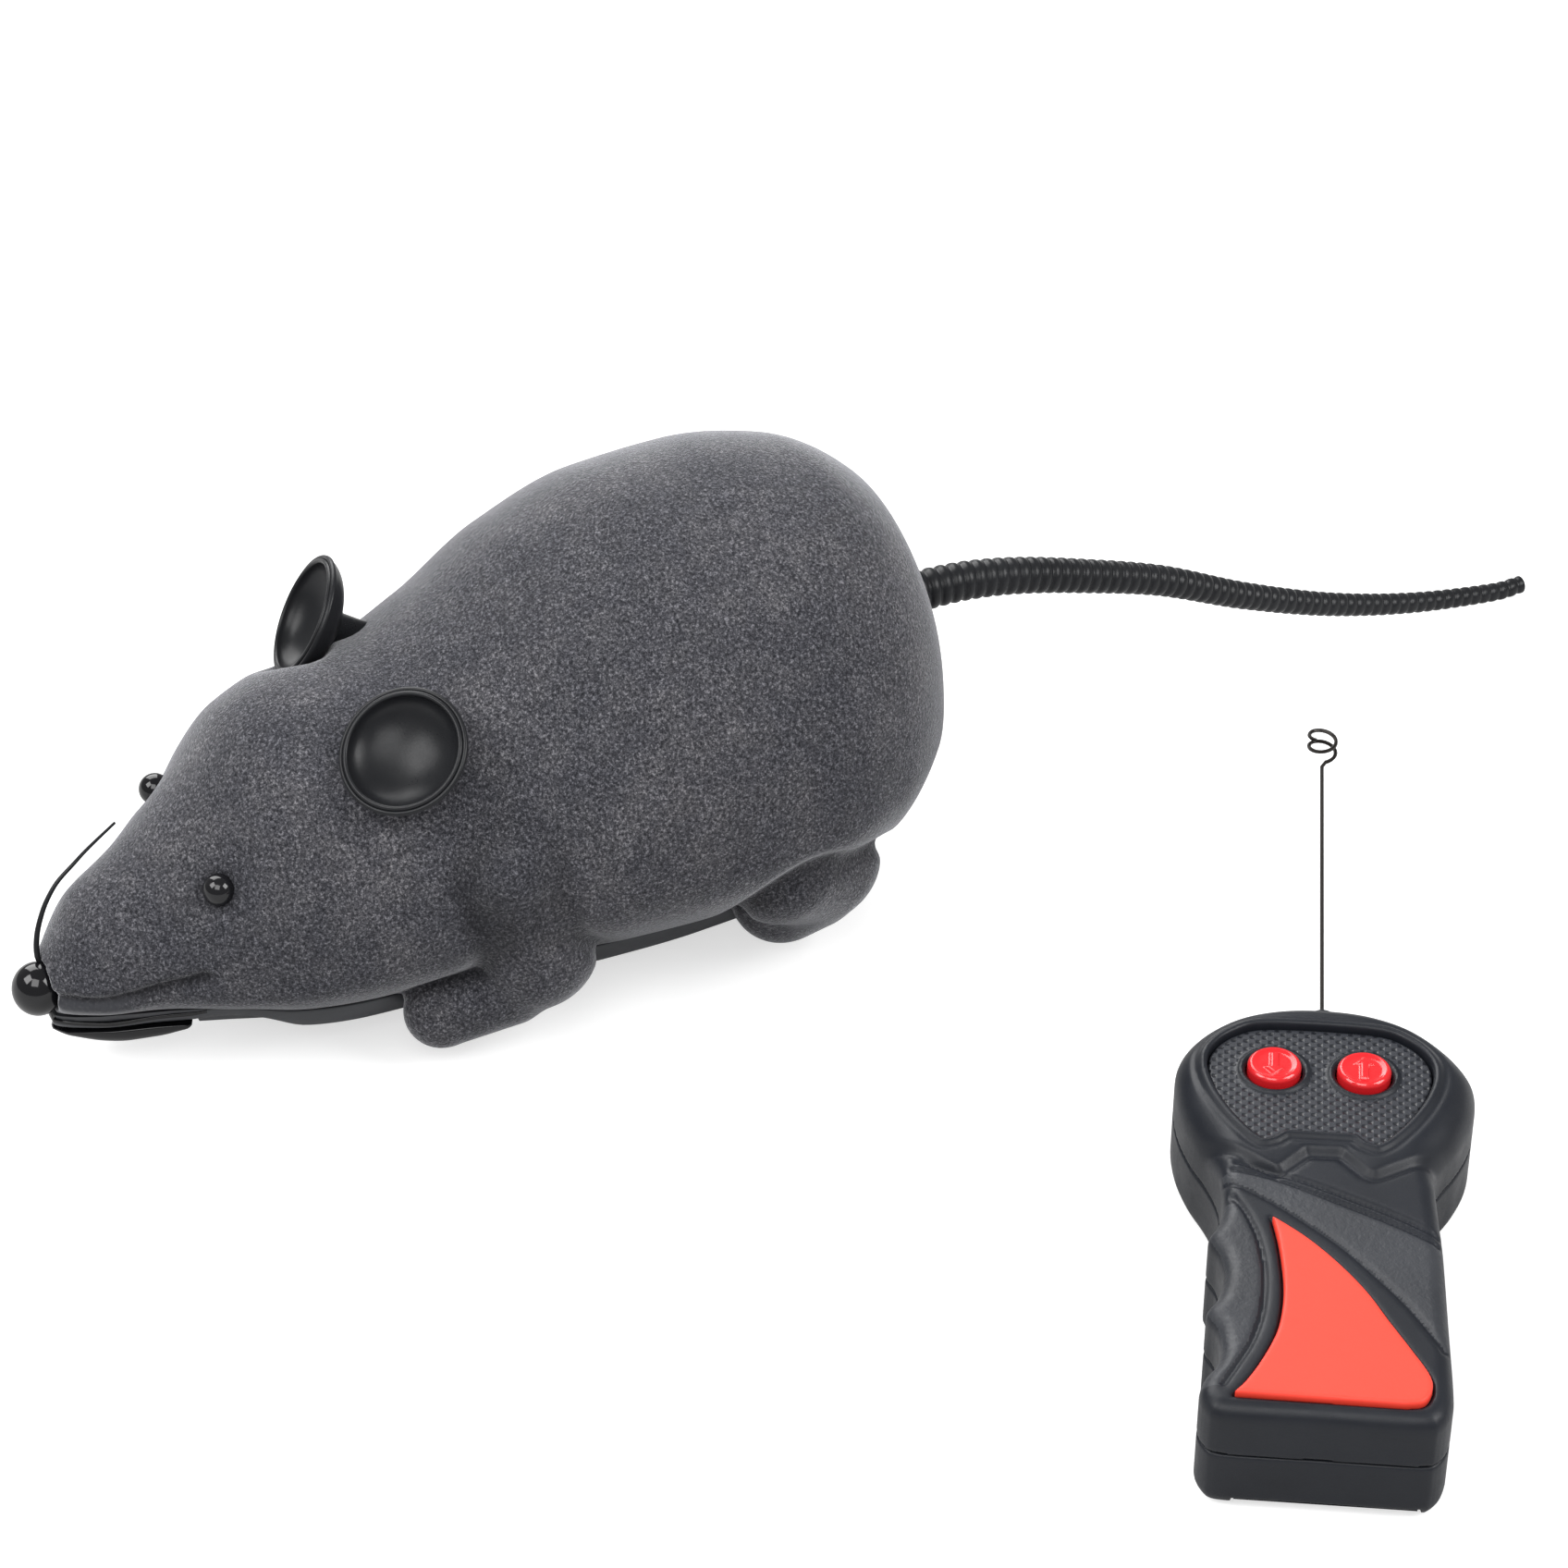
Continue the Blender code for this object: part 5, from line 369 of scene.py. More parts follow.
def plain_look(name, colour, roughness, grain=2600, depth=0.00004, drift=0.14, **more):
    """Moulded plastic, rubber or metal: slow drift of colour and roughness, and a fine grain."""
    look, tree, shader = new_look(name, colour, roughness, **more)
    slow = noise(tree, 70, 3)
    darker = tuple(c * (1 - drift) for c in colour)
    lighter = tuple(min(1.0, c * (1 + drift)) for c in colour)
    link(tree, ramp(tree, slow, ((0.30, darker), (0.70, lighter))), shader.inputs["Base Color"])
    fine = noise(tree, grain, 2)
    worn = span(tree, noise(tree, 260, 4), 0.3, 0.7, roughness * 0.86, roughness * 1.12)
    rough = sums(tree, "ADD", worn, span(tree, fine, 0.3, 0.7, -0.03, 0.03))
    link(tree, rough, shader.inputs["Roughness"])
    bump(tree, shader, fine, 0.35, depth)
    return look


def flock_look():
    """Grey flocking: light and dark fibre tips of two sizes, brushed patches, a velvet sheen and a
    soft bump. The piece's map tells where it is bare and where painted shade darkens it: in the leg
    creases, round the eyes and along the sunk mouth line."""
    look, tree, shader = new_look("flock", (0.08, 0.08, 0.09), 0.95, specular=0.12)
    shader.inputs["Sheen Weight"].default_value = 0.75
    shader.inputs["Sheen Roughness"].default_value = 0.30
    shader.inputs["Sheen Tint"].default_value = (0.80, 0.81, 0.84, 1.0)
    tips = noise(tree, 2300, 2.5, 0.62, distortion=0.25)
    dust = noise(tree, 5200, 2, 0.6)
    grain = sums(tree, "ADD", sums(tree, "MULTIPLY", tips, 0.60), sums(tree, "MULTIPLY", dust, 0.40))
    speckle = ramp(tree, grain, (
        (0.36, (0.011, 0.0115, 0.014)),
        (0.46, (0.034, 0.0345, 0.039)),
        (0.54, (0.063, 0.0635, 0.070)),
        (0.66, (0.190, 0.190, 0.203)),
    ))
    clouds = noise(tree, 62, 3, 0.6)
    patches = noise(tree, 190, 3, 0.65)
    cloudy = mixed(tree, span(tree, clouds, 0.40, 0.68), (0.86, 0.86, 0.88), (1.16, 1.14, 1.13))
    speckle = mixed(tree, 1.0, speckle, cloudy, "MULTIPLY")
    brushed = mixed(tree, span(tree, patches, 0.42, 0.62), (0.92, 0.92, 0.94), (1.08, 1.07, 1.06))
    speckle = mixed(tree, 1.0, speckle, brushed, "MULTIPLY")
    bare_share, painted_shade_share = own_map(tree)
    bare = sums(tree, "MULTIPLY", bare_share, 0.85)
    # Painted shade: the colour goes near black in the leg creases, round the eyes and along the sunk mouth
    # line.
    speckle = mixed(tree, sums(tree, "MULTIPLY", painted_shade_share, 0.72), speckle, (0.006, 0.006, 0.007))
    speckle = mixed(tree, bare, speckle, (0.036, 0.037, 0.042))
    link(tree, speckle, shader.inputs["Base Color"])
    link(tree, span(tree, bare, 0.0, 1.0, 0.95, 0.38), shader.inputs["Roughness"])
    tufts = sums(tree, "ADD", grain, sums(tree, "MULTIPLY", patches, 0.35))
    bump(tree, shader, sums(tree, "MULTIPLY", tufts, span(tree, bare, 0.0, 1.0, 1.0, 0.1)), 0.65, 0.00035)
    return look


FLOCK = flock_look()
SATIN = plain_look("satin black plastic", (0.040, 0.042, 0.047), 0.36, depth=0.00003)
GLOSS = plain_look(
    "gloss black plastic", (0.005, 0.005, 0.006), 0.10, grain=900, depth=0.000004, specular=0.45
)
RUBBER = plain_look("black rubber", (0.011, 0.0115, 0.013), 0.33, grain=3200, depth=0.00003, specular=0.22)
TYRE = plain_look("tyre rubber", (0.022, 0.022, 0.024), 0.72, grain=2400, depth=0.00006)
STEEL = plain_look(
    "plain steel", (0.55, 0.55, 0.56), 0.30, metallic=1.0, grain=1800, depth=0.00001, drift=0.06
)
BRASS = plain_look(
    "turned brass", (0.66, 0.49, 0.22), 0.28, metallic=1.0, grain=1800, depth=0.00001, drift=0.06
)
NYLON = plain_look("white nylon", (0.78, 0.77, 0.72), 0.45, depth=0.00002, drift=0.03)
BOARD = plain_look("green lacquer", (0.03, 0.18, 0.08), 0.34, depth=0.00003)
SLEEVE = plain_look("battery sleeve", (0.05, 0.22, 0.16), 0.25, depth=0.00001, metallic=0.4)
REMOTE_PLASTIC = plain_look(
    "remote plastic", (0.0105, 0.012, 0.016), 0.42, grain=3600, depth=0.00003, specular=0.26
)
WIRE = plain_look("blackened wire", (0.016, 0.013, 0.011), 0.35, metallic=0.6, depth=0.000004)
RED = plain_look(
    "red button plastic", (0.56, 0.012, 0.016), 0.16, grain=900, depth=0.000004, drift=0.05, coat=0.2
)
CORAL = plain_look(
    "coral panel plastic", (0.76, 0.047, 0.026), 0.50, grain=2600, depth=0.00001, drift=0.02, specular=0.35
)

# %% [markdown]
# ## Camera and the tail first
# The camera repeats the photograph's viewpoint: 64 degrees round from the nose, 36.5 degrees
# up, through a long lens.

# %% Camera
LEVEL, RISE = math.radians(63.96), math.radians(36.49)
right = np.array([math.cos(LEVEL), math.sin(LEVEL), 0.0])
back = np.array([math.cos(RISE) * math.sin(LEVEL), -math.cos(RISE) * math.cos(LEVEL), math.sin(RISE)])
up = np.cross(back, right)
viewpoint = MOUSE + MM * np.array([487.2, -190.7, 412.8])
PHOTO_PIXELS = 1696
FOCAL_PIXELS = 4980.5

lens = bpy.data.cameras.new("camera")
lens.sensor_width = 36.0
lens.lens = lens.sensor_width * FOCAL_PIXELS / PHOTO_PIXELS
lens.clip_start = 0.05
camera = bpy.data.objects.new("camera", lens)
camera.matrix_world = Matrix([[right[k], up[k], back[k], viewpoint[k]] for k in range(3)] + [[0, 0, 0, 1]])
bpy.context.scene.collection.objects.link(camera)
bpy.context.scene.camera = camera

# %% [markdown]
# ## The ribbed tail
# A soft rubber tail leaves the rump, sinks in one bend and lies with its end on the floor.
# Round ribs run along it: the radius swells and narrows with the distance along the tail, and a
# slight lean of the ribs comes from a wave of the angle round it.

# %% Tail
TAIL_ROUTE = (
    (0.0, 65.3, 39.3), (0.0, 71.6, 39.3), (-0.1, 77.8, 38.7), (-0.3, 85.6, 37.0), (-0.8, 95.6, 33.7),
    (-1.8, 110.7, 27.8), (-3.5, 126.9, 19.2), (-5.3, 143.7, 11.5), (-6.8, 160.3, 5.9),
    (-8.0, 176.0, 2.4), (-8.5, 182.0, 1.9),
)
RIBS = 66
TAIL_ROOT, TAIL_TIP = 6.3, 2.8
TAIL_SIDES = 40
rows = RIBS * 10
tail_line = round_curve(TAIL_ROUTE, rows)
share = np.linspace(0, 1, rows)
thick = TAIL_ROOT + (TAIL_TIP - TAIL_ROOT) * share**0.85
wave = share[:, None] * RIBS * math.tau


def tail_ripple(angle):
    """Rib height: rounded crests and narrow valleys, which lean a sixth of a rib to either side."""
    crest = np.abs(np.cos((wave + 1.1 * np.cos(angle)) / 2))
    return -0.075 * thick[:, None] * (1 - crest) ** 1.4


points = swept(tail_line, thick / 2, TAIL_SIDES, tail_ripple)
points[:, 2] = np.maximum(points[:, 2], 0.05)
tail = piece(
    "ribbed_tail", on_mouse(points), closed_grid(rows, TAIL_SIDES), "mouse", RUBBER, replaces=("tail",)
)

# %% [markdown]
# ## The flocked body as a field
# The shell is one soft form: an egg-shaped body whose legs swell out of its sides.  It is
# written as a field, a number at each point of space that is negative inside.  Fields join
# softly: where two are nearly equal, the smaller one is lowered a little, which rounds the
# crease between them.  A bell-shaped addition sinks a groove, as at the mouth and the limbs.

# %% Body field
LENGTH, HALF_WIDTH, HEIGHT = 136.0, 37.4, 69.1
FRONT = -0.493 * LENGTH
RIM = 10.0
STATIONS = np.array((
    (0.000, 0.217, 0.000, 0.217, 0.217),
    (0.015, 0.272, 0.139, 0.210, 0.130),
    (0.051, 0.384, 0.246, 0.217, 0.114),
    (0.110, 0.450, 0.350, 0.246, 0.091),
    (0.176, 0.565, 0.508, 0.260, 0.078),
    (0.243, 0.700, 0.640, 0.289, 0.025),
    (0.309, 0.735, 0.714, 0.318, -0.003),
    (0.382, 0.736, 0.775, 0.347, -0.010),
    (0.471, 0.800, 0.853, 0.391, -0.022),
    (0.566, 0.916, 0.952, 0.420, -0.030),
    (0.669, 0.988, 1.000, 0.434, -0.026),
    (0.772, 1.000, 0.987, 0.449, -0.022),
    (0.860, 0.975, 0.882, 0.463, -0.004),
    (0.934, 0.880, 0.652, 0.463, 0.188),
    (0.978, 0.696, 0.356, 0.478, 0.289),
    (1.000, 0.495, 0.000, 0.495, 0.495),
))


def measures(y):
    """Height of the back, half width, height of the widest place and height of the belly at each
    place along the body."""
    share = np.clip((np.asarray(y, float) - FRONT) / LENGTH, 0, 1)
    angle = np.arccos(1 - 2 * share)
    table = np.arccos(1 - 2 * STATIONS[:, 0])
    back, side, widest, belly = (smooth_read(table, STATIONS[:, k], angle) for k in range(1, 5))
    return back * HEIGHT, side * HALF_WIDTH, widest * HEIGHT, belly * HEIGHT


def rim_half_width(y):
    """Half width of the body at the shell's lower edge: the side times the cosine of a quarter turn
    times the share of the drop."""
    back, side, widest, belly = measures(y)
    drop = np.clip((widest - RIM) / np.maximum(widest - belly, 0.01), 0, 1)
    return np.where(belly < RIM, side * np.cos(math.pi / 2 * drop), 0.0)


def body_level(x, y, z):
    """How far outside the body a place is, in half widths: sections are half an ellipse above the
    widest height and a cosine below it."""
    back, side, widest, belly = measures(y)
    side = np.maximum(side, 0.05)
    above = np.maximum(z - widest, 0) / np.maximum(back - widest, 0.05)
    fall = np.clip((widest - z) / np.maximum(widest - belly, 0.05), 0, 1)
    rho = np.sqrt((x / side) ** 2 + above**2)
    return np.clip(np.where(z > widest, rho - 1, np.abs(x) / side - np.cos(math.pi / 2 * fall)), -1, 4)


def body_field(x, y, z, step):
    """Distance to the body: its level over the level's own steepness."""
    level = body_level(x, y, z)
    steep = np.sqrt(sum(slope**2 for slope in np.gradient(level, step)))
    field = level / np.maximum(steep, 1e-4)
    return np.maximum(field, np.maximum(y - (FRONT + LENGTH), FRONT - y))


def soft_min(a, b, reach):
    """The smaller of two fields, lowered by the squared nearness over four where they are closer
    than the reach."""
    near = np.maximum(reach - np.abs(a - b), 0)
    return np.minimum(a, b) - near**2 / (4 * reach)


def soft_max(a, b, reach):
    """The larger of two fields with a rounded ridge."""
    return -soft_min(-a, -b, reach)


LIMB_FLATNESS = 0.86


def swelling(x, y, z, start, end):
    """A limb from one ball to another: distance to the nearest point of its line, less the radius
    there; flatter across."""
    flat = LIMB_FLATNESS
    (x0, y0, z0, r0), (x1, y1, z1, r1) = start, end
    run = np.array([(x1 - x0) / flat, y1 - y0, z1 - z0])
    px, py, pz = (np.abs(x) - x0) / flat, y - y0, z - z0
    t = np.clip((px * run[0] + py * run[1] + pz * run[2]) / np.dot(run, run), 0, 1)
    near = np.sqrt((px - t * run[0]) ** 2 + (py - t * run[1]) ** 2 + (pz - t * run[2]) ** 2)
    return (near - (r0 + (r1 - r0) * t)) * (0.5 + flat / 2)


EAR_AIMS = {"left": (0.40, -0.47, 0.79), "right": (-0.23, -0.83, 0.50)}
EAR_CENTRES = {"left": (18.6, -18.5, 51.1), "right": (-17.2, -19.0, 51.0)}
EAR_RADIUS, EAR_BACK = 9.1, 4.9
EYE_CENTRE = np.array([12.7, -43.7, 32.0])
NOSE_CENTRE = np.array([0.0, -66.8, 13.8])
NOSE_RADII = np.array([3.6, 3.6, 3.9])
MOUTH_LINE = np.array((
    (-66.6, 13.9), (-65.0, 14.8), (-63.0, 15.2), (-59.3, 15.7), (-54.1, 17.5), (-49.6, 19.2),
    (-47.3, 20.4),
))
SIDES = {"left": 1, "right": -1}


def ear_place(word):
    """Middle of an ear's rim and the unit vector that its cup faces."""
    aim = np.array(EAR_AIMS[word])
    return np.array(EAR_CENTRES[word]), aim / np.linalg.norm(aim)


def ear_field(x, y, z, grow, word):
    """The back of the cup ear: half an egg below the ear's rim, in the ear's own directions."""
    centre, aim = ear_place(word)
    p = np.stack(np.broadcast_arrays(x, y, z), -1) - centre
    height = p @ aim
    radial = np.sqrt(np.maximum((p**2).sum(-1) - height**2, 0))
    depth = np.minimum(height, 0) / (EAR_BACK + grow)
    return (np.sqrt((radial / (EAR_RADIUS + grow)) ** 2 + depth**2) - 1) * EAR_BACK


def edge_distance(u, v, points, closed):
    """Distance to a line through the points: the least over its edges of the distance to the
    nearest place on the edge."""
    ends = np.roll(points, -1, axis=0)
    near = np.full(np.broadcast_shapes(u.shape, v.shape), 1e9)
    for (au, av), (bu, bv) in list(zip(points, ends))[: None if closed else -1]:
        du, dv = bu - au, bv - av
        t = np.clip(((u - au) * du + (v - av) * dv) / (du**2 + dv**2 + 1e-12), 0, 1)
        near = np.minimum(near, (u - au - t * du) ** 2 + (v - av - t * dv) ** 2)
    return np.sqrt(near)


def bell(distance, width):
    """One on the line and falling to nothing over the width."""
    return np.exp(-((distance / width) ** 2))


# Each limb runs from one ball to another: place and radius.
ARM = ((24.7, -3.0, 16.5, 9.2), (26.0, -6.4, 31.5, 7.8))
PAW = ((22.5, -16.0, 8.6, 5.8), (23.6, -7.0, 11.6, 7.2))
THIGH = ((27.6, 34.0, 22.0, 10.2), (25.8, 39.8, 18.0, 9.4))
FOOT = ((22.5, 36.4, 11.6, 8.0), (22.5, 40.6, 12.2, 7.8))
LEVEL_TO_MM = 24


def arms_field(x, y, z):
    """The front legs: on both sides an arm up to the shoulder, and a paw."""
    return soft_min(swelling(x, y, z, *ARM), swelling(x, y, z, *PAW), 1.2)


def haunches_field(x, y, z):
    """The back legs: on both sides a thigh and a foot."""
    return soft_min(swelling(x, y, z, *THIGH), swelling(x, y, z, *FOOT), 2.5)


def leg_creases(x, y, z):
    """Two shares, for arms and thighs: one on the line where the limb comes out of the body,
    falling off beside it."""
    body = body_level(x, y, z) * LEVEL_TO_MM
    raised = np.clip((z - RIM - 1.5) / 3, 0, 1)
    arm = bell(arms_field(x, y, z), 1.7) * bell(body, 1.7) * raised
    thigh = bell(haunches_field(x, y, z), 1.4) * bell(body, 1.4) * raised
    return arm, thigh


def eye_distance(x, y, z):
    """Distance to the middle of the nearer eye."""
    return np.sqrt((np.abs(x) - EYE_CENTRE[0]) ** 2 + (y - EYE_CENTRE[1]) ** 2 + (z - EYE_CENTRE[2]) ** 2)


def mouse_field(x, y, z, step):
    """The outside of the shell: body and legs, cut level with the rim, with the mouth line and
    seats for ears, eyes and nose."""
    body = np.maximum(body_field(x, y, z, step), RIM - z)
    field = soft_min(soft_min(body, arms_field(x, y, z), 1.5), haunches_field(x, y, z), 0.8)
    arm, thigh = leg_creases(x, y, z)
    field = field + 0.75 * arm + 0.9 * thigh
    inside = np.maximum(np.abs(x) - rim_half_width(y) - 0.25, z - RIM)
    field = np.maximum(field, -inside)
    field = field + 0.8 * bell(eye_distance(x, y, z), 3.2)
    field = field + 1.0 * bell(edge_distance(y, z, round_curve(MOUTH_LINE, 24), False), 0.75)
    for word in EAR_AIMS:
        field = soft_max(field, -ear_field(x, y, z, 0.25, word), 0.8)
    nose = np.sqrt(x**2 + (y - NOSE_CENTRE[1]) ** 2 + (z - NOSE_CENTRE[2]) ** 2) - NOSE_RADII[2]
    return soft_max(field, -nose, 0.6)


def bare_and_painted_shade(points):
    """Two shares for the flock's look: bare plastic on the upper lip, and painted shade where legs
    meet the body, round the eyes and along the sunk mouth line."""
    x, y, z = points.T
    line = round_curve(MOUTH_LINE, 24)
    below = np.interp(y, line[:, 0], line[:, 1]) - z
    mouth = edge_distance(y, z, line, False)
    bare = np.clip(below / 0.5, 0, 1) * np.clip((-55.5 - y) / 3.0, 0, 1)
    arm, thigh = leg_creases(x, y, z)
    # Painted shade: dark where the legs come out of the body, fading higher up the arm and weaker at its
    # back, round each eye and along the mouth line.
    faded = np.clip((41 - z) / 12, 0, 1) * (1 - 0.4 * np.clip((y + 10) / 6, 0, 1))
    painted_shade = 0.85 * arm * faded + 0.85 * thigh
    painted_shade = painted_shade + bell(mouth, 0.95) + 0.6 * bell(eye_distance(x, y, z) - 2.3, 0.9)
    return np.stack([np.clip(bare, 0, 1), np.clip(painted_shade, 0, 1)], 1)


# %% [markdown]
# ## From the field to a mesh
# Space is cut into small cubes.  Each cube that the surface crosses gets one point, the mean of
# the places where its edges cross, and each crossed edge gets a face between the four cubes
# around it.  Two steps down the field's slope then put every point on the surface itself.


# %% Surface net
def surface_net(field, low, step):
    """Points and four-sided faces where a field changes sign; faces look towards the positive side."""
    inside = field < 0
    cells = np.array(field.shape) - 1
    cell_ids, places, faces_at = [], [], []
    for a in range(3):
        ahead = [slice(None)] * 3
        behind = [slice(None)] * 3
        ahead[a], behind[a] = slice(1, None), slice(None, -1)
        crossed = np.argwhere(inside[tuple(behind)] != inside[tuple(ahead)])
        unit = np.eye(3, dtype=int)[a]
        f0 = field[tuple(crossed.T)]
        f1 = field[tuple((crossed + unit).T)]
        place = crossed + (f0 / (f0 - f1))[:, None] * unit
        b, c = (a + 1) % 3, (a + 2) % 3
        around = []
        for back_b, back_c in ((1, 1), (0, 1), (0, 0), (1, 0)):
            cell = crossed.copy()
            cell[:, b] -= back_b
            cell[:, c] -= back_c
            good = ((cell >= 0) & (cell < cells)).all(1)
            code = np.ravel_multi_index(tuple(np.clip(cell, 0, cells - 1).T), cells)
            cell_ids.append(code[good])
            places.append(place[good])
            around.append(np.where(good, code, -1))
        quads = np.stack(around, 1)
        keep = (quads >= 0).all(1)
        outward = f0 < 0
        quads = np.where(outward[:, None], quads, quads[:, ::-1])
        faces_at.append(quads[keep])
    ids, order = np.unique(np.concatenate(cell_ids), return_inverse=True)
    where = np.concatenate(places)
    count = np.bincount(order)
    points = np.stack([np.bincount(order, where[:, k]) / count for k in range(3)], 1)
    faces = np.searchsorted(ids, np.concatenate(faces_at))
    return points * step + low, faces


def sampled(grid, points, low, step):
    """A grid of values read between its places: the mean of the eight around a point, weighted by
    nearness."""
    at = np.clip((points - low) / step, 0, np.array(grid.shape[:3]) - 1.001)
    base = at.astype(int)
    part = at - base
    total = 0
    for corner in np.ndindex(2, 2, 2):
        weight = np.prod(np.where(corner, part, 1 - part), axis=1)
        value = grid[tuple((base + corner).T)]
        total = total + (weight[:, None] * value if value.ndim > 1 else weight * value)
    return total


def net_piece(
    name, field_of, low, high, step, place, body, looks, replaces=(), face_look=None, trim=None, map_of=None
):
    """A piece from a field: sampled on a grid, netted, and moved twice down the slope onto the surface."""
    low = np.array(low, float)
    axes = [np.arange(low[k], high[k] + step, step) for k in range(3)]
    field = field_of(*np.meshgrid(*axes, indexing="ij", sparse=True), step).astype(np.float32)
    points, faces = surface_net(field, low, step)
    slope = np.stack(np.gradient(field, step), -1)
    for again in range(2):
        value = sampled(field, points, low, step)
        tilt = sampled(slope, points, low, step)
        move = tilt * (value / np.maximum((tilt**2).sum(1), 0.05))[:, None]
        points -= np.clip(move, -step / 2, step / 2)
    if trim is not None:
        faces = trim(points, faces)
    choice = None if face_look is None else face_look(points[faces].mean(1))
    chart = None if map_of is None else map_of(points)
    return piece(name, place(points), faces, body, looks, choice, chart, replaces)


def settled_skin(points, faces):
    """Leaves out the underside inside the rim, and keeps the skin inside the CAD model's box."""
    under = (np.abs(points[:, 0]) < rim_half_width(points[:, 1]) - 1.2) & (points[:, 2] < RIM + 0.5)
    points[:, 2] = np.maximum(points[:, 2], 1.0) - 0.2 * np.clip((points[:, 2] - 52) / 17, 0, 1) ** 2
    points[:, 0] *= 0.998
    return faces[~under[faces].all(1)]


skin = net_piece(
    "flocked_shell", mouse_field, (-39.0, -70.0, 0.8), (39.0, 70.5, 70.6), 0.64,
    on_mouse, "mouse", FLOCK, ("body_shell",), trim=settled_skin, map_of=bare_and_painted_shade,
)

# %% [markdown]
# ## Ears, eyes, nose and whisker
# The ears are soft cups: half an egg outside, a shallower one inside and a round lip between.

# %% Ears
def arc(middle, radii, start, end, count):
    """Places on a part of an ellipse: the middle plus the radii times cosine and sine of the angle."""
    angle = np.linspace(start, end, count)
    return np.stack([middle[0] + radii[0] * np.cos(angle), middle[1] + radii[1] * np.sin(angle)], 1).tolist()


QUARTER = math.pi / 2
EAR_PROFILE = (
    arc((0, -0.35), (7.75, 3.7), 0.02 - QUARTER, 0, 24)
    + arc((8.10, -0.30), (0.35, 0.35), math.pi, 0, 9)[1:]
    + arc((8.72, -0.62), (0.36, 0.42), math.pi, -0.5, 12)[1:]
    + arc((0, 0), (8.98, EAR_BACK), 1.32 - QUARTER, 0.50 - QUARTER, 18)
    + [(2.3, -5.4), (2.3, -9.8), (0.05, -9.9)]
)
for word in EAR_AIMS:
    centre, aim = ear_place(word)
    ear = turned(
        "cup_ear_" + word, EAR_PROFILE[::-1], centre, aim, on_mouse, "mouse", RUBBER, 96, ("ear_" + word,)
    )

# %% Eyes and nose
def ball(name, centre, radii, node, rings, sides):
    """A glossy ball or egg on the mouse, which stands for a node: rows of circles between two poles."""
    angle = np.linspace(0.02, math.pi - 0.02, rings)
    profile = np.stack([np.sin(angle), -np.cos(angle)], 1)
    points = turned_points(profile, (0, 0, 0), (0, 0, 1), sides) * radii + centre
    made = piece(name, on_mouse(points), closed_grid(rings, sides), "mouse", GLOSS, replaces=(node,))


EYE_RADIUS = 2.25
for word, side in SIDES.items():
    ball("glossy_eye_" + word, EYE_CENTRE * (side, 1, 1), EYE_RADIUS, "eye_" + word, 28, 48)
ball("glossy_nose", NOSE_CENTRE, NOSE_RADII, "nose", 40, 64)

# %% Whisker
WHISKER_ROUTE = (
    (-1.3, -64.0, 16.9), (-1.3, -65.7, 17.4), (-1.7, -65.9, 18.8), (-2.5, -65.4, 20.8),
    (-3.2, -64.5, 22.8), (-3.9, -63.2, 24.9), (-4.6, -61.2, 27.1), (-5.2, -58.4, 29.0),
    (-6.3, -55.8, 30.1), (-8.0, -51.2, 31.8),
)
WHISKER_RINGS, WHISKER_SIDES = 60, 14
line = round_curve(WHISKER_ROUTE, WHISKER_RINGS)
points = swept(line, np.linspace(0.45, 0.20, WHISKER_RINGS), WHISKER_SIDES)
faces = closed_grid(WHISKER_RINGS, WHISKER_SIDES)
whisker = piece("thin_whisker", on_mouse(points), faces, "mouse", RUBBER, replaces=("whisker",))

# %% [markdown]
# ## Lower jaw and rim band
# The jaw is a boat: rings whose half width and depth follow two short tables.  The band is the
# chassis edge that shows under the flocked shell; its profile is carried along the rim.

# %% Jaw
JAW_FRONT, JAW_BACK, JAW_TOP, JAW_BOTTOM, JAW_HALF = -65.5, -46.4, 6.7, 2.7, 10.8
JAW_WIDTH = ((0.0, 0.22), (0.12, 0.52), (0.30, 0.78), (0.52, 0.96), (0.74, 1.0), (0.90, 0.86), (1.0, 0.60))
JAW_DEPTH = ((0.0, 0.90), (0.12, 0.62), (0.30, 0.24), (0.52, 0.02), (0.70, 0.06), (0.86, 0.36), (1.0, 0.90))
JAW_RINGS = 48


def rounding_off(share, start, reach):
    """One up to the start, then falling on a quarter circle over the reach."""
    return np.sqrt(1 - np.clip((share - start) / reach, 0, 0.98) ** 2)


share = (1 - np.cos(np.linspace(0.12, math.pi - 0.12, JAW_RINGS))) / 2
y = JAW_FRONT + share * (JAW_BACK - JAW_FRONT)
half = np.minimum(smooth_read(*zip(*JAW_WIDTH), share) * JAW_HALF, np.maximum(rim_half_width(y) + 0.1, 0.9))
half *= rounding_off(share, 0.88, 0.125) * rounding_off(-share, -0.10, 0.105)
keel = JAW_BOTTOM + smooth_read(*zip(*JAW_DEPTH), share) * (JAW_TOP - JAW_BOTTOM)
turn = np.linspace(0, math.pi, 49)
rings = np.stack([
    half[:, None] * np.cos(turn),
    y[:, None] + 0 * turn,
    JAW_TOP - (JAW_TOP - keel)[:, None] * np.sin(turn) ** 0.75,
], -1)
lid = rings[:, 1:-1][:, ::-1] * (1, 1, 0) + (0, 0, JAW_TOP)
loop = np.concatenate([rings, lid], axis=1)
faces = closed_grid(JAW_RINGS, loop.shape[1])
jaw = piece("glossy_jaw", on_mouse(loop.reshape(-1, 3)), faces, "mouse", GLOSS, replaces=("lower_jaw",))

# %% Rim band
def before_place(y, place, width):
    """One in front of a place along the body, nothing behind it: 1 / (1 + exp((y - place) / width))."""
    return 1 / (1 + np.exp((y - place) / width))


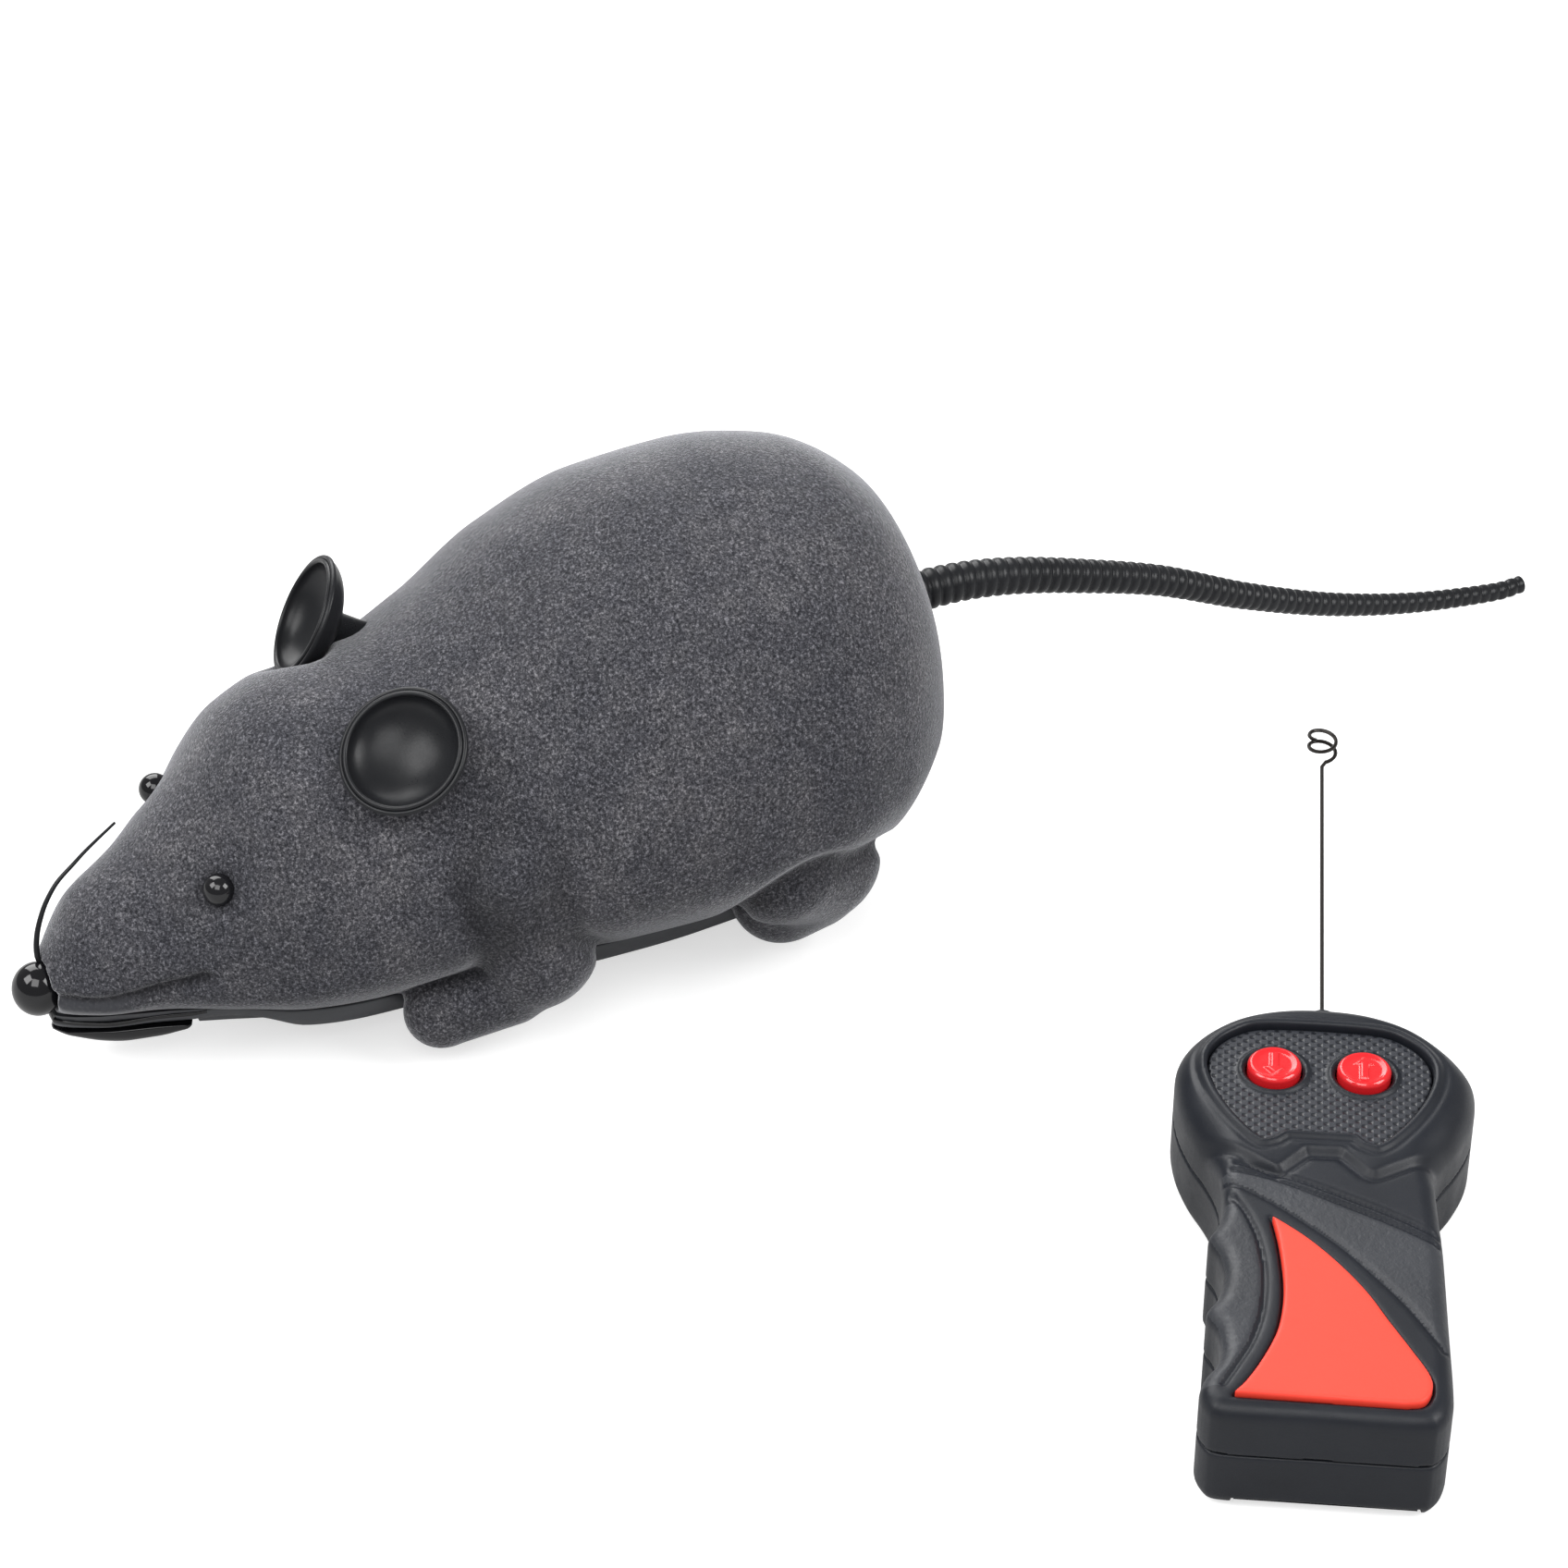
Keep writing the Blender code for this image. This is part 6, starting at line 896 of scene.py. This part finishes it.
MOUTH_END = -46.0
y = FRONT + LENGTH * (0.4585 - 0.4465 * np.cos(np.linspace(0, math.pi, 161)))
edge = np.stack([rim_half_width(y), y], -1)
edge = np.concatenate([edge, (edge * (-1, 1))[::-1]])
along = np.roll(edge, -1, axis=0) - np.roll(edge, 1, axis=0)
out = np.stack([along[:, 1], -along[:, 0]], -1) / np.linalg.norm(along, axis=1)[:, None]
front = before_place(edge[:, 1], JAW_BACK, 0.9)
waist = before_place(edge[:, 1], -36.6, 1.1)
crown = 9.7 - 0.85 * front - 0.55 * bell(edge[:, 1] + 58.5, 5.0)
foot = 6.0 + 1.6 * waist - 0.55 * front
inset = 1.5 - 0.3 * waist
TOP_ROWS = ((-1.0, 0.0), (-0.3, 0.0), (0.02, -0.08), (0.10, -0.25))
rows = [edge + out * outward for outward, rise in TOP_ROWS]
high = [crown + rise for outward, rise in TOP_ROWS]
for angle in np.linspace(0, math.pi / 2, 13):
    rows.append(edge + out * (0.10 - (inset * (1 - math.cos(angle)))[:, None]))
    high.append(foot + (crown - 0.6 - foot) * (1 - math.sin(angle)))
rows.append(edge - out * (inset + 0.3)[:, None])
high.append(foot + 0.15)
band = np.stack([np.concatenate([flat, level[:, None]], 1) for flat, level in zip(rows, high)])
count = len(edge)
faces = grid_faces(len(band) + 1, count) % (len(band) * count)
points = band.reshape(-1, 3)
top = np.arange(len(faces)) < len(TOP_ROWS) * count
mouth_slit = top & (points[faces].mean(1)[:, 1] < MOUTH_END)
rim_band = piece("rim_band", on_mouse(points), faces, "mouse", [SATIN, GLOSS], mouth_slit.astype(int))

# %% [markdown]
# ## The remote as a field
# The remote's outlines are tables of shares of its width and length.  The distance to an outline,
# negative inside it, is the field across, and heights above the table are the field upwards.

# %% Remote measures
REMOTE_WIDTH, REMOTE_LENGTH = 40.0, 80.0
REMOTE_OUTLINE = round_curve(np.array((
    (0.0, 1.0), (0.154, 0.990), (0.298, 0.957), (0.409, 0.904), (0.480, 0.849), (0.500, 0.806),
    (0.486, 0.745), (0.442, 0.685), (0.385, 0.632), (0.357, 0.596), (0.356, 0.550), (0.365, 0.476),
    (0.375, 0.401), (0.385, 0.236), (0.394, 0.091), (0.388, 0.045), (0.360, 0.014), (0.300, 0.0),
    (-0.014, 0.0), (-0.300, 0.0), (-0.360, 0.012), (-0.388, 0.045), (-0.372, 0.082), (-0.337, 0.112),
    (-0.327, 0.146), (-0.341, 0.190), (-0.375, 0.226), (-0.341, 0.262), (-0.324, 0.3125),
    (-0.341, 0.361), (-0.375, 0.399), (-0.346, 0.433), (-0.332, 0.476), (-0.335, 0.530),
    (-0.350, 0.570), (-0.385, 0.615), (-0.440, 0.670), (-0.483, 0.735), (-0.500, 0.806),
    (-0.480, 0.861), (-0.409, 0.916), (-0.298, 0.963), (-0.154, 0.992),
)) * (REMOTE_WIDTH, REMOTE_LENGTH), 220, closed=True)
PLATE_RIGHT = np.array((
    (0.0, 0.923), (0.149, 0.918), (0.269, 0.894), (0.336, 0.853), (0.353, 0.808), (0.328, 0.752),
    (0.270, 0.692), (0.200, 0.642), (0.163, 0.625), (0.133, 0.632), (0.100, 0.650),
)) * (REMOTE_WIDTH, REMOTE_LENGTH)
PLATE_MIDDLE = -0.8
PLATE_LEFT = PLATE_RIGHT * (-1, 1) + (2 * PLATE_MIDDLE, 0)
PLATE_ARCH = round_curve(np.vstack([PLATE_LEFT[8:0:-1], PLATE_RIGHT[1:9]]), 120)
PLATE_OUTLINE = np.vstack([PLATE_ARCH, PLATE_RIGHT[9:], PLATE_LEFT[:8:-1]])
PANEL_RIGHT = np.array((
    (-0.178, 0.445), (-0.060, 0.395), (0.043, 0.337), (0.130, 0.275), (0.197, 0.212), (0.265, 0.150),
    (0.318, 0.098), (0.326, 0.066), (0.300, 0.036), (0.240, 0.028),
)) * (REMOTE_WIDTH, REMOTE_LENGTH)
PANEL_LEFT = np.array((
    (-0.288, 0.031), (-0.250, 0.058), (-0.200, 0.110), (-0.155, 0.175), (-0.138, 0.240),
    (-0.138, 0.300), (-0.154, 0.380), (-0.178, 0.445),
)) * (REMOTE_WIDTH, REMOTE_LENGTH)
PANEL_OUTLINE = np.vstack(
    [round_curve(PANEL_RIGHT, 60)[:-1], [PANEL_RIGHT[-1]], round_curve(PANEL_LEFT, 40)[:-1]]
)
UPPER_GROOVE = (
    (-11.6, 46.1), (-9.78, 45.7), (-6.48, 44.4), (-1.81, 42.6), (3.68, 40.0), (9.17, 37.25),
    (14.2, 34.2),
)
LOWER_GROOVE = ((-12.0, 44.7), (-7.86, 43.7), (-3.46, 42.0), (2.03, 39.2), (8.6, 35.9), (14.2, 32.6))
BAND_LINE = (
    (-12.8, 42.3), (-9.5, 40.55), (-5.66, 37.8), (-1.81, 34.5), (2.03, 30.9), (5.88, 26.3),
    (9.73, 21.3), (12.75, 16.4), (14.6, 13.0),
)
INNER_LINE = (
    (-11.98, 39.45), (-10.3, 36.4), (-8.7, 31.8), (-7.86, 26.8), (-7.7, 22.1), (-8.1, 17.2),
    (-9.2, 12.5), (-10.9, 8.4), (-12.6, 4.6),
)
SPLIT, HALF_GAP = 9.15, 0.16
HEAD_TOP, GRIP_TOP = 18.1, 17.0
PLATE_SEAT, PLATE_TOP = 16.1, 17.4
PANEL_SEAT, PANEL_TOP = 16.4, 17.8
BUTTON_HOLE, RING_RADIUS, RING_END = 3.8, 4.4, 5.05
GROOVE_DEPTH, GROOVE_WIDTH = 0.48, 0.42
WALL = 1.7


def polygon_distance(u, v, outline):
    """Distance to an outline, negative inside it: a place is inside when a ray to the right crosses
    the edges an odd number of times."""
    inside = np.zeros(np.broadcast_shapes(u.shape, v.shape), bool)
    for (au, av), (bu, bv) in zip(outline, np.roll(outline, -1, axis=0)):
        if av != bv:
            inside ^= ((v < av) != (v < bv)) & (u < au + (v - av) / (bv - av) * (bu - au))
    return edge_distance(u, v, outline, True) * np.where(inside, -1, 1)


def line_distance(u, v, route):
    """Distance to an open round line through the points."""
    return edge_distance(u, v, round_curve(route, 30), False)


def smooth_step(value, low, high):
    """Nothing below low, one above high, and a soft slope between."""
    t = np.clip((value - low) / (high - low), 0, 1)
    return t * t * (3 - 2 * t)


def round_cut(a, b, radius):
    """The place inside both a and b, with its edge rounded: two distances joined by a quarter
    circle of the radius."""
    outside = np.sqrt(np.maximum(a + radius, 0) ** 2 + np.maximum(b + radius, 0) ** 2)
    return np.minimum(-radius, np.maximum(a, b)) + outside


HOOD_EDGE = np.array((
    (-24.0, 54.5), (-18.0, 51.8), (-14.5, 49.6), (-7.3, 44.9), (-6.35, 44.45), (-5.4, 45.0),
    (-2.4, 48.4), (1.9, 48.5), (5.1, 45.0), (6.15, 44.5), (7.1, 44.9), (14.45, 49.6), (18.0, 51.8),
    (24.0, 54.5), (24.0, 90.0), (-24.0, 90.0),
))


def front_height(u, v):
    """Top of the front shell: a domed hood round the sunk face plate, a skirt down to the flat
    grip, and fine grooves."""
    hood = polygon_distance(u, v, HOOD_EDGE)
    away = np.maximum(polygon_distance(u, v, PLATE_OUTLINE), 0)
    crown = HEAD_TOP - 0.05 * away - 0.010 * away**2
    crown = crown + 0.25 * bell(away - 0.75, 0.45) - 0.25 * bell(away - 1.75, 0.4)
    height = GRIP_TOP + (crown - GRIP_TOP) * smooth_step(-hood, -0.2, 1.0) - 0.35 * bell(hood - 0.5, 0.5)
    for route in (UPPER_GROOVE, LOWER_GROOVE, BAND_LINE, INNER_LINE):
        height = height - GROOVE_DEPTH * bell(line_distance(u, v, route), GROOVE_WIDTH)
    return height


def front_field(u, v, z, step):
    """The front half: inside the outline, below the top and above the split, less the seats of
    plate and panel and the buttons' holes."""
    outline = polygon_distance(u, v, REMOTE_OUTLINE)
    soft = round_cut(outline, z - front_height(u, v), 2.3 + 2.0 * smooth_step(v, 43.0, 52.0))
    solid = np.maximum(soft, SPLIT + HALF_GAP - z)
    plate_seat = np.maximum(polygon_distance(u, v, PLATE_OUTLINE) - 0.1, PLATE_SEAT - z)
    panel_seat = np.maximum(polygon_distance(u, v, PANEL_OUTLINE) - 0.1, PANEL_SEAT - z)
    solid = soft_max(soft_max(solid, -plate_seat, 0.4), -panel_seat, 0.4)
    for bu, bv in BUTTON_PLACES.values():
        solid = np.maximum(solid, BUTTON_HOLE + 0.1 - np.sqrt((u - bu) ** 2 + (v - bv) ** 2))
    return solid


def open_half(level):
    """Leaves out the faces in the split between the remote's halves, further than a wall's
    thickness from the outline."""
    def trim(points, faces):
        deep = polygon_distance(points[:, 0], points[:, 1], REMOTE_OUTLINE) < -WALL
        return faces[~(deep & (np.abs(points[:, 2] - level) < 0.2))[faces].all(1)]
    return trim


def front_faces(middles):
    """Grained leather for the band between the lower groove and the line above the panel, plain
    plastic elsewhere."""
    u, v = middles[:, 0], middles[:, 1]
    above = np.interp(u, *np.array(LOWER_GROOVE).T)
    below = np.interp(u, *np.array(BAND_LINE).T)
    left = np.interp(v, *np.array(INNER_LINE)[::-1, ::-1].T)
    band = (v < above - 0.5) & (v > below + 0.4)
    hollow = (u < left - 0.5) & (v < 38.0) & (v > 4.0)
    return ((middles[:, 2] > GRIP_TOP - 1.2) & (band | hollow)).astype(int)


LEATHER = plain_look("leather grained plastic", (0.019, 0.021, 0.026), 0.50, grain=1500, depth=0.00022)
front_shell = net_piece(
    "remote_front", front_field, (-21.0, -1.0, 8.0), (21.0, 81.2, 19.6), 0.33,
    on_remote, "remote", [REMOTE_PLASTIC, LEATHER], ("remote_front_shell",),
    front_faces, open_half(SPLIT + HALF_GAP),
)


def plate_field(u, v, z, step):
    """The sunk face plate, with two holes and a raised ring round each."""
    outline = polygon_distance(u, v, PLATE_OUTLINE)
    height = np.full(outline.shape, PLATE_TOP - 0.25)
    hole = np.full(outline.shape, 1e9)
    for bu, bv in BUTTON_PLACES.values():
        radius = np.sqrt((u - bu) ** 2 + (v - bv) ** 2)
        height = height + 0.45 * bell(radius - RING_RADIUS, 0.42)
        hole = np.minimum(hole, radius - BUTTON_HOLE)
    plate = round_cut(outline + 0.05, z - height, 0.3)
    return np.maximum(np.maximum(plate, PLATE_SEAT - z), -hole)


def dimpled_look():
    """Face plate plastic: rows of diamond dimples, each darkened with painted shade; the height is a
    product of two waves read from the piece's own map, in millimetres."""
    look, tree, shader = new_look("dimpled plastic", (0.020, 0.022, 0.027), 0.38, specular=0.35)
    waves = []
    for value, period in zip(own_map(tree), (1.65, 1.70)):
        angle = sums(tree, "MULTIPLY", value, 100 * math.tau / period)
        waves.append(sums(tree, "COSINE", angle, 0.0))
    weave = sums(tree, "MULTIPLY", waves[0], waves[1])
    dimple = span(tree, weave, 0.05, 0.85)
    # Painted shade: the colour darkens towards the bottom of each dimple.
    painted_dimple_shade = ((0.0, (0.024, 0.026, 0.032)), (1.0, (0.008, 0.009, 0.012)))
    link(tree, ramp(tree, dimple, painted_dimple_shade), shader.inputs["Base Color"])
    fine = noise(tree, 3000, 2)
    link(tree, span(tree, fine, 0.3, 0.7, 0.30, 0.42), shader.inputs["Roughness"])
    bump(tree, shader, sums(tree, "SUBTRACT", 0.0, dimple), 0.6, 0.00020)
    return look


def plate_faces(middles):
    """Plain plastic for the raised rings, and the dimpled look for the rest."""
    away = [np.hypot(middles[:, 0] - bu, middles[:, 1] - bv) for bu, bv in BUTTON_PLACES.values()]
    near = np.min(away, axis=0)
    return (near < RING_END).astype(int)


def flat_map(points):
    """Map of a piece on the remote: tenths of a metre across and along, counted from the remote's
    middle."""
    return points[:, :2] / 100


face_plate = net_piece(
    "dimpled_face_plate", plate_field, (-16.5, 49.0, 15.6), (15.5, 75.0, 18.6), 0.22,
    on_remote, "remote", [dimpled_look(), REMOTE_PLASTIC], ("remote_face_plate",),
    plate_faces, map_of=flat_map,
)


ARROW = np.array((
    (0.0, 2.3), (1.3, 0.8), (0.55, 0.8), (0.55, -2.1), (-0.55, -2.1), (-0.55, 0.8), (-1.3, 0.8),
))
CAP_RADIUS, CAP_FOOT, CAP_TOP = 3.6, 13.0, 18.45


def button_field(turn):
    """A round button with a raised rim and an arrow that stands a little proud; turn is 1 for
    forward and -1 for backward."""
    def field(u, v, z, step):
        radius = np.sqrt(u**2 + v**2)
        arrow = polygon_distance(u, v * turn, ARROW)
        height = CAP_TOP + 0.22 * bell(radius - 3.0, 0.38) + 0.30 * smooth_step(-arrow, -0.08, 0.10)
        cap = round_cut(radius - CAP_RADIUS, z - height, 0.45)
        return np.maximum(cap, CAP_FOOT - z)
    return field


for word, turn in (("backward", -1), ("forward", 1)):
    middle = np.array((*BUTTON_PLACES[word], 0))
    button = net_piece(
        word + "_cap", button_field(turn), (-4.2, -4.2, 12.6), (4.2, 4.2, 19.2), 0.14,
        lambda points, middle=middle: on_remote(points + middle), word + "_key", RED, (word + "_button",),
    )


def panel_field(u, v, z, step):
    """The coral panel: a flat slab with softly rounded edges."""
    outline = polygon_distance(u, v, PANEL_OUTLINE)
    return np.maximum(round_cut(outline + 0.1, z - PANEL_TOP, 0.4), PANEL_SEAT - z)


panel = net_piece(
    "coral_panel", panel_field, (-13.5, 1.0, 15.6), (14.5, 37.6, 19.0), 0.24,
    on_remote, "remote", CORAL, ("grip_panel",),
)

# %% Remote back
BAY = (1.0, 10.8, 3.4, 50.2)
DOOR_ROOM = (1.0, 11.7, -2.0, 51.8)
SCREW_PLACES = ((15.0, 60.4), (-15.0, 60.4))
SCREW_HEAD, SCREW_DEPTH, SCREW_HOLE = 2.5, 3.0, 1.3
COLLAR_RADIUS, COLLAR_FOOT = 3.0, 77.0


def rectangle(u, v, middle, half, low, high):
    """Distance to a rectangle's nearest side, negative inside."""
    return np.maximum(np.abs(u - middle) - half, np.maximum(low - v, v - high))


def back_field(u, v, z, step):
    """The back half: a round edge at the table, the battery bay, the door's runway out of the
    bottom end, two screw seats and the collar's hole."""
    soft = round_cut(polygon_distance(u, v, REMOTE_OUTLINE), -z, 2.4)
    solid = np.maximum(soft, z - (SPLIT - HALF_GAP))
    solid = np.maximum(solid, -rectangle(u, v, *BAY))
    solid = np.maximum(solid, -np.maximum(rectangle(u, v, *DOOR_ROOM), z - WALL))
    for su, sv in SCREW_PLACES:
        radius = np.sqrt((u - su) ** 2 + (v - sv) ** 2)
        solid = np.maximum(solid, -np.maximum(radius - SCREW_HEAD, z - SCREW_DEPTH))
        solid = np.maximum(solid, SCREW_HOLE - radius)
    collar_hole = np.maximum(np.sqrt(u**2 + (z - SPLIT) ** 2) - COLLAR_RADIUS, COLLAR_FOOT - v)
    return np.maximum(solid, -collar_hole)


back_shell = net_piece(
    "remote_back", back_field, (-21.0, -1.0, -1.0), (21.0, 81.2, 10.0), 0.36,
    on_remote, "remote", REMOTE_PLASTIC, ("remote_back_shell",), trim=open_half(SPLIT - HALF_GAP),
)

# %% Antenna collar
profile = rounded([(0.42, 0.0), (2.95, 0.0), (2.95, 2.3), (2.2, 2.35), (2.2, 5.6), (0.42, 5.6)], 0.5, 5)
profile = [(0.42, 0.1)] + profile[1:-1] + [(0.42, 5.3)]
collar = turned(
    "turned_collar", profile, (0.0, REMOTE_LENGTH, SPLIT), (0, 1, 0), on_remote, "remote", REMOTE_PLASTIC, 64,
    ("antenna_collar",),
)


# %% [markdown]
# ## Looks for the CAD pieces that stay
# Most of the small inner pieces keep their CAD shapes and only get a better material.

# %% CAD looks
CAD_LOOKS = {
    SATIN: (
        "chassis", "battery_door", "wheel_hub_left", "wheel_hub_right", "castor_fork", "power_switch_body"
    ),
    GLOSS: ("power_switch_knob",),
    RUBBER: ("tail_socket", "button_mat"),
    TYRE: ("tyre_left", "tyre_right", "castor_wheel"),
    STEEL: (
        "battery_door_screw", "battery_contact_front", "battery_contact_rear", "motor", "compound_pin",
        "drive_axle", "castor_axle", "chassis_screw_left", "chassis_screw_right", "jaw_screw",
        "remote_contact_end", "remote_contact_top", "remote_screw_left", "remote_screw_right",
    ),
    BRASS: ("motor_pinion",),
    NYLON: ("compound_gear", "axle_gear", "gearbox_frame"),
    BOARD: ("receiver_board", "remote_board"),
    SLEEVE: ("battery_left", "battery_right", "remote_cell_left", "remote_cell_right"),
    REMOTE_PLASTIC: ("remote_battery_door",),
    WIRE: ("remote_antenna",),
}
for look, names in CAD_LOOKS.items():
    for name in names:
        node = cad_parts[name]
        node.data.materials.clear()
        node.data.materials.append(look)

# %% [markdown]
# ## Floor and light
# A pale floor, white to the camera and darker only in the object's shadow, and large soft
# lamps all round, so that a colour renders about as it is written.


# %% Stage
def floor_look():
    """White floor: plain diffuse, with light of its own added where the camera looks at it directly."""
    look = bpy.data.materials.new("floor")
    look.use_nodes = True
    tree = look.node_tree
    tree.nodes.clear()
    diffuse = tree.nodes.new("ShaderNodeBsdfDiffuse")
    diffuse.inputs["Color"].default_value = (0.50, 0.50, 0.50, 1)
    glow = tree.nodes.new("ShaderNodeEmission")
    path = tree.nodes.new("ShaderNodeLightPath")
    link(tree, sums(tree, "MULTIPLY", path.outputs["Is Camera Ray"], 0.62), glow.inputs["Strength"])
    both = tree.nodes.new("ShaderNodeAddShader")
    link(tree, diffuse.outputs[0], both.inputs[0])
    link(tree, glow.outputs[0], both.inputs[1])
    output = tree.nodes.new("ShaderNodeOutputMaterial")
    link(tree, both.outputs[0], output.inputs["Surface"])
    return look


mesh = bpy.data.meshes.new("floor")
reach = 3.0
corners = [(x * reach, y * reach, -0.0001) for x, y in ((-1, -1), (1, -1), (1, 1), (-1, 1))]
mesh.from_pydata(corners, [], [(0, 1, 2, 3)])
mesh.materials.append(floor_look())
floor = bpy.data.objects.new("floor", mesh)
bpy.context.scene.collection.objects.link(floor)

world = bpy.data.worlds.new("studio")
bpy.context.scene.world = world
world.use_nodes = True
tree = world.node_tree
surround = tree.nodes["Background"]
surround.inputs["Color"].default_value = (1, 1, 1, 1)
path = tree.nodes.new("ShaderNodeLightPath")
strength = sums(tree, "ADD", sums(tree, "MULTIPLY", path.outputs["Is Camera Ray"], 0.45), 0.55)
strength = sums(tree, "SUBTRACT", strength, sums(tree, "MULTIPLY", path.outputs["Is Glossy Ray"], 0.25))
link(tree, strength, surround.inputs["Strength"])


def softbox(name, direction, distance, size, power):
    """A square lamp that looks at the mouse from a direction."""
    data = bpy.data.lights.new(name, "AREA")
    data.shape = "SQUARE"
    data.size = size
    data.energy = power
    lamp = bpy.data.objects.new(name, data)
    aim = np.asarray(direction, float) / np.linalg.norm(direction)
    lamp.location = MOUSE + aim * distance + (0.02, 0.03, 0.02)
    lamp.rotation_euler = Vector(aim).to_track_quat("Z", "Y").to_euler()
    bpy.context.scene.collection.objects.link(lamp)


UPWARD = np.array([0, 0, 1.0])
softbox("key", 0.7 * UPWARD - 0.80 * right + 0.35 * back, 0.9, 0.45, 4.6)
softbox("rim", 0.95 * UPWARD - 0.75 * back - 0.25 * right, 0.9, 0.7, 8.0)
softbox("fill", 0.6 * UPWARD + 0.9 * right + 0.35 * back, 1.0, 0.5, 6.4)
softbox("front", 0.42 * UPWARD + 0.95 * back - 0.15 * right, 1.1, 0.6, 5.5)
bpy.context.scene.view_settings.view_transform = "Standard"
